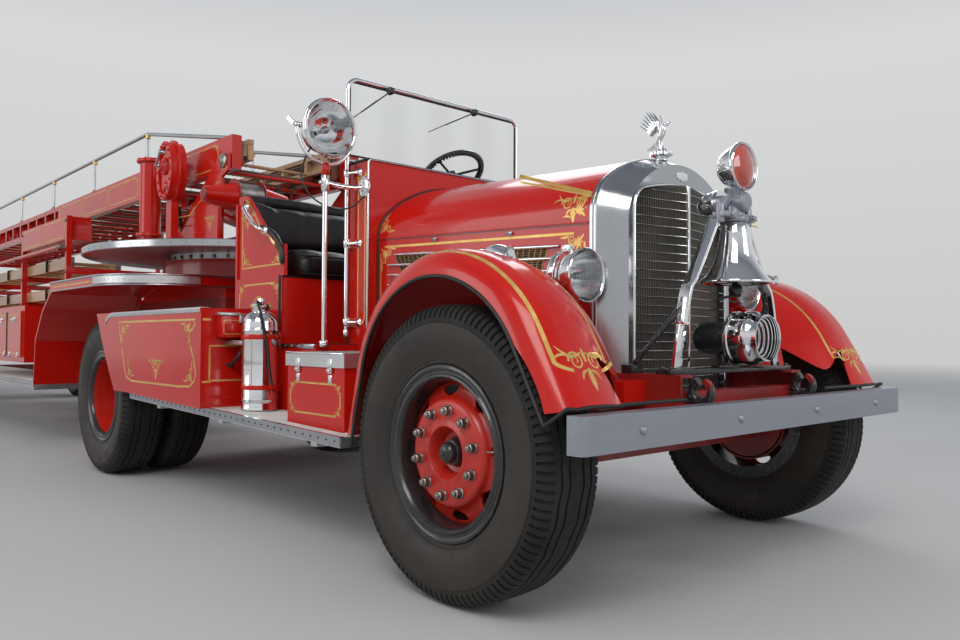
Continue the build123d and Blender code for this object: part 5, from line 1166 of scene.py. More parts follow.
def framed(a0, b0, a1, b1, width, size):
    """A gold border with a scroll in each corner."""
    half = size * 0.5
    strokes = [line([(a0 + half, b), (a1 - half, b)], width) for b in (b0, b1)]
    strokes += [line([(a, b0 + half), (a, b1 - half)], width) for a in (a0, a1)]
    for a, b, flip_a, flip_b in ((a0, b0, 1, 1), (a1, b0, -1, 1), (a1, b1, -1, -1), (a0, b1, 1, -1)):
        strokes += corner_scroll(size, a, b, flip_a, flip_b)
    return strokes


def split(strokes, step=0.05):
    """Adds points to long strokes, so that they follow a curved surface."""
    out = []
    for stroke, closed in strokes:
        points = []
        ring = stroke + [stroke[0]] if closed else stroke
        for (a0, b0, w0), (a1, b1, w1) in zip(ring, ring[1:]):
            count = max(1, int(hypot(a1 - a0, b1 - b0) / step))
            points += [(a0 + (a1 - a0) * i / count, b0 + (b1 - b0) * i / count, w0 + (w1 - w0) * i / count)
                       for i in range(count)]
        if not closed:
            points.append(stroke[-1])
        out.append((points, closed))
    return out


def gild(name, strokes, lay, step=0.08, body="tractor"):
    """Gold strokes on a surface, in steps short enough to follow it."""
    ribbon(Kit(), split(strokes, step), lay).make(name, GOLD, body, smooth=60)


STRIPE_OUT, STRIPE_IN, STRIPE_LOW, STRIPE_WIDE = 1.042, 0.795, 0.122, 0.0115


def fender_stripe(name, side):
    """A loop of gold over the crown, drawn together at each end with a scroll."""
    lay, total = fender_lay(side)
    middle, half = (STRIPE_OUT + STRIPE_IN) / 2, (STRIPE_OUT - STRIPE_IN) / 2
    strokes = []
    for way in (1, -1):
        low = total - STRIPE_LOW if way == 1 else 0.14
        for edge in (1, -1):
            bend = [(middle + edge * half, low - way * d) for d in (0.78, 0.6, 0.4, 0.3, 0.2, 0.13, 0.08)]
            bend += [(middle + edge * half * cos(t), low - way * 0.045 + way * 0.05 * sin(t))
                     for t in [PI / 2 * i / 8 * 0.62 for i in range(1, 9)]]
            strokes.append(([(s, y, STRIPE_WIDE) for y, s in bend], False))
        ornament = finial(0.175, 0, 0)
        strokes += [([(low - way * (0.028 + q), middle + p, w) for p, q, w in stroke], closed) for stroke,
                    closed in ornament]
    gild(f"fender_stripe_{name}", strokes, lay, 0.03)


for hand, s in SIDES.items():
    fender_stripe(hand, s)

HOOD_REAR, HOOD_FRONT = -1.185, 0.085


def slope(a, rear, front):
    """A height on a line that falls from the hood's rear to its front."""
    return rear + (front - rear) * (a - HOOD_REAR) / (HOOD_FRONT - HOOD_REAR)


def hood_side(name, side):
    lay = side_layer("hood", side)
    gold = [line([(-1.135, slope(-1.135, 1.327, 1.289)), (0.015, slope(0.015, 1.327, 1.289))], 0.0105),
            line([(-1.165, 1.295), (-1.165, 1.02)], 0.009), line([(0.066, 1.255), (0.066, 1.06)], 0.009)]
    gold += corner_scroll(0.125, -1.165, 1.322, 1, -1)
    gold += corner_scroll(0.125, 0.066, 1.287, -1, -1)
    gild(f"hood_line_{name}", gold, lay, 0.06)
    top = [line([(-1.172, 1.405), (-1.172, 1.475)], 0.007), line([(0.070, 1.385), (0.070, 1.44)], 0.007)]
    top += corner_scroll(0.115, -1.172, 1.392, 1, 1) + corner_scroll(0.115, 0.070, 1.352, -1, 1)
    top += finial(0.14, 0.010, 1.405)
    gild(f"hood_scrolls_{name}", top, lay, 0.03)
    seam = [line([(HOOD_REAR, 1.364), (HOOD_FRONT, 1.324)], 0.006)]
    ribbon(Kit(), split(seam, 0.06), lay, lift=0.0022).make(f"hood_seam_{name}", BLACK, smooth=60)
    rolled = [lay(a, slope(a, 1.3675, 1.3275))
              for a in [HOOD_REAR + (HOOD_FRONT - HOOD_REAR) * i / 24 for i in range(25)]]
    Kit().tube([p - n * 0.001 for p, n in rolled], 0.0042, 8).make(f"hood_roll_{name}", RED, smooth=60)
    vents, rods, mesh_and_shade = Kit(), Kit(), Kit()
    for k in range(5):
        z0, z1 = 1.282 - 0.0475 * k, 1.247 - 0.0475 * k
        a0, a1 = (-1.050, -0.050) if k == 0 else (-1.102, -0.058 - 0.045 * max(k - 1, 0))
        points = [lay(a0 + (a1 - a0) * i / 16, z0 + (z1 - z0) * i / 16) for i in range(17)]
        rods.tube([p + n * 0.0105 for p, n in points], lambda t: 0.0068 if 0.008 < t < 0.992 else 0.0045, 10)
        for p, n in (points[1], points[8], points[-2]):
            rods.rod(p - n * 0.002, p + n * 0.012, 0.0045, 8)
        if k < 4:
            lower = [lay(-1.035 + 0.03 * k + (0.91 - 0.05 * k) * i / 30, z0 - 0.0415 + (z1 - z0) * i / 30)
                     for i in range(31)]
            upper = [lay(-1.055 + 0.03 * k + (0.94 - 0.05 * k) * i / 30, z0 - 0.006 + (z1 - z0) * i / 30)
                     for i in range(31)]
            # The dark screen under the vent wires is partly the black mesh and partly painted shade, for the shaded
            # inside of the hood behind it.
            mesh_and_shade.grid([[p + n * 0.0012 for p, n in lower], [p + n * 0.0012 for p, n in upper]])
            for i in range(31):
                (p, n), (q, _) = lower[i], upper[i]
                vents.tube([p + n * 0.002, q + n * 0.002], 0.0011, 5)
            for j in (0.12, 0.37, 0.63, 0.88):
                vents.tube([p + n * 0.0022 + (q - p) * j for (p, n), (q, _) in zip(lower[::3], upper[::3])],
                           0.0009, 5)
    rods.make(f"hood_rods_{name}", CHROME, smooth=50)
    mesh_and_shade.make(f"hood_mesh_and_shade_{name}", VENT_MESH_AND_SHADE)
    vents.make(f"hood_mesh_{name}", BRASS, slot="black_paint", smooth=60)
    catch = Kit()
    for a in (-0.78, -0.32):
        p, n = lay(a, slope(a, 1.345, 1.306))
        catch.box(p - Vector((0.016, 0.004, 0.008)), p + Vector((0.016, 0.004, 0.008)))
        catch.rod(p + n * 0.003 - X * 0.022, p + n * 0.008 + X * 0.022, 0.004, 8)
    catch.make(f"hood_catches_{name}", NICKEL, bevel=0.0015)


for hand, s in SIDES.items():
    hood_side(hand, s)

hinge = Kit()
hood_top = layer("hood", F(0, 0, 1.7), X, Y)
ridge = [hood_top(HOOD_REAR + (HOOD_FRONT - HOOD_REAR) * i / 30, 0) for i in range(31)]
hinge.tube([p + Z * 0.001 for p, _ in ridge], 0.0062, 10)
for p, _ in ridge[::2]:
    hinge.rod(p - X * 0.0008, p + X * 0.0008, 0.0078, 10)
hinge.make("hood_hinge", NICKEL, smooth=50)

# Beading between hood and cowl, and the cowl's own trim
hood_arch = []
for i in range(49):
    angle = PI * i / 48
    ray = Vector((0, cos(angle), sin(angle)))
    hit = under(surface_of(nodes["hood"]), F(-1.17, 0, 1.1) + ray * 1.0, -ray, 1.0)
    if hit:
        hood_arch.append(Vector((FRONT - 1.186, hit.y, hit.z)))
hood_arch = [Vector((FRONT - 1.186, hood_arch[0].y, 0.90)), *hood_arch,
             Vector((FRONT - 1.186, hood_arch[-1].y, 0.90))]
Kit().tube(hood_arch, 0.0075, 10).make("cowl_beading", BEAD, smooth=60)

COWL_REAR, COWL_FRONT, COWL_SIDE, COWL_TOP = -1.36, -1.19, 0.56, 1.755
for hand, s in SIDES.items():
    y = s * COWL_SIDE
    lay = side_layer("cab_body", s)
    gold = [line([(a, 1.70), (a, 0.98)], 0.0085) for a in (-1.272, -1.213)]
    gold += [line([(-1.272, 0.98), (-1.255, 0.955), (-1.23, 0.955), (-1.213, 0.98)], 0.0085)]
    gold += finial(0.07, -1.2425, 1.665)
    gild(f"cowl_stripes_{hand}", gold, lay)
    edge = [F(COWL_REAR + 0.002, y, 0.86), F(COWL_REAR + 0.002, y, COWL_TOP - 0.012),
            F(COWL_REAR + 0.012, y, COWL_TOP),
            F(COWL_FRONT, y, COWL_TOP + 0.001)]
    Kit().tube(edge, 0.0072, 10).make(f"cowl_edge_{hand}", BEAD, smooth=60)
    front = [F(COWL_FRONT + 0.001, y, 0.92), F(COWL_FRONT + 0.001, y, COWL_TOP - 0.015),
             F(COWL_FRONT + 0.001, y * 0.98, COWL_TOP)]
    Kit().tube(front, 0.0062, 10).make(f"cowl_front_edge_{hand}", NICKEL, smooth=60)
Kit().tube([F(COWL_FRONT + 0.001, -0.55, COWL_TOP), F(COWL_FRONT + 0.001, 0.55, COWL_TOP)], 0.0062, 10).make(
    "cowl_top_edge", NICKEL, smooth=60)
flange = Kit().lathe(F(-1.222, -0.5602, 1.622), -Y, [(0, 0), (0.052, 0), (0.052, 0.004), (0.044, 0.008),
                                                     (0.026, 0.011), (0.022, 0.018), (0, 0.02)], 36)
for a in turns(6):
    flange.bolt(F(-1.222 + 0.041 * cos(a), -0.567, 1.622 + 0.041 * sin(a)), -Y, 0.010, 0.004, dome=True)
flange.make("cowl_flange", CHROME, smooth=50)


# Windscreen: rubber, wipers and clamps

glazing = [F(-1.33, -0.575, 1.795), F(-1.33, -0.575, 2.165), F(-1.33, 0.575, 2.165), F(-1.33, 0.575, 1.795)]
Kit().tube(glazing, 0.005, 8, closed=True).make("windscreen_rubber", BEAD)
wiper = Kit()
for y, tip_y, tip_z in ((-0.35, -0.52, 2.02), (0.23, 0.02, 2.05)):
    wiper.lathe(F(-1.312, y, 2.158), X, [(0, 0), (0.020, 0), (0.020, 0.022), (0.014, 0.030), (0, 0.032)], 20)
    wiper.tube([F(-1.286, y, 2.158), F(-1.292, (y + tip_y) / 2, (2.158 + tip_z) / 2),
                F(-1.306, tip_y, tip_z)], 0.0036, 8)
    lean = Vector((0, tip_y - y, tip_z - 2.158)).normalized()
    blade = F(-1.3125, tip_y, tip_z)
    wiper.bar(blade - lean * 0.12, blade + lean * 0.12, 0.004, 0.012, up=X)
wiper.make("wipers", BLACK, smooth=50)
clamps, screen_x, screen_y = Kit(), -1.33, 0.59
for s in (-1, 1):
    for z in (0.96, 1.35, 1.70):
        clamps.rod(F(screen_x, s * screen_y, z - 0.019), F(screen_x, s * screen_y, z + 0.019), 0.0165, 16,
                   edge=0.003)
        clamps.rod(F(-1.325, s * 0.59, z), F(-1.262, s * 0.572, z), 0.0075, 12)
        clamps.lathe(F(-1.262, s * 0.5605, z), Y * s,
                     [(0, 0), (0.022, 0), (0.020, 0.005), (0.011, 0.010), (0.009, 0.018), (0, 0.018)], 20)
    clamps.rod(F(screen_x, s * screen_y, 0.885), F(screen_x, s * screen_y, 0.925), 0.015, 16, edge=0.004)
clamps.make("windscreen_clamps", CHROME, smooth=50)
dress("windscreen_frame", CHROME)


# Spot lamp: post, yoke, arm and its loop of cable

POST = (-1.24, SPOT_Y)
post = Kit().rod(F(*POST, 0.845), F(*POST, 1.70), 0.0118, 20)
post.rod(F(*POST, 1.575), F(*POST, 1.655), 0.0185, 20, edge=0.004)
post.rod(F(*POST, 0.838), F(*POST, 0.872), 0.0215, 20, edge=0.005)
arm = soft_line([F(-1.24, -0.765, 1.617), F(-1.236, -0.70, 1.612), F(-1.230, -0.62, 1.612),
                 F(-1.223, -0.575, 1.620)], 6)
post.tube(arm, 0.0125, 14)
post.bolt(F(-1.24, -0.79, 1.617), -Y, 0.018)
yoke = [F(-1.24, SPOT_Y + 0.152 * cos(a * PI / 24), 1.862 - 0.157 * sin(a * PI / 24)) for a in range(25)]
post.tube(yoke, 0.0085, 12)
for way in (-1, 1):
    post.rod(F(-1.24, SPOT_Y + way * 0.128, SPOT_Z), F(-1.24, SPOT_Y + way * 0.166, SPOT_Z), 0.013, 16,
             edge=0.003)
    post.bar(F(-1.24, SPOT_Y + way * 0.170, 1.872), F(-1.275, SPOT_Y + way * 0.178, 1.905), 0.010, 0.018)
ring = [F(-1.2005, SPOT_Y + 0.136 * cos(a * PI / 36), SPOT_Z + 0.136 * sin(a * PI / 36)) for a in range(72)]
post.tube(ring, 0.0065, 10, closed=True)
post.make("spot_lamp_post", CHROME, smooth=50)
stub = Kit().rod(F(*POST, 1.652), F(*POST, 1.712), 0.0205, 20, edge=0.004)
stub.make("spot_lamp_stub", RED, smooth=50)
cable = soft_line([F(-1.33, -0.79, 1.81), F(-1.345, -0.82, 1.74), F(-1.33, -0.845, 1.64),
                   F(-1.30, -0.80, 1.55), F(-1.27, -0.70, 1.505),
                   F(-1.24, -0.62, 1.52), F(-1.218, -0.566, 1.575)], 8)
Kit().tube(cable, 0.0042, 8).make("spot_lamp_cable", BEAD, smooth=60)


# Cab: leather cushions, panels, sills and controls

def pad(name, rows, body="tractor", replaces=(), press=4.0, cap_m=0.022, voxel=0.012):
    """A padded form: a smooth closed shape whose cover a cloth step then fills out and wrinkles."""
    core = Kit().grid(rows, wrap_columns=True, cap=True)
    piece = core.make(name, LEATHER, body, smooth=180, replaces=replaces)
    work = link(name + "_work", piece.data.copy())
    remesh = work.modifiers.new("even", "REMESH")
    remesh.mode, remesh.voxel_size = "VOXEL", voxel * 1.0
    apply(work)
    rest = [v.co.copy() for v in work.data.vertices]
    cloth = work.modifiers.new("cloth", "CLOTH")
    settings = cloth.settings
    settings.quality, settings.mass, settings.time_scale = 5, 0.4, 1.0
    settings.use_pressure, settings.uniform_pressure_force = True, press
    settings.effector_weights.gravity = 0.0
    settings.tension_stiffness = settings.compression_stiffness = 12.0
    settings.shear_stiffness, settings.bending_stiffness = 6.0, 0.6
    settings.shrink_min = -0.045
    cloth.collision_settings.use_collision = False
    scene = bpy.context.scene
    for step in range(1, 21):
        scene.frame_set(step)
    graph = bpy.context.evaluated_depsgraph_get()
    moved = bpy.data.meshes.new_from_object(work.evaluated_get(graph))
    scene.frame_set(1)
    for vertex, start in zip(moved.vertices, rest):
        step = vertex.co - start
        if step.length > cap_m:
            vertex.co = start + step * (cap_m / step.length)
    bpy.data.objects.remove(work)
    piece.data = moved
    piece.data.materials.clear()
    piece.data.materials.append(LEATHER)
    fine = piece.modifiers.new("fine", "SUBSURF")
    fine.levels = fine.render_levels = 1
    apply(piece)
    for polygon in piece.data.polygons:
        polygon.use_smooth = True
    return piece


def swell_in(t, sharp, least=0.0):
    """Rises from least at either end of 0 to 1 to a full 1 between them."""
    near = t if t < 0.5 else 1 - t
    return min(1.0, sin(PI * min(max(near * sharp, least), 0.5)))


def cushion_rows(low, high, crown, pleats, face=Z):
    """Sections of a cushion between two corners: rounded edges, a crowned face and soft pleats across it."""
    (x0, y0, z0), (x1, y1, z1) = low, high
    sections, around, edge, groove = 64, 40, 0.035, 0.006
    rows = []
    for i in range(sections + 1):
        t = i / sections
        y = y0 + (y1 - y0) * t
        fall = swell_in(t, 14)
        dip = groove * (0.5 + 0.5 * cos(2 * PI * pleats * t)) ** 6
        inset = edge * (1 - fall)
        row = []
        for j in range(around):
            angle = 2 * PI * j / around
            c, s = cos(angle), sin(angle)
            square = (abs(c) ** 5 + abs(s) ** 5) ** (-1 / 5)
            a, b = c * square, s * square
            half_x, half_z = (x1 - x0) / 2 - inset, (z1 - z0) / 2 - inset
            x, z = (x0 + x1) / 2 + a * half_x, (z0 + z1) / 2 + b * half_z
            if face == Z and b > 0:
                z += (crown * (1 - a * a) - dip * (1 - abs(a) ** 4)) * b * fall
            if face == X and a > 0:
                x += (crown * (1 - b * b) - dip * (1 - abs(b) ** 4)) * a * fall
            row.append(F(x, y, z))
        rows.append(row)
    return rows


pad("seat_cushion", cushion_rows((-2.050, -0.695, 1.203), (-1.603, 0.695, 1.318), 0.014, 8),
    replaces=("cab_seat",),
    voxel=0.018)
back_rows = cushion_rows((-2.140, -0.735, 1.33), (-2.020, 0.735, 1.64), 0.010, 9, face=X)
pad("seat_back", [[p - X * 0.055 * max(0.0, (p.z - 1.40) / 0.28) for p in row] for row in back_rows],
    voxel=0.017)
rolled_top = []
for i in range(49):
    t = i / 48
    y = -0.765 + 1.53 * t
    swell = 0.037 * swell_in(t, 20, 0.02)
    rolled_top.append([F(-2.155 + swell * cos(a * PI / 12), y, 1.648 + swell * sin(a * PI / 12))
                       for a in range(24)])
pad("seat_back_roll", rolled_top, cap_m=0.012, press=3.0)
piping = Kit()
for x, z in ((-1.612, 1.308), (-1.612, 1.214)):
    piping.tube(soft_line([F(x, y, z) for y in (-0.68, -0.4, 0, 0.4, 0.68)], 6), 0.0045, 8)
piping.make("seat_piping", BEAD, smooth=60)
for hand, s in SIDES.items():
    roll = soft_line([F(-1.88, s * 0.775, 1.47), F(-1.80, s * 0.780, 1.452), F(-1.70, s * 0.780, 1.405),
                      F(-1.640, s * 0.780, 1.330), F(-1.632, s * 0.780, 1.255)], 7)
    Kit().tube(roll, lambda t: 0.014 * min(1.0, 0.35 + 12 * min(t, 1 - t)), 14).make(
        f"arm_roll_{hand}", LEATHER, smooth=60)
    handle = soft_line([F(-1.99, s * 0.802, 1.585), F(-1.97, s * 0.828, 1.575), F(-1.88, s * 0.832, 1.502),
                        F(-1.80, s * 0.832, 1.455), F(-1.775, s * 0.802, 1.440)], 7)
    grab = Kit().tube(handle, 0.0095, 14)
    for p in (handle[0], handle[-1]):
        grab.lathe(Vector((p.x, s * 0.8005, p.z)), Y * s,
                   [(0, 0), (0.022, 0), (0.020, 0.005), (0.011, 0.009), (0, 0.009)], 20)
    grab.make(f"grab_handle_{hand}", CHROME, smooth=50)

    lay = side_layer("cab_body", s)
    door_y = s * 0.792
    outer = [(-2.095, 1.26), (-2.095, 1.605), (-2.02, 1.628), (-1.915, 1.50), (-1.873, 1.440), (-1.80, 1.420),
             (-1.715, 1.372),
             (-1.668, 1.300), (-1.668, 1.262)]
    gold = [line(outer + [(-1.90, 1.262)], 0.0085, True)]
    gold += corner_scroll(0.10, -1.672, 1.268, -1, 1) + corner_scroll(0.11, -2.088, 1.270, 1, 1)
    gold += finial(0.11, -2.035, 1.525)
    box_gold = framed(-2.105, 0.875, -1.660, 1.165, 0.0085, 0.095)
    a, b = -1.883, 1.020
    box_gold += [leaf((a + 0.018 * cos(t), b + 0.018 * sin(t)), (a + 0.070 * cos(t), b + 0.070 * sin(t)),
                      0.024)
                 for t in turns(12)]
    for r, width, count in ((0.078, 0.006, 40), (0.011, 0.012, 16)):
        box_gold.append(line([(a + r * cos(t), b + r * sin(t)) for t in turns(count)], width, True))
    gild(f"seat_panel_gold_{hand}", gold + box_gold, lay)
    beads = Kit()
    beads.tube([F(-1.632, door_y, 0.84), F(-1.632, door_y, 1.20)], 0.0065, 10)
    beads.tube([F(-1.6305, s * (0.775 - 1.55 * i / 24), 1.196) for i in range(25)], 0.0055, 8)
    beads.make(f"doorway_beading_{hand}", BEAD, smooth=60)
    sill = Kit()
    sill.tube([F(-1.628, s * 0.803, 0.842), F(-1.27, s * 0.803, 0.842)], 0.0085, 12,
              section=[(-0.5, -1.2), (0.5, -1.2), (0.5, 1.2), (-0.5, 1.2)])
    for i in range(6):
        sill.bolt(F(-1.60 + 0.062 * i, s * 0.8065, 0.842), Y * s, 0.008, 0.003, dome=True)
    sill.make(f"door_sill_{hand}", NICKEL, bevel=0.001)

mat = Kit()
for i in range(46):
    x = -1.605 + 0.0072 * i
    mat.box(F(x, -0.765, 0.8505), F(x + 0.0038, 0.765, 0.8535))
mat.box(F(-1.612, -0.775, 0.8500), F(-1.270, 0.775, 0.8520))
mat.make("cab_floor_mat", BEAD)
pedals = Kit()
for y in (0.24, 0.36, 0.47):
    tip = F(-1.455, y, 0.975)
    pedals.tube([F(-1.372, y, 0.90), F(-1.41, y, 0.935), tip], 0.009, 10)
    pedals.bar(tip - Vector((0.020, 0, 0.030)), tip + Vector((0.012, 0, 0.032)), 0.055, 0.012, up=Y)
lever = soft_line([F(-1.50, 0.04, 0.852), F(-1.515, 0.035, 1.05), F(-1.53, 0.02, 1.22),
                   F(-1.535, 0.01, 1.33)], 6)
pedals.tube(lever, lambda t: 0.0105 - 0.003 * t, 12)
pedals.lathe(F(-1.537, 0.01, 1.325), Z, [(0, 0), (0.012, 0.002), (0.021, 0.016), (0.019, 0.030), (0, 0.040)],
             20)
pedals.lathe(F(-1.50, 0.04, 0.851), Z,
             [(0, 0), (0.050, 0), (0.046, 0.008), (0.026, 0.022), (0.018, 0.05), (0, 0.05)], 24)
pedals.tube(soft_line([F(-1.50, -0.08, 0.852), F(-1.505, -0.08, 1.0), F(-1.50, -0.08, 1.21)], 5), 0.008, 10)
pedals.make("cab_controls", BLACK, smooth=50)
dash, faces, needles = Kit(), Kit(), Kit()
GAUGE_Z, NEEDLE_X = 1.62, -1.3672
for y, r in ((0.16, 0.050), (0.03, 0.042), (-0.09, 0.042), (-0.21, 0.036)):
    place = F(-1.3595, y, GAUGE_Z)
    dash.lathe(place, -X,
               [(0, 0), (r, 0), (r * 1.02, 0.006), (r * 0.96, 0.012), (r * 0.86, 0.013), (r * 0.84, 0.006),
                           (0, 0.006)], 36)
    faces.lathe(place, -X, [(0, 0.0062), (r * 0.84, 0.0062), (r * 0.84, 0.0075), (0, 0.0075)], 30)
    needles.bar(F(NEEDLE_X, y - r * 0.15, GAUGE_Z - r * 0.1), F(NEEDLE_X, y + r * 0.6, GAUGE_Z + r * 0.35),
                0.0028, 0.0012,
                up=X)
    for a in (radians(-30 + 30 * k) for k in range(9)):
        needles.bar(*[F(NEEDLE_X, y + r * reach * cos(a), GAUGE_Z + r * reach * sin(a))
                      for reach in (0.62, 0.76)],
                    0.002, 0.001, up=X)
dash.make("dash_gauges", CHROME, smooth=45)
faces.make("gauge_faces", BLACK)
needles.make("gauge_needles", NICKEL)

def ribbed_grip(wheel, centre, foot, radius):
    """The ribbed black rim of a steering wheel whose column stands on foot."""
    dress(wheel, BLACK)
    rise = (centre - foot).normalized().cross(Y).normalized()
    knobs, count = Kit(), 60
    for i in range(count):
        knobs.tube([centre + (Y * cos(a) + rise * sin(a)) * radius for a in
                    [2 * PI * (i + part) / count for part in (0.2, 0.5, 0.8)]], 0.0142, 10)
    knobs.make(f"{wheel}_grip", BLACK, wheel, smooth=50)


ribbed_grip("steering_wheel", F(-1.65, 0.36, 1.87), F(-1.36, 0.36, 1.45), 0.188)


# Running boards: pale tread, riveted edge, tool boxes with diamond-plate lids

BOARD_FRONT, BOARD_RISE, BOARD_LENGTH, BOARD_OUT = -0.60, 0.060, 2.32, 1.083


def board_z(x):
    """The running board's height: it rises a little to the rear."""
    return 0.495 + BOARD_RISE * (BOARD_FRONT - x) / BOARD_LENGTH


def rib(kit, stations, y, height, low=0.0006, high=0.0035, wide=0.0055, narrow=0.004):
    """A raised rib of tread along x."""
    kit.grid([[F(x, y + across, height(x) + lift) for across, lift in
               ((-wide, low), (-narrow, high), (narrow, high), (wide, low))] for x in stations])


for hand, s in SIDES.items():
    tread = Kit()
    for i in range(30):
        y = s * (0.505 + 0.0188 * i)
        rib(tread, (-0.625, -1.4, -2.15, -2.895), y, board_z)
    tread.grid([[F(x, s * 0.49, board_z(x) + 0.0008), F(x, s * 1.064, board_z(x) + 0.0008)]
                for x in (-0.61, -2.91)])
    tread.make(f"board_tread_{hand}", TREAD_LOOK, smooth=40)
    edge = Kit()
    edge.grid([[F(x, s * y, board_z(x) + z) for y, z in ((1.066, 0.004), (1.083, 0.004), (1.083, -0.036),
                                                        (1.080, -0.036), (1.080, 0.0), (1.066, 0.0))]
               for x in (-0.603, -2.917)], wrap_columns=True, cap=True)
    edge.make(f"board_edge_{hand}", NICKEL)
    rivets = Kit()
    for i in range(38):
        x = -0.64 - 0.0605 * i
        rivets.bolt(F(x, s * BOARD_OUT, board_z(x) - 0.016), Y * s, 0.010, 0.0035, dome=True)
    rivets.make(f"board_rivets_{hand}", BLACK, smooth=60)

    lay = side_layer("tool_boxes", s, 1.0)
    gold = framed(-1.135, 0.560, -0.730, 0.690, 0.0075, 0.062)
    gild(f"tool_box_gold_{hand}", gold, lay)
    lid_body = f"tool_box_lid_{hand}"
    catch_stations = (-1.06, -0.80)
    diamonds = Kit()
    for i in range(17):
        for j in range(13):
            x, y = -1.145 + 0.0265 * i, s * (0.640 + 0.0295 * j)
            turn_to = PI / 4 if (i + j) % 2 else -PI / 4
            u, v = Vector((cos(turn_to), sin(turn_to), 0)), Vector((-sin(turn_to), cos(turn_to), 0))
            p = F(x, y, 0.8203)
            diamonds.add([p - u * 0.0115, p - v * 0.0035, p + u * 0.0115, p + v * 0.0035, p + Z * 0.0022],
                         [(0, 1, 4), (1, 2, 4), (2, 3, 4), (3, 0, 4)])
    diamonds.make(f"lid_plate_{hand}", ALUMINIUM, lid_body, smooth=20)
    rim = Kit()
    rim.tube([F(x, y, 0.8175) for x, y in ((-1.165, s * 1.006), (-0.697, s * 1.006))], 0.0055, 10)
    for x in catch_stations:
        rim.box(F(x - 0.016, s * 1.004, 0.735), F(x + 0.016, s * 1.011, 0.795))
        rim.rod(F(x - 0.013, s * 1.0125, 0.748), F(x + 0.013, s * 1.0125, 0.748), 0.0065, 12)
    rim.make(f"lid_trim_{hand}", CHROME, lid_body, bevel=0.0015)
    catch = Kit()
    for x in catch_stations:
        catch.box(F(x - 0.013, s * 0.999, 0.695), F(x + 0.013, s * 1.008, 0.729))
        catch.bolt(F(x, s * 1.007, 0.712), Y * s, 0.010, 0.004, dome=True)
    catch.make(f"tool_box_catches_{hand}", CHROME, bevel=0.0015)


# Extinguisher: polished cylinder with bands, strap, hose and a plain plate

EX, EY, EZ, BOTTLE = -1.62, -0.90, board_z(-1.62) + 0.003, 0.088
bottle = [(0, 0), (0.086, 0), (0.0905, 0.004), (0.0905, 0.020), (0.088, 0.024), (0.088, 0.048),
          (0.0905, 0.052), (0.0905, 0.060), (0.088, 0.064),
          (0.088, 0.385), (0.0905, 0.389), (0.0905, 0.397), (0.088, 0.401), (0.088, 0.425), (0.083, 0.447),
          (0.070, 0.468),
          (0.052, 0.482), (0.044, 0.486), (0.044, 0.500), (0.047, 0.503), (0.047, 0.524), (0.040, 0.530),
          (0.020, 0.536), (0.016, 0.552), (0, 0.553)]
ext = Kit().lathe(F(EX, EY, EZ), Z, bottle, 72)
ext.make("extinguisher_body", CHROME, smooth=45, replaces=("extinguisher",))
trim = Kit()
for a in turns(8):
    out = Vector((cos(a), sin(a), 0))
    trim.rod(*[F(EX, EY, EZ + 0.513) + out * r for r in (0.042, 0.054)], 0.006, 10)


def plate_lay(a, b):
    """Lays (along, up) on the round front of the bottle."""
    out = Vector((sin(a / BOTTLE), -cos(a / BOTTLE), 0))
    return F(EX, EY, EZ + b) + out * (BOTTLE + 0.0004), out


for b in (0.165, 0.20, 0.235, 0.27, 0.305):
    ribbon(trim, split([line([(-0.046, b), (0.046, b)], 0.0022)], 0.01), plate_lay)
ribbon(trim, split([line([(-0.055, 0.13), (0.055, 0.13), (0.055, 0.345), (-0.055, 0.345)], 0.0035, True)],
                   0.01), plate_lay)
trim.make("extinguisher_trim", BRASS, slot="chrome", smooth=50)
strap = Kit()
for height in (0.115, 0.36):
    ring = [F(EX + 0.0915 * sin(2 * PI * a / 48), EY - 0.0915 * cos(2 * PI * a / 48), EZ + height)
            for a in range(48)]
    strap.tube(ring, 0.010, closed=True, section=[(-0.22, -1.1), (0.22, -1.1), (0.22, 1.1), (-0.22, 1.1)])
strap.box(F(EX - 0.022, EY + 0.088, EZ + 0.09), F(EX + 0.022, EY + 0.104, EZ + 0.385))
strap.box(F(EX + 0.088, EY + 0.002, EZ + 0.108), F(EX + 0.112, EY + 0.027, EZ + 0.122))
strap.make("extinguisher_straps", RED, bevel=0.001)
hose = soft_line([F(EX + 0.045, EY - 0.02, EZ + 0.520), F(EX + 0.085, EY - 0.06, EZ + 0.530),
                  F(EX + 0.112, EY - 0.055, EZ + 0.47),
                  F(EX + 0.108, EY - 0.02, EZ + 0.33), F(EX + 0.105, EY + 0.0, EZ + 0.18),
                  F(EX + 0.102, EY + 0.02, EZ + 0.09)], 8)
Kit().tube(hose, lambda t: 0.0062 if t < 0.86 else 0.0062 - 0.02 * (t - 0.86), 12).make(
    "extinguisher_hose", BEAD, smooth=60)


# Rear fenders: gold borders, riveted top strip, step and box

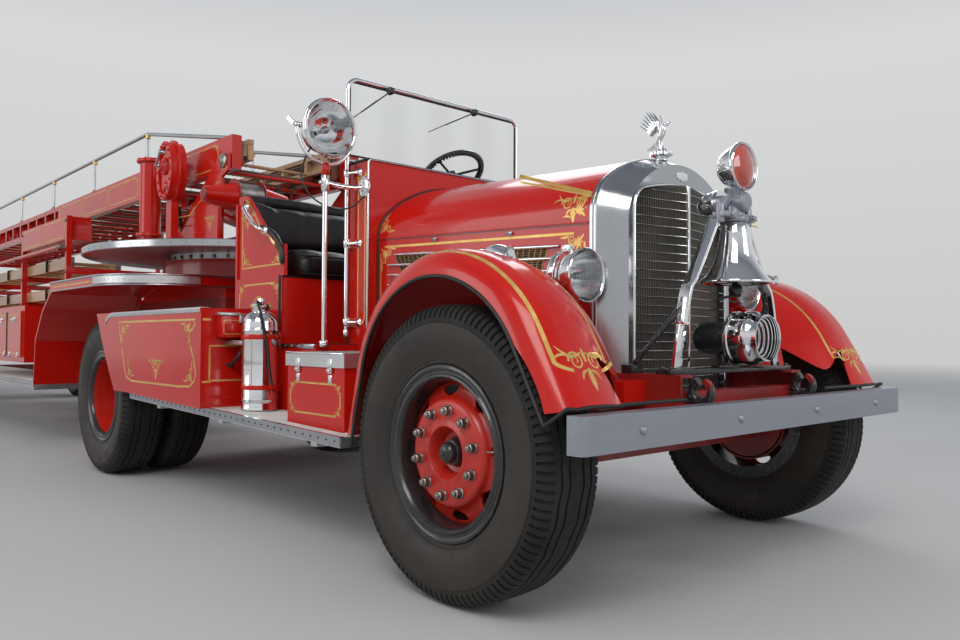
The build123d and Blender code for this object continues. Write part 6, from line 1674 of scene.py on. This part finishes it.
for hand, s in SIDES.items():
    lay = side_layer("rear_fenders", s, 1.1)
    top, outside = 0.972, s * 1.1185
    edge_line = [(-3.030, top), (-1.900, top), (-1.905, 0.945), (-1.930, 0.925), (-1.985, 0.905),
                 (-1.975, 0.86), (-1.915, 0.78),
                 (-1.885, 0.700), (-1.905, 0.660), (-1.96, 0.632), (-2.10, 0.626), (-2.80, 0.626),
                 (-2.89, 0.648), (-2.92, 0.70),
                 (-3.005, 0.905)]
    gold = [line(edge_line, 0.0105, True)]
    gold += corner_scroll(0.15, -2.985, top - 0.012, 1, -1) + corner_scroll(0.13, -1.955, top - 0.012, -1, -1)
    gold += corner_scroll(0.12, -1.925, 0.650, -1, 1) + corner_scroll(0.12, -2.865, 0.650, 1, 1)
    gold += finial(0.15, -2.42, 0.655 + 0.07)
    gild(f"rear_fender_gold_{hand}", gold, lay, 0.06)
    front = layer("rear_fenders", F(-1.83, 0, 0), Y, Z)
    band = [line([(s * 1.105, top), (s * 1.062, top)], 0.010),
            line([(s * 1.105, 0.66), (s * 1.062, 0.66)], 0.010)]
    band += [line([(s * 0.875, 0.665), (s * 1.068, 0.665), (s * 1.068, 0.840), (s * 0.875, 0.840)], 0.0085,
                  True)]
    gild(f"rear_fender_front_gold_{hand}", band, front, 0.05)
    strip, rivets = Kit(), Kit()
    path = [F(x, 0, z) for x, z in ((-3.270, 0.985), (-3.240, 1.004), (-3.20, 1.020), (-3.15, 1.028),
                                    (-1.86, 1.030), (-1.842, 1.030))]
    strip.grid([[p + Y * (s * 1.062) + Z * 0.0005, p + Y * (s * 1.062) + Z * 0.004,
                 p + Y * outside + Z * 0.004,
                 p + Y * outside - Z * 0.022, p + Y * (s * 1.1155) - Z * 0.022,
                 p + Y * (s * 1.1155) + Z * 0.0005] for p in path],
               wrap_columns=True, cap=True)
    strip.make(f"rear_fender_strip_{hand}", ALUMINIUM, bevel=0.001)
    for i in range(40):
        rivets.bolt(F(-3.12 + 0.0322 * i, outside, 1.020), Y * s, 0.007, 0.0025, dome=True)
        rivets.bolt(F(-3.12 + 0.0322 * i, s * 1.082, 1.034), Z, 0.007, 0.0025, dome=True)
    rivets.make(f"rear_fender_rivets_{hand}", STEEL, smooth=60)
    Kit().tube([F(x, s * 0.804, 1.032) for x in (-3.13, -1.838)], 0.005, 8).make(f"rear_fender_bead_{hand}",
                                                                                 BEAD, smooth=60)
    box = Kit()
    box.box(F(-1.829, s * 0.900, 0.882), F(-1.755, s * 1.037, 0.992))
    box.make(f"step_box_{hand}", RED, bevel=0.004)
    lid = Kit()
    lid.box(F(-1.829, s * 0.894, 0.993), F(-1.748, s * 1.043, 1.004))
    lid.box(F(-1.754, s * 0.926, 0.955), F(-1.748, s * 0.950, 0.998))
    lid.rod(F(-1.826, s * 0.91, 1.006), F(-1.826, s * 1.03, 1.006), 0.005, 10)
    lid.make(f"step_box_lid_{hand}", ALUMINIUM, bevel=0.002)
    gold_band = Kit()
    for z in (0.9, 0.968):
        gold_band.bar(F(-1.7545, s * 0.908, z), F(-1.7545, s * 1.029, z), 0.0035, 0.0015, up=X)
    for y in (0.908, 1.029):
        gold_band.bar(F(-1.7545, s * y, 0.9), F(-1.7545, s * y, 0.968), 0.0035, 0.0015, up=X)
    gold_band.make(f"step_box_gold_{hand}", GOLD)
    ledge = Kit()
    ledge.box(F(-1.829, s * 0.815, 0.846), F(-1.60, s * 0.985, 0.864))
    for i in range(7):
        ledge.box(F(-1.815 + 0.031 * i, s * 0.822, 0.8638), F(-1.800 + 0.031 * i, s * 0.978, 0.868))
    ledge.make(f"fender_step_{hand}", ALUMINIUM, bevel=0.002)
    brace = Kit()
    for y in (0.84, 0.955):
        brace.bar(F(-1.828, s * y, 0.735), F(-1.660, s * y, 0.846), 0.012, 0.022)
        brace.bolt(F(-1.829, s * (y + 0.018), 0.745), X, 0.014)
    brace.make(f"step_braces_{hand}", BLACK, bevel=0.0015)


# Exhaust, propeller shaft and brake pipes under the tractor

exhaust = soft_line([F(-0.32, -0.30, 0.98), F(-0.50, -0.33, 0.80), F(-0.72, -0.31, 0.60),
                     F(-0.95, -0.29, 0.54), F(-1.5, -0.29, 0.54),
                     F(-2.2, -0.29, 0.54)], 8)
pipes = Kit().tube(exhaust, 0.034, 20)
pipes.lathe(F(-2.20, -0.29, 0.54), -X, [(0, 0), (0.034, 0), (0.066, 0.030), (0.082, 0.05), (0.082, 0.62),
                                        (0.066, 0.64), (0.034, 0.67), (0, 0.67)], 32)
pipes.make("exhaust", IRON, smooth=50)
propeller = Kit().rod(F(-1.45, 0, 0.60), F(-2.95, 0, 0.54), 0.042, 24)
for x, z in ((-1.47, 0.599), (-2.93, 0.541)):
    propeller.rod(F(x - 0.05, 0, z), F(x + 0.05, 0, z), 0.062, 24, edge=0.008)
propeller.make("propeller_shaft", FRAME_RED, smooth=45)
lines = Kit()
for s in (-1, 1):
    lines.tube(soft_line([F(0.40, s * 0.44, 0.62), F(0.0, s * 0.445, 0.615), F(-1.0, s * 0.445, 0.62),
                          F(-2.4, s * 0.445, 0.615), F(-3.2, s * 0.44, 0.62)], 6), 0.0055, 8)
lines.make("brake_pipes", STEEL, smooth=50)


# Turntable: polished rim, tread, gear case, column, winch drum, controls and hoses

def span_of(name):
    """The lowest and highest corner of a CAD node."""
    points = [nodes[name].matrix_world @ v.co for v in nodes[name].data.vertices]
    return (Vector(tuple(min(p[i] for p in points) for i in range(3))),
            Vector(tuple(max(p[i] for p in points) for i in range(3))))


KX, DECK, FENDER_R = KING - FRONT, 1.490, 0.618
HX = KX + 0.70
rim = Kit().lathe(F(KX, 0, 0), Z, [(1.1253, 1.446), (1.1290, 1.448), (1.1290, 1.487), (1.1240, 1.4925),
                                   (1.095, 1.4925), (1.095, 1.4903),
                                   (1.1235, 1.4903), (1.1253, 1.4880)], 160)
rim.make("turntable_rim", NICKEL, "turntable", slot="aluminium", smooth=40)
tread, spots = Kit(), Kit()
for i in range(40):
    y = -1.06 + 0.0545 * i
    half = sqrt(max(1.085 ** 2 - y * y, 0))
    rib(tread, (KX - half, KX + half), y, lambda x: DECK, 0.0004, 0.0030, 0.010, 0.007)
tread.make("turntable_tread", ALUMINIUM, "turntable", smooth=40)
for a in turns(72):
    spots.bolt(F(KX + 1.129 * cos(a), 1.129 * sin(a), 1.467), (cos(a), sin(a), 0), 0.009, 0.003, dome=True)
spots.make("turntable_rivets", STEEL, "turntable", smooth=60)
ring_bolts = Kit()
for a in turns(36):
    ring_bolts.bolt(F(KX + 0.552 * cos(a), 0.552 * sin(a), 1.4425), (cos(a), sin(a), 0), 0.022)
ring_bolts.make("slewing_ring_bolts", STEEL, "turntable", bevel=0.001, segments=1)

GX, GZ = KX + 0.11, 2.03
case = Kit()
for y0, y1, grow in ((-0.6705, -0.684, 0.0), (-0.612, -0.634, 0.014)):
    wide, tall = 0.134 + grow, 0.204 + grow
    case.grid([[F(GX + (wide - inset) * cos(t), y, GZ + (tall - inset) * sin(t)) for t in turns(64)]
               for inset, y in ((0.038, y0), (0, y0), (0, y1), (0.038, y1))], wrap_rows=True,
               wrap_columns=True)
case.lathe(F(GX, -0.670, GZ + 0.03), -Y,
           [(0, 0), (0.062, 0), (0.058, 0.018), (0.036, 0.026), (0.030, 0.045), (0, 0.047)], 36)
case.lathe(F(GX, -0.670, GZ - 0.11), -Y, [(0, 0), (0.036, 0), (0.032, 0.014), (0, 0.018)], 30)
for a in turns(16):
    case.bolt(F(GX + 0.115 * cos(a), -0.684, GZ + 0.185 * sin(a)), -Y, 0.016)
case.make("gear_case_flange", RED, "turntable", smooth=45, bevel=0.002, segments=1)
fittings = Kit()
fittings.lathe(F(GX, -0.717, GZ + 0.03), -Y, [(0, 0), (0.014, 0), (0.012, 0.02), (0, 0.022)], 16)
fittings.tube(soft_line([F(GX, -0.735, GZ + 0.03), F(GX + 0.05, -0.745, GZ + 0.06),
                         F(GX + 0.11, -0.748, GZ + 0.10)], 6), 0.008, 10)
fittings.lathe(F(GX + 0.11, -0.748, GZ + 0.10), -Y,
               [(0, -0.03), (0.014, -0.03), (0.017, 0.0), (0.012, 0.012), (0, 0.014)], 18)
fittings.make("crank_handle", NICKEL, "turntable", smooth=50)
PX = KX - 0.36
column = Kit()
for z in (1.4905, 1.62, 2.165):
    column.lathe(F(PX, -0.60, z), Z, [(0.0735, 0), (0.096, 0), (0.098, 0.004), (0.098, 0.020), (0.094, 0.024),
                                      (0.0735, 0.024)], 40)
for a in turns(8):
    for z in (2.189, 1.5145):
        column.bolt(F(PX + 0.086 * cos(a), -0.60 + 0.086 * sin(a), z), Z, 0.013)
column.lathe(F(PX, -0.60, 2.189), Z, [(0, 0), (0.060, 0), (0.052, 0.012), (0.022, 0.018), (0, 0.020)], 32)
column.make("column_flanges", RED, "turntable", smooth=45)

DX, DZ = KX + 0.80, 1.78
drum = Kit()
for i in range(26):
    y = -0.485 + 0.0062 * i
    drum.tube([F(DX + 0.0965 * cos(2 * PI * k / 40), y + 0.0062 * k / 40, DZ + 0.0965 * sin(2 * PI * k / 40))
               for k in range(40)],
              0.0031, 6, closed=True)
drum.make("winch_rope", STEEL, "turntable", smooth=60)
cheeks = Kit()
for y in (-0.498, -0.322):
    cheeks.lathe(F(DX, y - 0.004, DZ), Y,
                 [(0.06, 0), (0.118, 0), (0.120, 0.003), (0.118, 0.008), (0.06, 0.008)], 48)
for y0, y1 in ((-0.692, -0.700), (-0.128, -0.120)):
    cheeks.lathe(F(DX, y0, DZ), (0, y1 - y0, 0),
                 [(0, 0), (0.044, 0), (0.040, 0.006), (0.02, 0.009), (0, 0.009)], 30)
cheeks.make("winch_cheeks", FRAME_RED, "turntable", smooth=45)

console = Kit()
for k, y in enumerate((-0.095, -0.035, 0.025, 0.085)):
    lean = 0.05 * (1 if k % 2 else -1)
    console.tube([F(KX + 0.455, y, 1.7805), F(KX + 0.455 + lean * 0.4, y, 1.85),
                  F(KX + 0.455 + lean, y, 1.925)], 0.0065, 10)
    console.lathe(F(KX + 0.455 + lean, y, 1.918), (lean * 3, 0, 1),
                  [(0, 0), (0.010, 0.002), (0.0155, 0.012), (0.013, 0.024), (0, 0.029)], 18)
    console.box(F(KX + 0.425, y - 0.013, 1.780), F(KX + 0.485, y + 0.013, 1.786))
console.make("control_levers", BLACK, "turntable", smooth=50)
gauges = Kit()
for y, r in ((-0.065, 0.042), (0.055, 0.042)):
    gauges.lathe(F(KX + 0.5603, y, 1.69), X,
                 [(0, 0), (r, 0), (r, 0.016), (r * 0.9, 0.019), (r * 0.86, 0.012), (0, 0.012)], 36)
gauges.box(F(KX + 0.345, -0.135, 1.7795), F(KX + 0.565, 0.135, 1.7835))
gauges.make("control_gauges", CHROME, "turntable", smooth=45)
for hand, s in SIDES.items():
    lay = side_layer("turret", s, reach=0.3)
    gold = [line([(HX - 0.98, 1.525), (HX - 0.075, 1.525), (HX - 0.075, 1.905), (HX - 0.385, 1.80)], 0.009,
                 True)]
    gold += [line([(HX - 0.03, 2.055), (HX + 0.035, 2.055), (HX + 0.035, 1.975), (HX - 0.03, 1.975)], 0.007,
                  True)]
    gold += finial(0.13, HX - 0.20, 1.66)
    gild(f"turret_gold_{hand}", gold, lay, 0.08, "turntable")
    pin = Kit().lathe(F(HX, s * 0.5203, 2.03), Y * s, [(0, 0), (0.048, 0), (0.050, 0.004), (0.048, 0.010),
                                                       (0.026, 0.013), (0.020, 0.022), (0, 0.024)], 32)
    for a in turns(4, 0.5):
        pin.bolt(F(HX + 0.036 * cos(a), s * 0.5303, 2.03 + 0.036 * sin(a)), Y * s, 0.010)
    for x in (-0.95, -0.75, -0.55, -0.35, -0.15):
        pin.bolt(F(HX + x, s * 0.5203, 1.506), Y * s, 0.018)
    pin.make(f"heel_pin_cap_{hand}", STEEL, "turntable", bevel=0.001, segments=1, smooth=45)
    folds = [0.047 + 0.006 * cos(2 * PI * 15 * i / 60) for i in range(61)]
    boot = Kit().lathe(F(KX + 0.68, s * 0.36, 1.56), Z,
                       [(0, 0), *[(r, 0.26 * i / 60) for i, r in enumerate(folds)],
                                                         (0, 0.26)], 28)
    boot.make(f"spring_boot_{hand}", CANVAS, "turntable", smooth=60)

works, works_pipes = Kit(), Kit()
for i in range(16):
    x, y = KX + 0.30 + 0.030 * (i % 8) + random.uniform(-0.008,
                                                        0.008), random.choice((-1, 1)) * random.uniform(0.14,
                                                                                                        0.19)
    z, tall, r = 1.50 + 0.11 * (i // 8), random.uniform(0.06, 0.10), random.uniform(0.012, 0.022)
    works.lathe(F(x, y, z), Z,
                [(0, 0), (r, 0), (r, tall * 0.6), (r * 0.7, tall * 0.7), (r * 0.7, tall), (0, tall)], 20)
    works.bolt(F(x, y, z + tall), Z, r * 1.1)
    works_pipes.tube(soft_line([F(x, y, z + tall * 0.8), F(x + 0.03, y * 1.25, z + tall),
                                F(x + 0.06, y * 1.5, z + tall * 0.5),
                                F(x + 0.09, y * 1.6, 1.505)], 6), 0.0048, 8)
for z in (1.535, 1.62, 1.705):
    works.bar(F(KX + 0.352, -0.16, z), F(KX + 0.352, 0.16, z), 0.05, 0.03)
    for k in range(5):
        works.bolt(F(KX + 0.378, -0.12 + 0.06 * k, z), X, 0.020)
works.make("hoist_valves", IRON, "turntable", bevel=0.001, segments=1, smooth=45)
works_pipes.make("hoist_pipes", STEEL, "turntable", smooth=60)
hoses = [(f"hose_lift_{hand}", [F(KX + x, s * y, z) for x, y, z in
                               ((0.35, 0.10, 1.60), (0.20, 0.14, 1.535), (0.05, 0.30, 1.520),
                                (0.20, 0.36, 1.520),
                                (0.45, 0.34, 1.525), (0.60, 0.30, 1.58))]) for hand, s in SIDES.items()]
hoses.append(("hose_gear_case",
              [F(KX + 0.35, -0.06, 1.66), F(KX + 0.22, -0.16, 1.60), F(KX + 0.05, -0.35, 1.56),
                                 F(KX + 0.02, -0.50, 1.62), F(GX - 0.01, -0.575, 1.845)]))
for hose_name, points in hoses:
    Kit().tube(soft_line(points, 10), 0.0125, 14).make(hose_name, BEAD, "turntable", smooth=60)
    ends = Kit()
    for p, q in ((points[0], points[1]), (points[-1], points[-2])):
        out = (q - p).normalized()
        ends.rod(p, p + out * 0.03, 0.0165, 6)
        ends.rod(p + out * 0.028, p + out * 0.05, 0.0145, 16, edge=0.002)
    ends.make(hose_name + "_unions", BRASS, "turntable", smooth=30)


# Trailer: platform, arches, compartments, boards, fenders and racks

for hand, s in SIDES.items():
    lay = side_layer("trailer_body", s, 1.25)
    lip = Kit()
    corner = [F(KX + 0.62 - 0.50 + 0.5022 * cos(a), s * (1.13 - 0.50 + 0.5022 * sin(a)), 1.2785)
              for a in [PI / 2 * i / 20 for i in range(21)]]
    path = [F(KX + 0.6222, 0, 1.2785), *corner, F(KX - 0.88, s * 1.1322, 1.2785)]
    lip.tube(path, 0.0075, 10)
    lip.tube([Vector((p.x, p.y, 1.214)) for p in path], 0.0060, 10)
    lip.make(f"platform_beading_{hand}", NICKEL, "trailer", smooth=60)
    plates = Kit()
    outer = [Vector((p.x, p.y, 0)) for p in corner]
    middle_of_corner = F(KX + 0.12, s * 0.63, 0)
    rows = []
    for p in outer:
        out = (p - middle_of_corner).normalized()
        rows.append([p + out * 0.0012 + Z * 1.222, p + out * 0.0045 + Z * 1.225, p + out * 0.0045 + Z * 1.270,
                     p + out * 0.0012 + Z * 1.273])
    plates.grid(rows)
    top_rows = [[p + Z * 1.2815, p - (p - middle_of_corner).normalized() * 0.16 + Z * 1.2815] for p in outer]
    plates.grid(top_rows)
    for i in range(18):
        p = outer[1 + i]
        out = (p - middle_of_corner).normalized()
        plates.bolt(p + out * 0.0045 + Z * 1.247, out, 0.009, 0.003, dome=True)
        plates.bolt(p - out * 0.02 + Z * 1.2815, Z, 0.009, 0.003, dome=True)
    plates.make(f"platform_corner_plate_{hand}", ALUMINIUM, "trailer", smooth=40)
    gold = [line([(KX - 0.80, 1.245), (KX + 0.05, 1.245)], 0.008)]
    gild(f"platform_gold_{hand}", gold, lay, 0.08, "trailer")

    doors = side_layer(f"compartment_door_{hand}", s, 1.2)
    low, high = span_of(f"compartment_door_{hand}")
    x0, x1 = low.x - FRONT, high.x - FRONT
    panels = 4
    width = (x1 - x0) / panels
    gold, ribs, steel = [], Kit(), Kit()
    y = s * max(abs(low.y), abs(high.y))
    for k in range(panels):
        a0, a1 = x0 + width * k, x0 + width * (k + 1)
        gold += framed(a0 + 0.035, low.z + 0.030, a1 - 0.035, high.z - 0.030, 0.0085, 0.085)
        mid = (a0 + a1) / 2
        steel.box(F(mid - 0.055, y, high.z - 0.095), F(mid + 0.055, y + s * 0.004, high.z - 0.052))
        steel.tube(soft_line([F(mid - 0.040, y, high.z - 0.074),
                              F(mid - 0.036, y + s * 0.022, high.z - 0.074),
                              F(mid + 0.036, y + s * 0.022, high.z - 0.074),
                              F(mid + 0.040, y, high.z - 0.074)], 6), 0.006, 10)
        if k:
            ribs.bar(F(a0, y + s * 0.002, low.z + 0.004), F(a0, y + s * 0.002, high.z - 0.004), 0.020, 0.005,
                     up=Y)
        for x in (a0 + 0.09, a1 - 0.09):
            steel.rod(F(x - 0.032, y + s * 0.006, low.z + 0.006), F(x + 0.032, y + s * 0.006, low.z + 0.006),
                      0.0075, 12)
            steel.box(F(x - 0.026, y, low.z + 0.008), F(x + 0.026, y + s * 0.003, low.z + 0.042))
    door_body = f"compartment_door_{hand}"
    gild(f"compartment_gold_{hand}", gold, doors, 0.08, door_body)
    ribs.make(f"compartment_ribs_{hand}", BEAD, door_body)
    steel.make(f"compartment_handles_{hand}", CHROME, door_body, bevel=0.001, segments=1, smooth=45)

    step_z, step_x0, step_x1 = 0.520, -3.24 - FRONT, 1.61 - FRONT
    board = Kit()
    for i in range(30):
        y = s * (0.505 + 0.0195 * i)
        rib(board, (step_x0 + 0.02, step_x1 - 0.02), y, lambda x: step_z)
    board.make(f"trailer_tread_{hand}", TREAD_LOOK, "trailer", smooth=40)
    rivets = Kit()
    for i in range(78):
        rivets.bolt(F(step_x0 + 0.05 + 0.0615 * i, s * 1.1003, 0.500), Y * s, 0.010, 0.0035, dome=True)
    rivets.make(f"trailer_board_rivets_{hand}", BLACK, "trailer", smooth=60)
    TX = TRAILER - FRONT
    shell = []
    for i in range(73):
        a = radians(11.0 + 158.0 * i / 72)
        shell.append([F(TX + r * cos(a), s * y, AXLE_Z + r * sin(a)) for r, y in
                      ((0.6186, 0.549), (0.6212, 0.549), (0.6212, 1.094), (0.6190, 1.1012), (0.6095, 1.1012),
                       (0.6095, 1.1003), (0.6186, 1.1003))])
    Kit().grid(shell, wrap_columns=True, cap=True).make(f"trailer_fender_shell_{hand}", RED, "trailer",
                                                        smooth=40)
    Kit().tube([F(TX + 0.6155 * cos(a), s * 1.1035, AXLE_Z + 0.6155 * sin(a)) for a in
                [radians(12 + 156 * i / 60) for i in range(61)]], 0.0070, 10).make(
        f"trailer_fender_bead_{hand}", BEAD, "trailer", smooth=60)
    round_fender = lambda a, b: (F(TX + 0.6212 * cos(a / FENDER_R), s * b,
                                   AXLE_Z + 0.6212 * sin(a / FENDER_R)),
                                 Vector((cos(a / FENDER_R), 0, sin(a / FENDER_R))))
    arcs = [line([(FENDER_R * radians(14 + 152 * i / 60), b) for i in range(61)], 0.010)
            for b in (0.62, 1.04)]
    arcs += [line([(FENDER_R * radians(t), 0.62), (FENDER_R * radians(t), 1.04)], 0.010) for t in (14, 166)]
    arcs += finial(0.17, FENDER_R * radians(24), 0.83, 90) + finial(0.17, FENDER_R * radians(156), 0.83, -90)
    gild(f"trailer_fender_gold_{hand}", arcs, round_fender, 0.04, "trailer")

    gold = []
    for a0, a1 in ((0.30 - FRONT, 0.97 - FRONT), (1.02 - FRONT, 1.68 - FRONT)):
        gold += framed(a0 + 0.02, 1.692, a1 - 0.02, 1.838, 0.0075, 0.060)
    gild(f"rack_tray_gold_{hand}", gold, lambda a, b, s=s: (F(a, s * 0.9003, b), Y * s), 0.08, "trailer")
    clips = Kit()
    for k in range(6):
        x = 1.69 - 1.40 * k - FRONT
        for z in (1.165, 1.405, 1.60, 1.82):
            clips.bolt(F(x, s * 0.9003, z), Y * s, 0.020)
        clips.rod(F(x - 0.028, s * 0.95, 1.60), F(x + 0.028, s * 0.95, 1.60), 0.0215, 20, edge=0.003)
    clips.make(f"rack_bolts_{hand}", STEEL, "trailer", bevel=0.001, segments=1, smooth=45)
    straps = Kit()
    for k in range(5):
        x = 1.0 - 1.40 * k - FRONT
        for z0 in (1.20, 1.44):
            straps.tube([F(x, s * 0.860, z0), F(x, s * 0.861, z0 + 0.093), F(x, s * 0.815, z0 + 0.0935)],
                        0.016,
                        section=[(-0.9, -0.08), (0.9, -0.08), (0.9, 0.08), (-0.9, 0.08)])
            straps.box(F(x - 0.018, s * 0.8605, z0 + 0.035), F(x + 0.018, s * 0.866, z0 + 0.065))
    straps.make(f"ladder_straps_{hand}", LEATHER, "trailer", smooth=45)
    shoes = Kit()
    for z0 in (1.20, 1.44):
        for y in (0.8385, 0.4735):
            for x in (1.642, -3.60):
                shoes.box(F(x - 0.03 - FRONT, s * (y - 0.0195), z0 - 0.002),
                          F(x + 0.004 - FRONT, s * (y + 0.0195), z0 + 0.092))
    shoes.make(f"ladder_shoes_{hand}", STEEL, "trailer", bevel=0.002)

# Aerial ladder: panel gold, rail fittings, pulleys, ropes and rung grips
for hand, s in SIDES.items():
    base = side_layer("base_ladder", s, 0.7)
    gold = []
    panel_end, panel_start = HX - 0.10 - 3.75, HX - 0.14
    panels = 5
    width = (panel_start - panel_end) / panels
    for k in range(panels):
        gold += framed(panel_end + width * k + 0.02, 2.012, panel_end + width * (k + 1) - 0.02, 2.168, 0.0085,
                       0.07)
    gild(f"ladder_panel_gold_{hand}", gold, base, 0.08, "base_ladder")
    for body, start, end, y, low_z, high_z in (("base_ladder", HX - 0.20, -6.00 - FRONT, 0.4803, 2.0025,
                                                2.1775),
                                              ("middle_ladder", HX - 0.30, -6.05 - FRONT, 0.3853, 2.049,
                                               2.181)):
        bolts = Kit()
        n = int((start - end) / 0.35)
        for i in range(n + 1):
            for z in (low_z, high_z):
                bolts.bolt(F(start - 0.35 * i, s * y, z), Y * s, 0.014, 0.005, dome=True)
        bolts.make(f"{body}_rivets_{hand}", STEEL, body, smooth=60)
    collars = Kit()
    rail_low, rail_high = span_of("handrails")
    rails = surface_of(nodes["handrails"])
    posts = []
    x = rail_low.x + 0.02
    while x < min(rail_high.x - 0.01, FRONT + HX - 1.50):
        hit = under(rails, Vector((x, s * 0.9, 2.33)), Y * -s, 0.9)
        if hit and abs(abs(hit.y) - 0.459) < 0.035 and (not posts or x - posts[-1][0] > 0.3):
            posts.append((x, hit.y))
        x += 0.012
    for x, y in posts:
        centre_y = y - s * 0.012
        collars.lathe(Vector((x + 0.012, centre_y, 2.2003)), Z,
                      [(0.0125, 0), (0.032, 0), (0.031, 0.006), (0.019, 0.016), (0.0165, 0.030),
                       (0.0125, 0.032)], 24)
        collars.lathe(Vector((x + 0.012, centre_y, 2.46)), Z,
                      [(0.0125, 0), (0.0185, 0.002), (0.0205, 0.020), (0.0205, 0.034), (0.0125, 0.04)], 24)
    if posts:
        collars.make(f"handrail_collars_{hand}", BRASS, "base_ladder", smooth=45)
sheaves, ropes = Kit(), Kit()
tip = -6.04 - FRONT
for s in (-1, 1):
    for x, y, z in ((tip + 0.12, 0.405, 2.145), (HX - 0.35, 0.405, 2.145)):
        sheaves.lathe(F(x, s * y - 0.010, z), Y, [(0, 0), (0.046, 0), (0.046, 0.004), (0.036, 0.010),
                                                  (0.046, 0.016), (0.046, 0.020), (0, 0.020)], 32)
    ropes.tube([F(HX - 0.35, s * 0.405, 2.183), F(tip + 0.12, s * 0.405, 2.183)], 0.0045, 8)
sheaves.make("base_sheaves", STEEL, "base_ladder", smooth=40)
ropes.make("extension_ropes", STEEL, "base_ladder", smooth=60)

rung_covers = {"base_ladder": Kit(), "middle_ladder": Kit(), "top_ladder": Kit()}
for body, kit in rung_covers.items():
    tree = surface_of(nodes[body])
    low, high = span_of(body)
    x = high.x - 0.20
    found = []
    bottom = low.z
    while x > low.x + 0.1:
        hit = under(tree, Vector((x, 0.05, bottom + 0.5)), -Z, 0.8)
        if hit and (not found or found[-1] - x > 0.2):
            found.append(x)
        x -= 0.004
    for x in found:
        hit = under(tree, Vector((x - 0.012, 0.05, bottom + 0.5)), -Z, 0.8)
        if hit:
            z = hit.z - 0.012
            for k in range(-7, 8):
                y = k * 0.034
                if abs(y) < min(high.y, -low.y) - 0.08:
                    kit.lathe(Vector((x - 0.012, y - 0.004, z)), Y,
                              [(0.0120, -0.003), (0.0140, 0.004), (0.0120, 0.011)], 8)
    if kit.verts:
        kit.make(f"{body}_rung_grips", BEAD, body, smooth=45)

# Rear steering station: seat, wheel grip, gold, lamps, grab bars and bare plate
low, high = span_of("tiller_seat")
seat_x, back_x = low.x - FRONT, high.x - FRONT
pad("tiller_seat_cushion",
    cushion_rows((seat_x + 0.075, low.y + 0.006, 1.352), (back_x - 0.004, high.y - 0.006, 1.440),
                                        0.010, 4), "trailer", ("tiller_seat",), cap_m=0.018)
pad("tiller_seat_back",
    cushion_rows((seat_x + 0.006, low.y + 0.008, 1.47), (seat_x + 0.082, high.y - 0.008, 1.915),
                                     0.010, 4, face=X), "trailer", cap_m=0.018)
seat_frame = Kit()
seat_frame.box((low.x + 0.07, low.y + 0.01, 1.300), (high.x - 0.01, high.y - 0.01, 1.349))
seat_frame.box((low.x - 0.004, low.y + 0.012, 1.30), (low.x + 0.006, high.y - 0.012, 1.90))
seat_frame.box((low.x, low.y + 0.03, 1.300), (low.x + 0.09, low.y + 0.06, 1.345))
seat_frame.box((low.x, high.y - 0.06, 1.300), (low.x + 0.09, high.y - 0.03, 1.345))
seat_frame.make("tiller_seat_frame", BLACK, "trailer", bevel=0.003)
ribbed_grip("tiller_wheel", Vector((-6.49, 0, 1.85)), Vector((-6.36, 0, 0.93)), 0.198)
low, high = span_of("tiller_station")
for hand, s in SIDES.items():
    lay = side_layer("tiller_station", s, 0.9)
    gold = framed(low.x - FRONT + 0.04, 0.985, low.x - FRONT + 0.66, 1.31, 0.009, 0.10)
    gold += finial(0.16, low.x - FRONT + 0.35, 1.15)
    gild(f"tiller_panel_gold_{hand}", gold, lay, 0.08, "trailer")
    tail = Kit().lathe(Vector((TAIL, s * 0.36, 1.12)) + X * 0.004, -X,
                       [(0, 0), (0.050, 0), (0.052, 0.004), (0.050, 0.009), (0.042, 0.010), (0.042, 0.004),
                        (0, 0.004)], 36)
    tail.make(f"tail_lamp_rim_{hand}", CHROME, "trailer", smooth=45)
    Kit().lathe(Vector((TAIL + 0.002, s * 0.36, 1.12)), -X,
                [(0, 0.003), (0.0415, 0.003), (0.036, 0.012), (0.020, 0.018), (0, 0.020)], 36).make(
        f"tail_lamp_{hand}", RED_GLASS, "trailer", smooth=60)
    Kit().tube(soft_line([Vector((TAIL + 0.62, s * 0.4805, 1.20)), Vector((TAIL + 0.62, s * 0.515, 1.23)),
                          Vector((TAIL + 0.62, s * 0.515, 1.42)),
                          Vector((TAIL + 0.60, s * 0.4805, 1.46))], 6), 0.0105,
                          12).make(f"tiller_grab_{hand}", CHROME, "trailer", smooth=50)
plate = Kit().box((TAIL - 0.004, -0.15, 1.02), (TAIL + 0.0005, 0.15, 1.10))
plate.make("bare_plate", ALUMINIUM, "trailer", bevel=0.001)
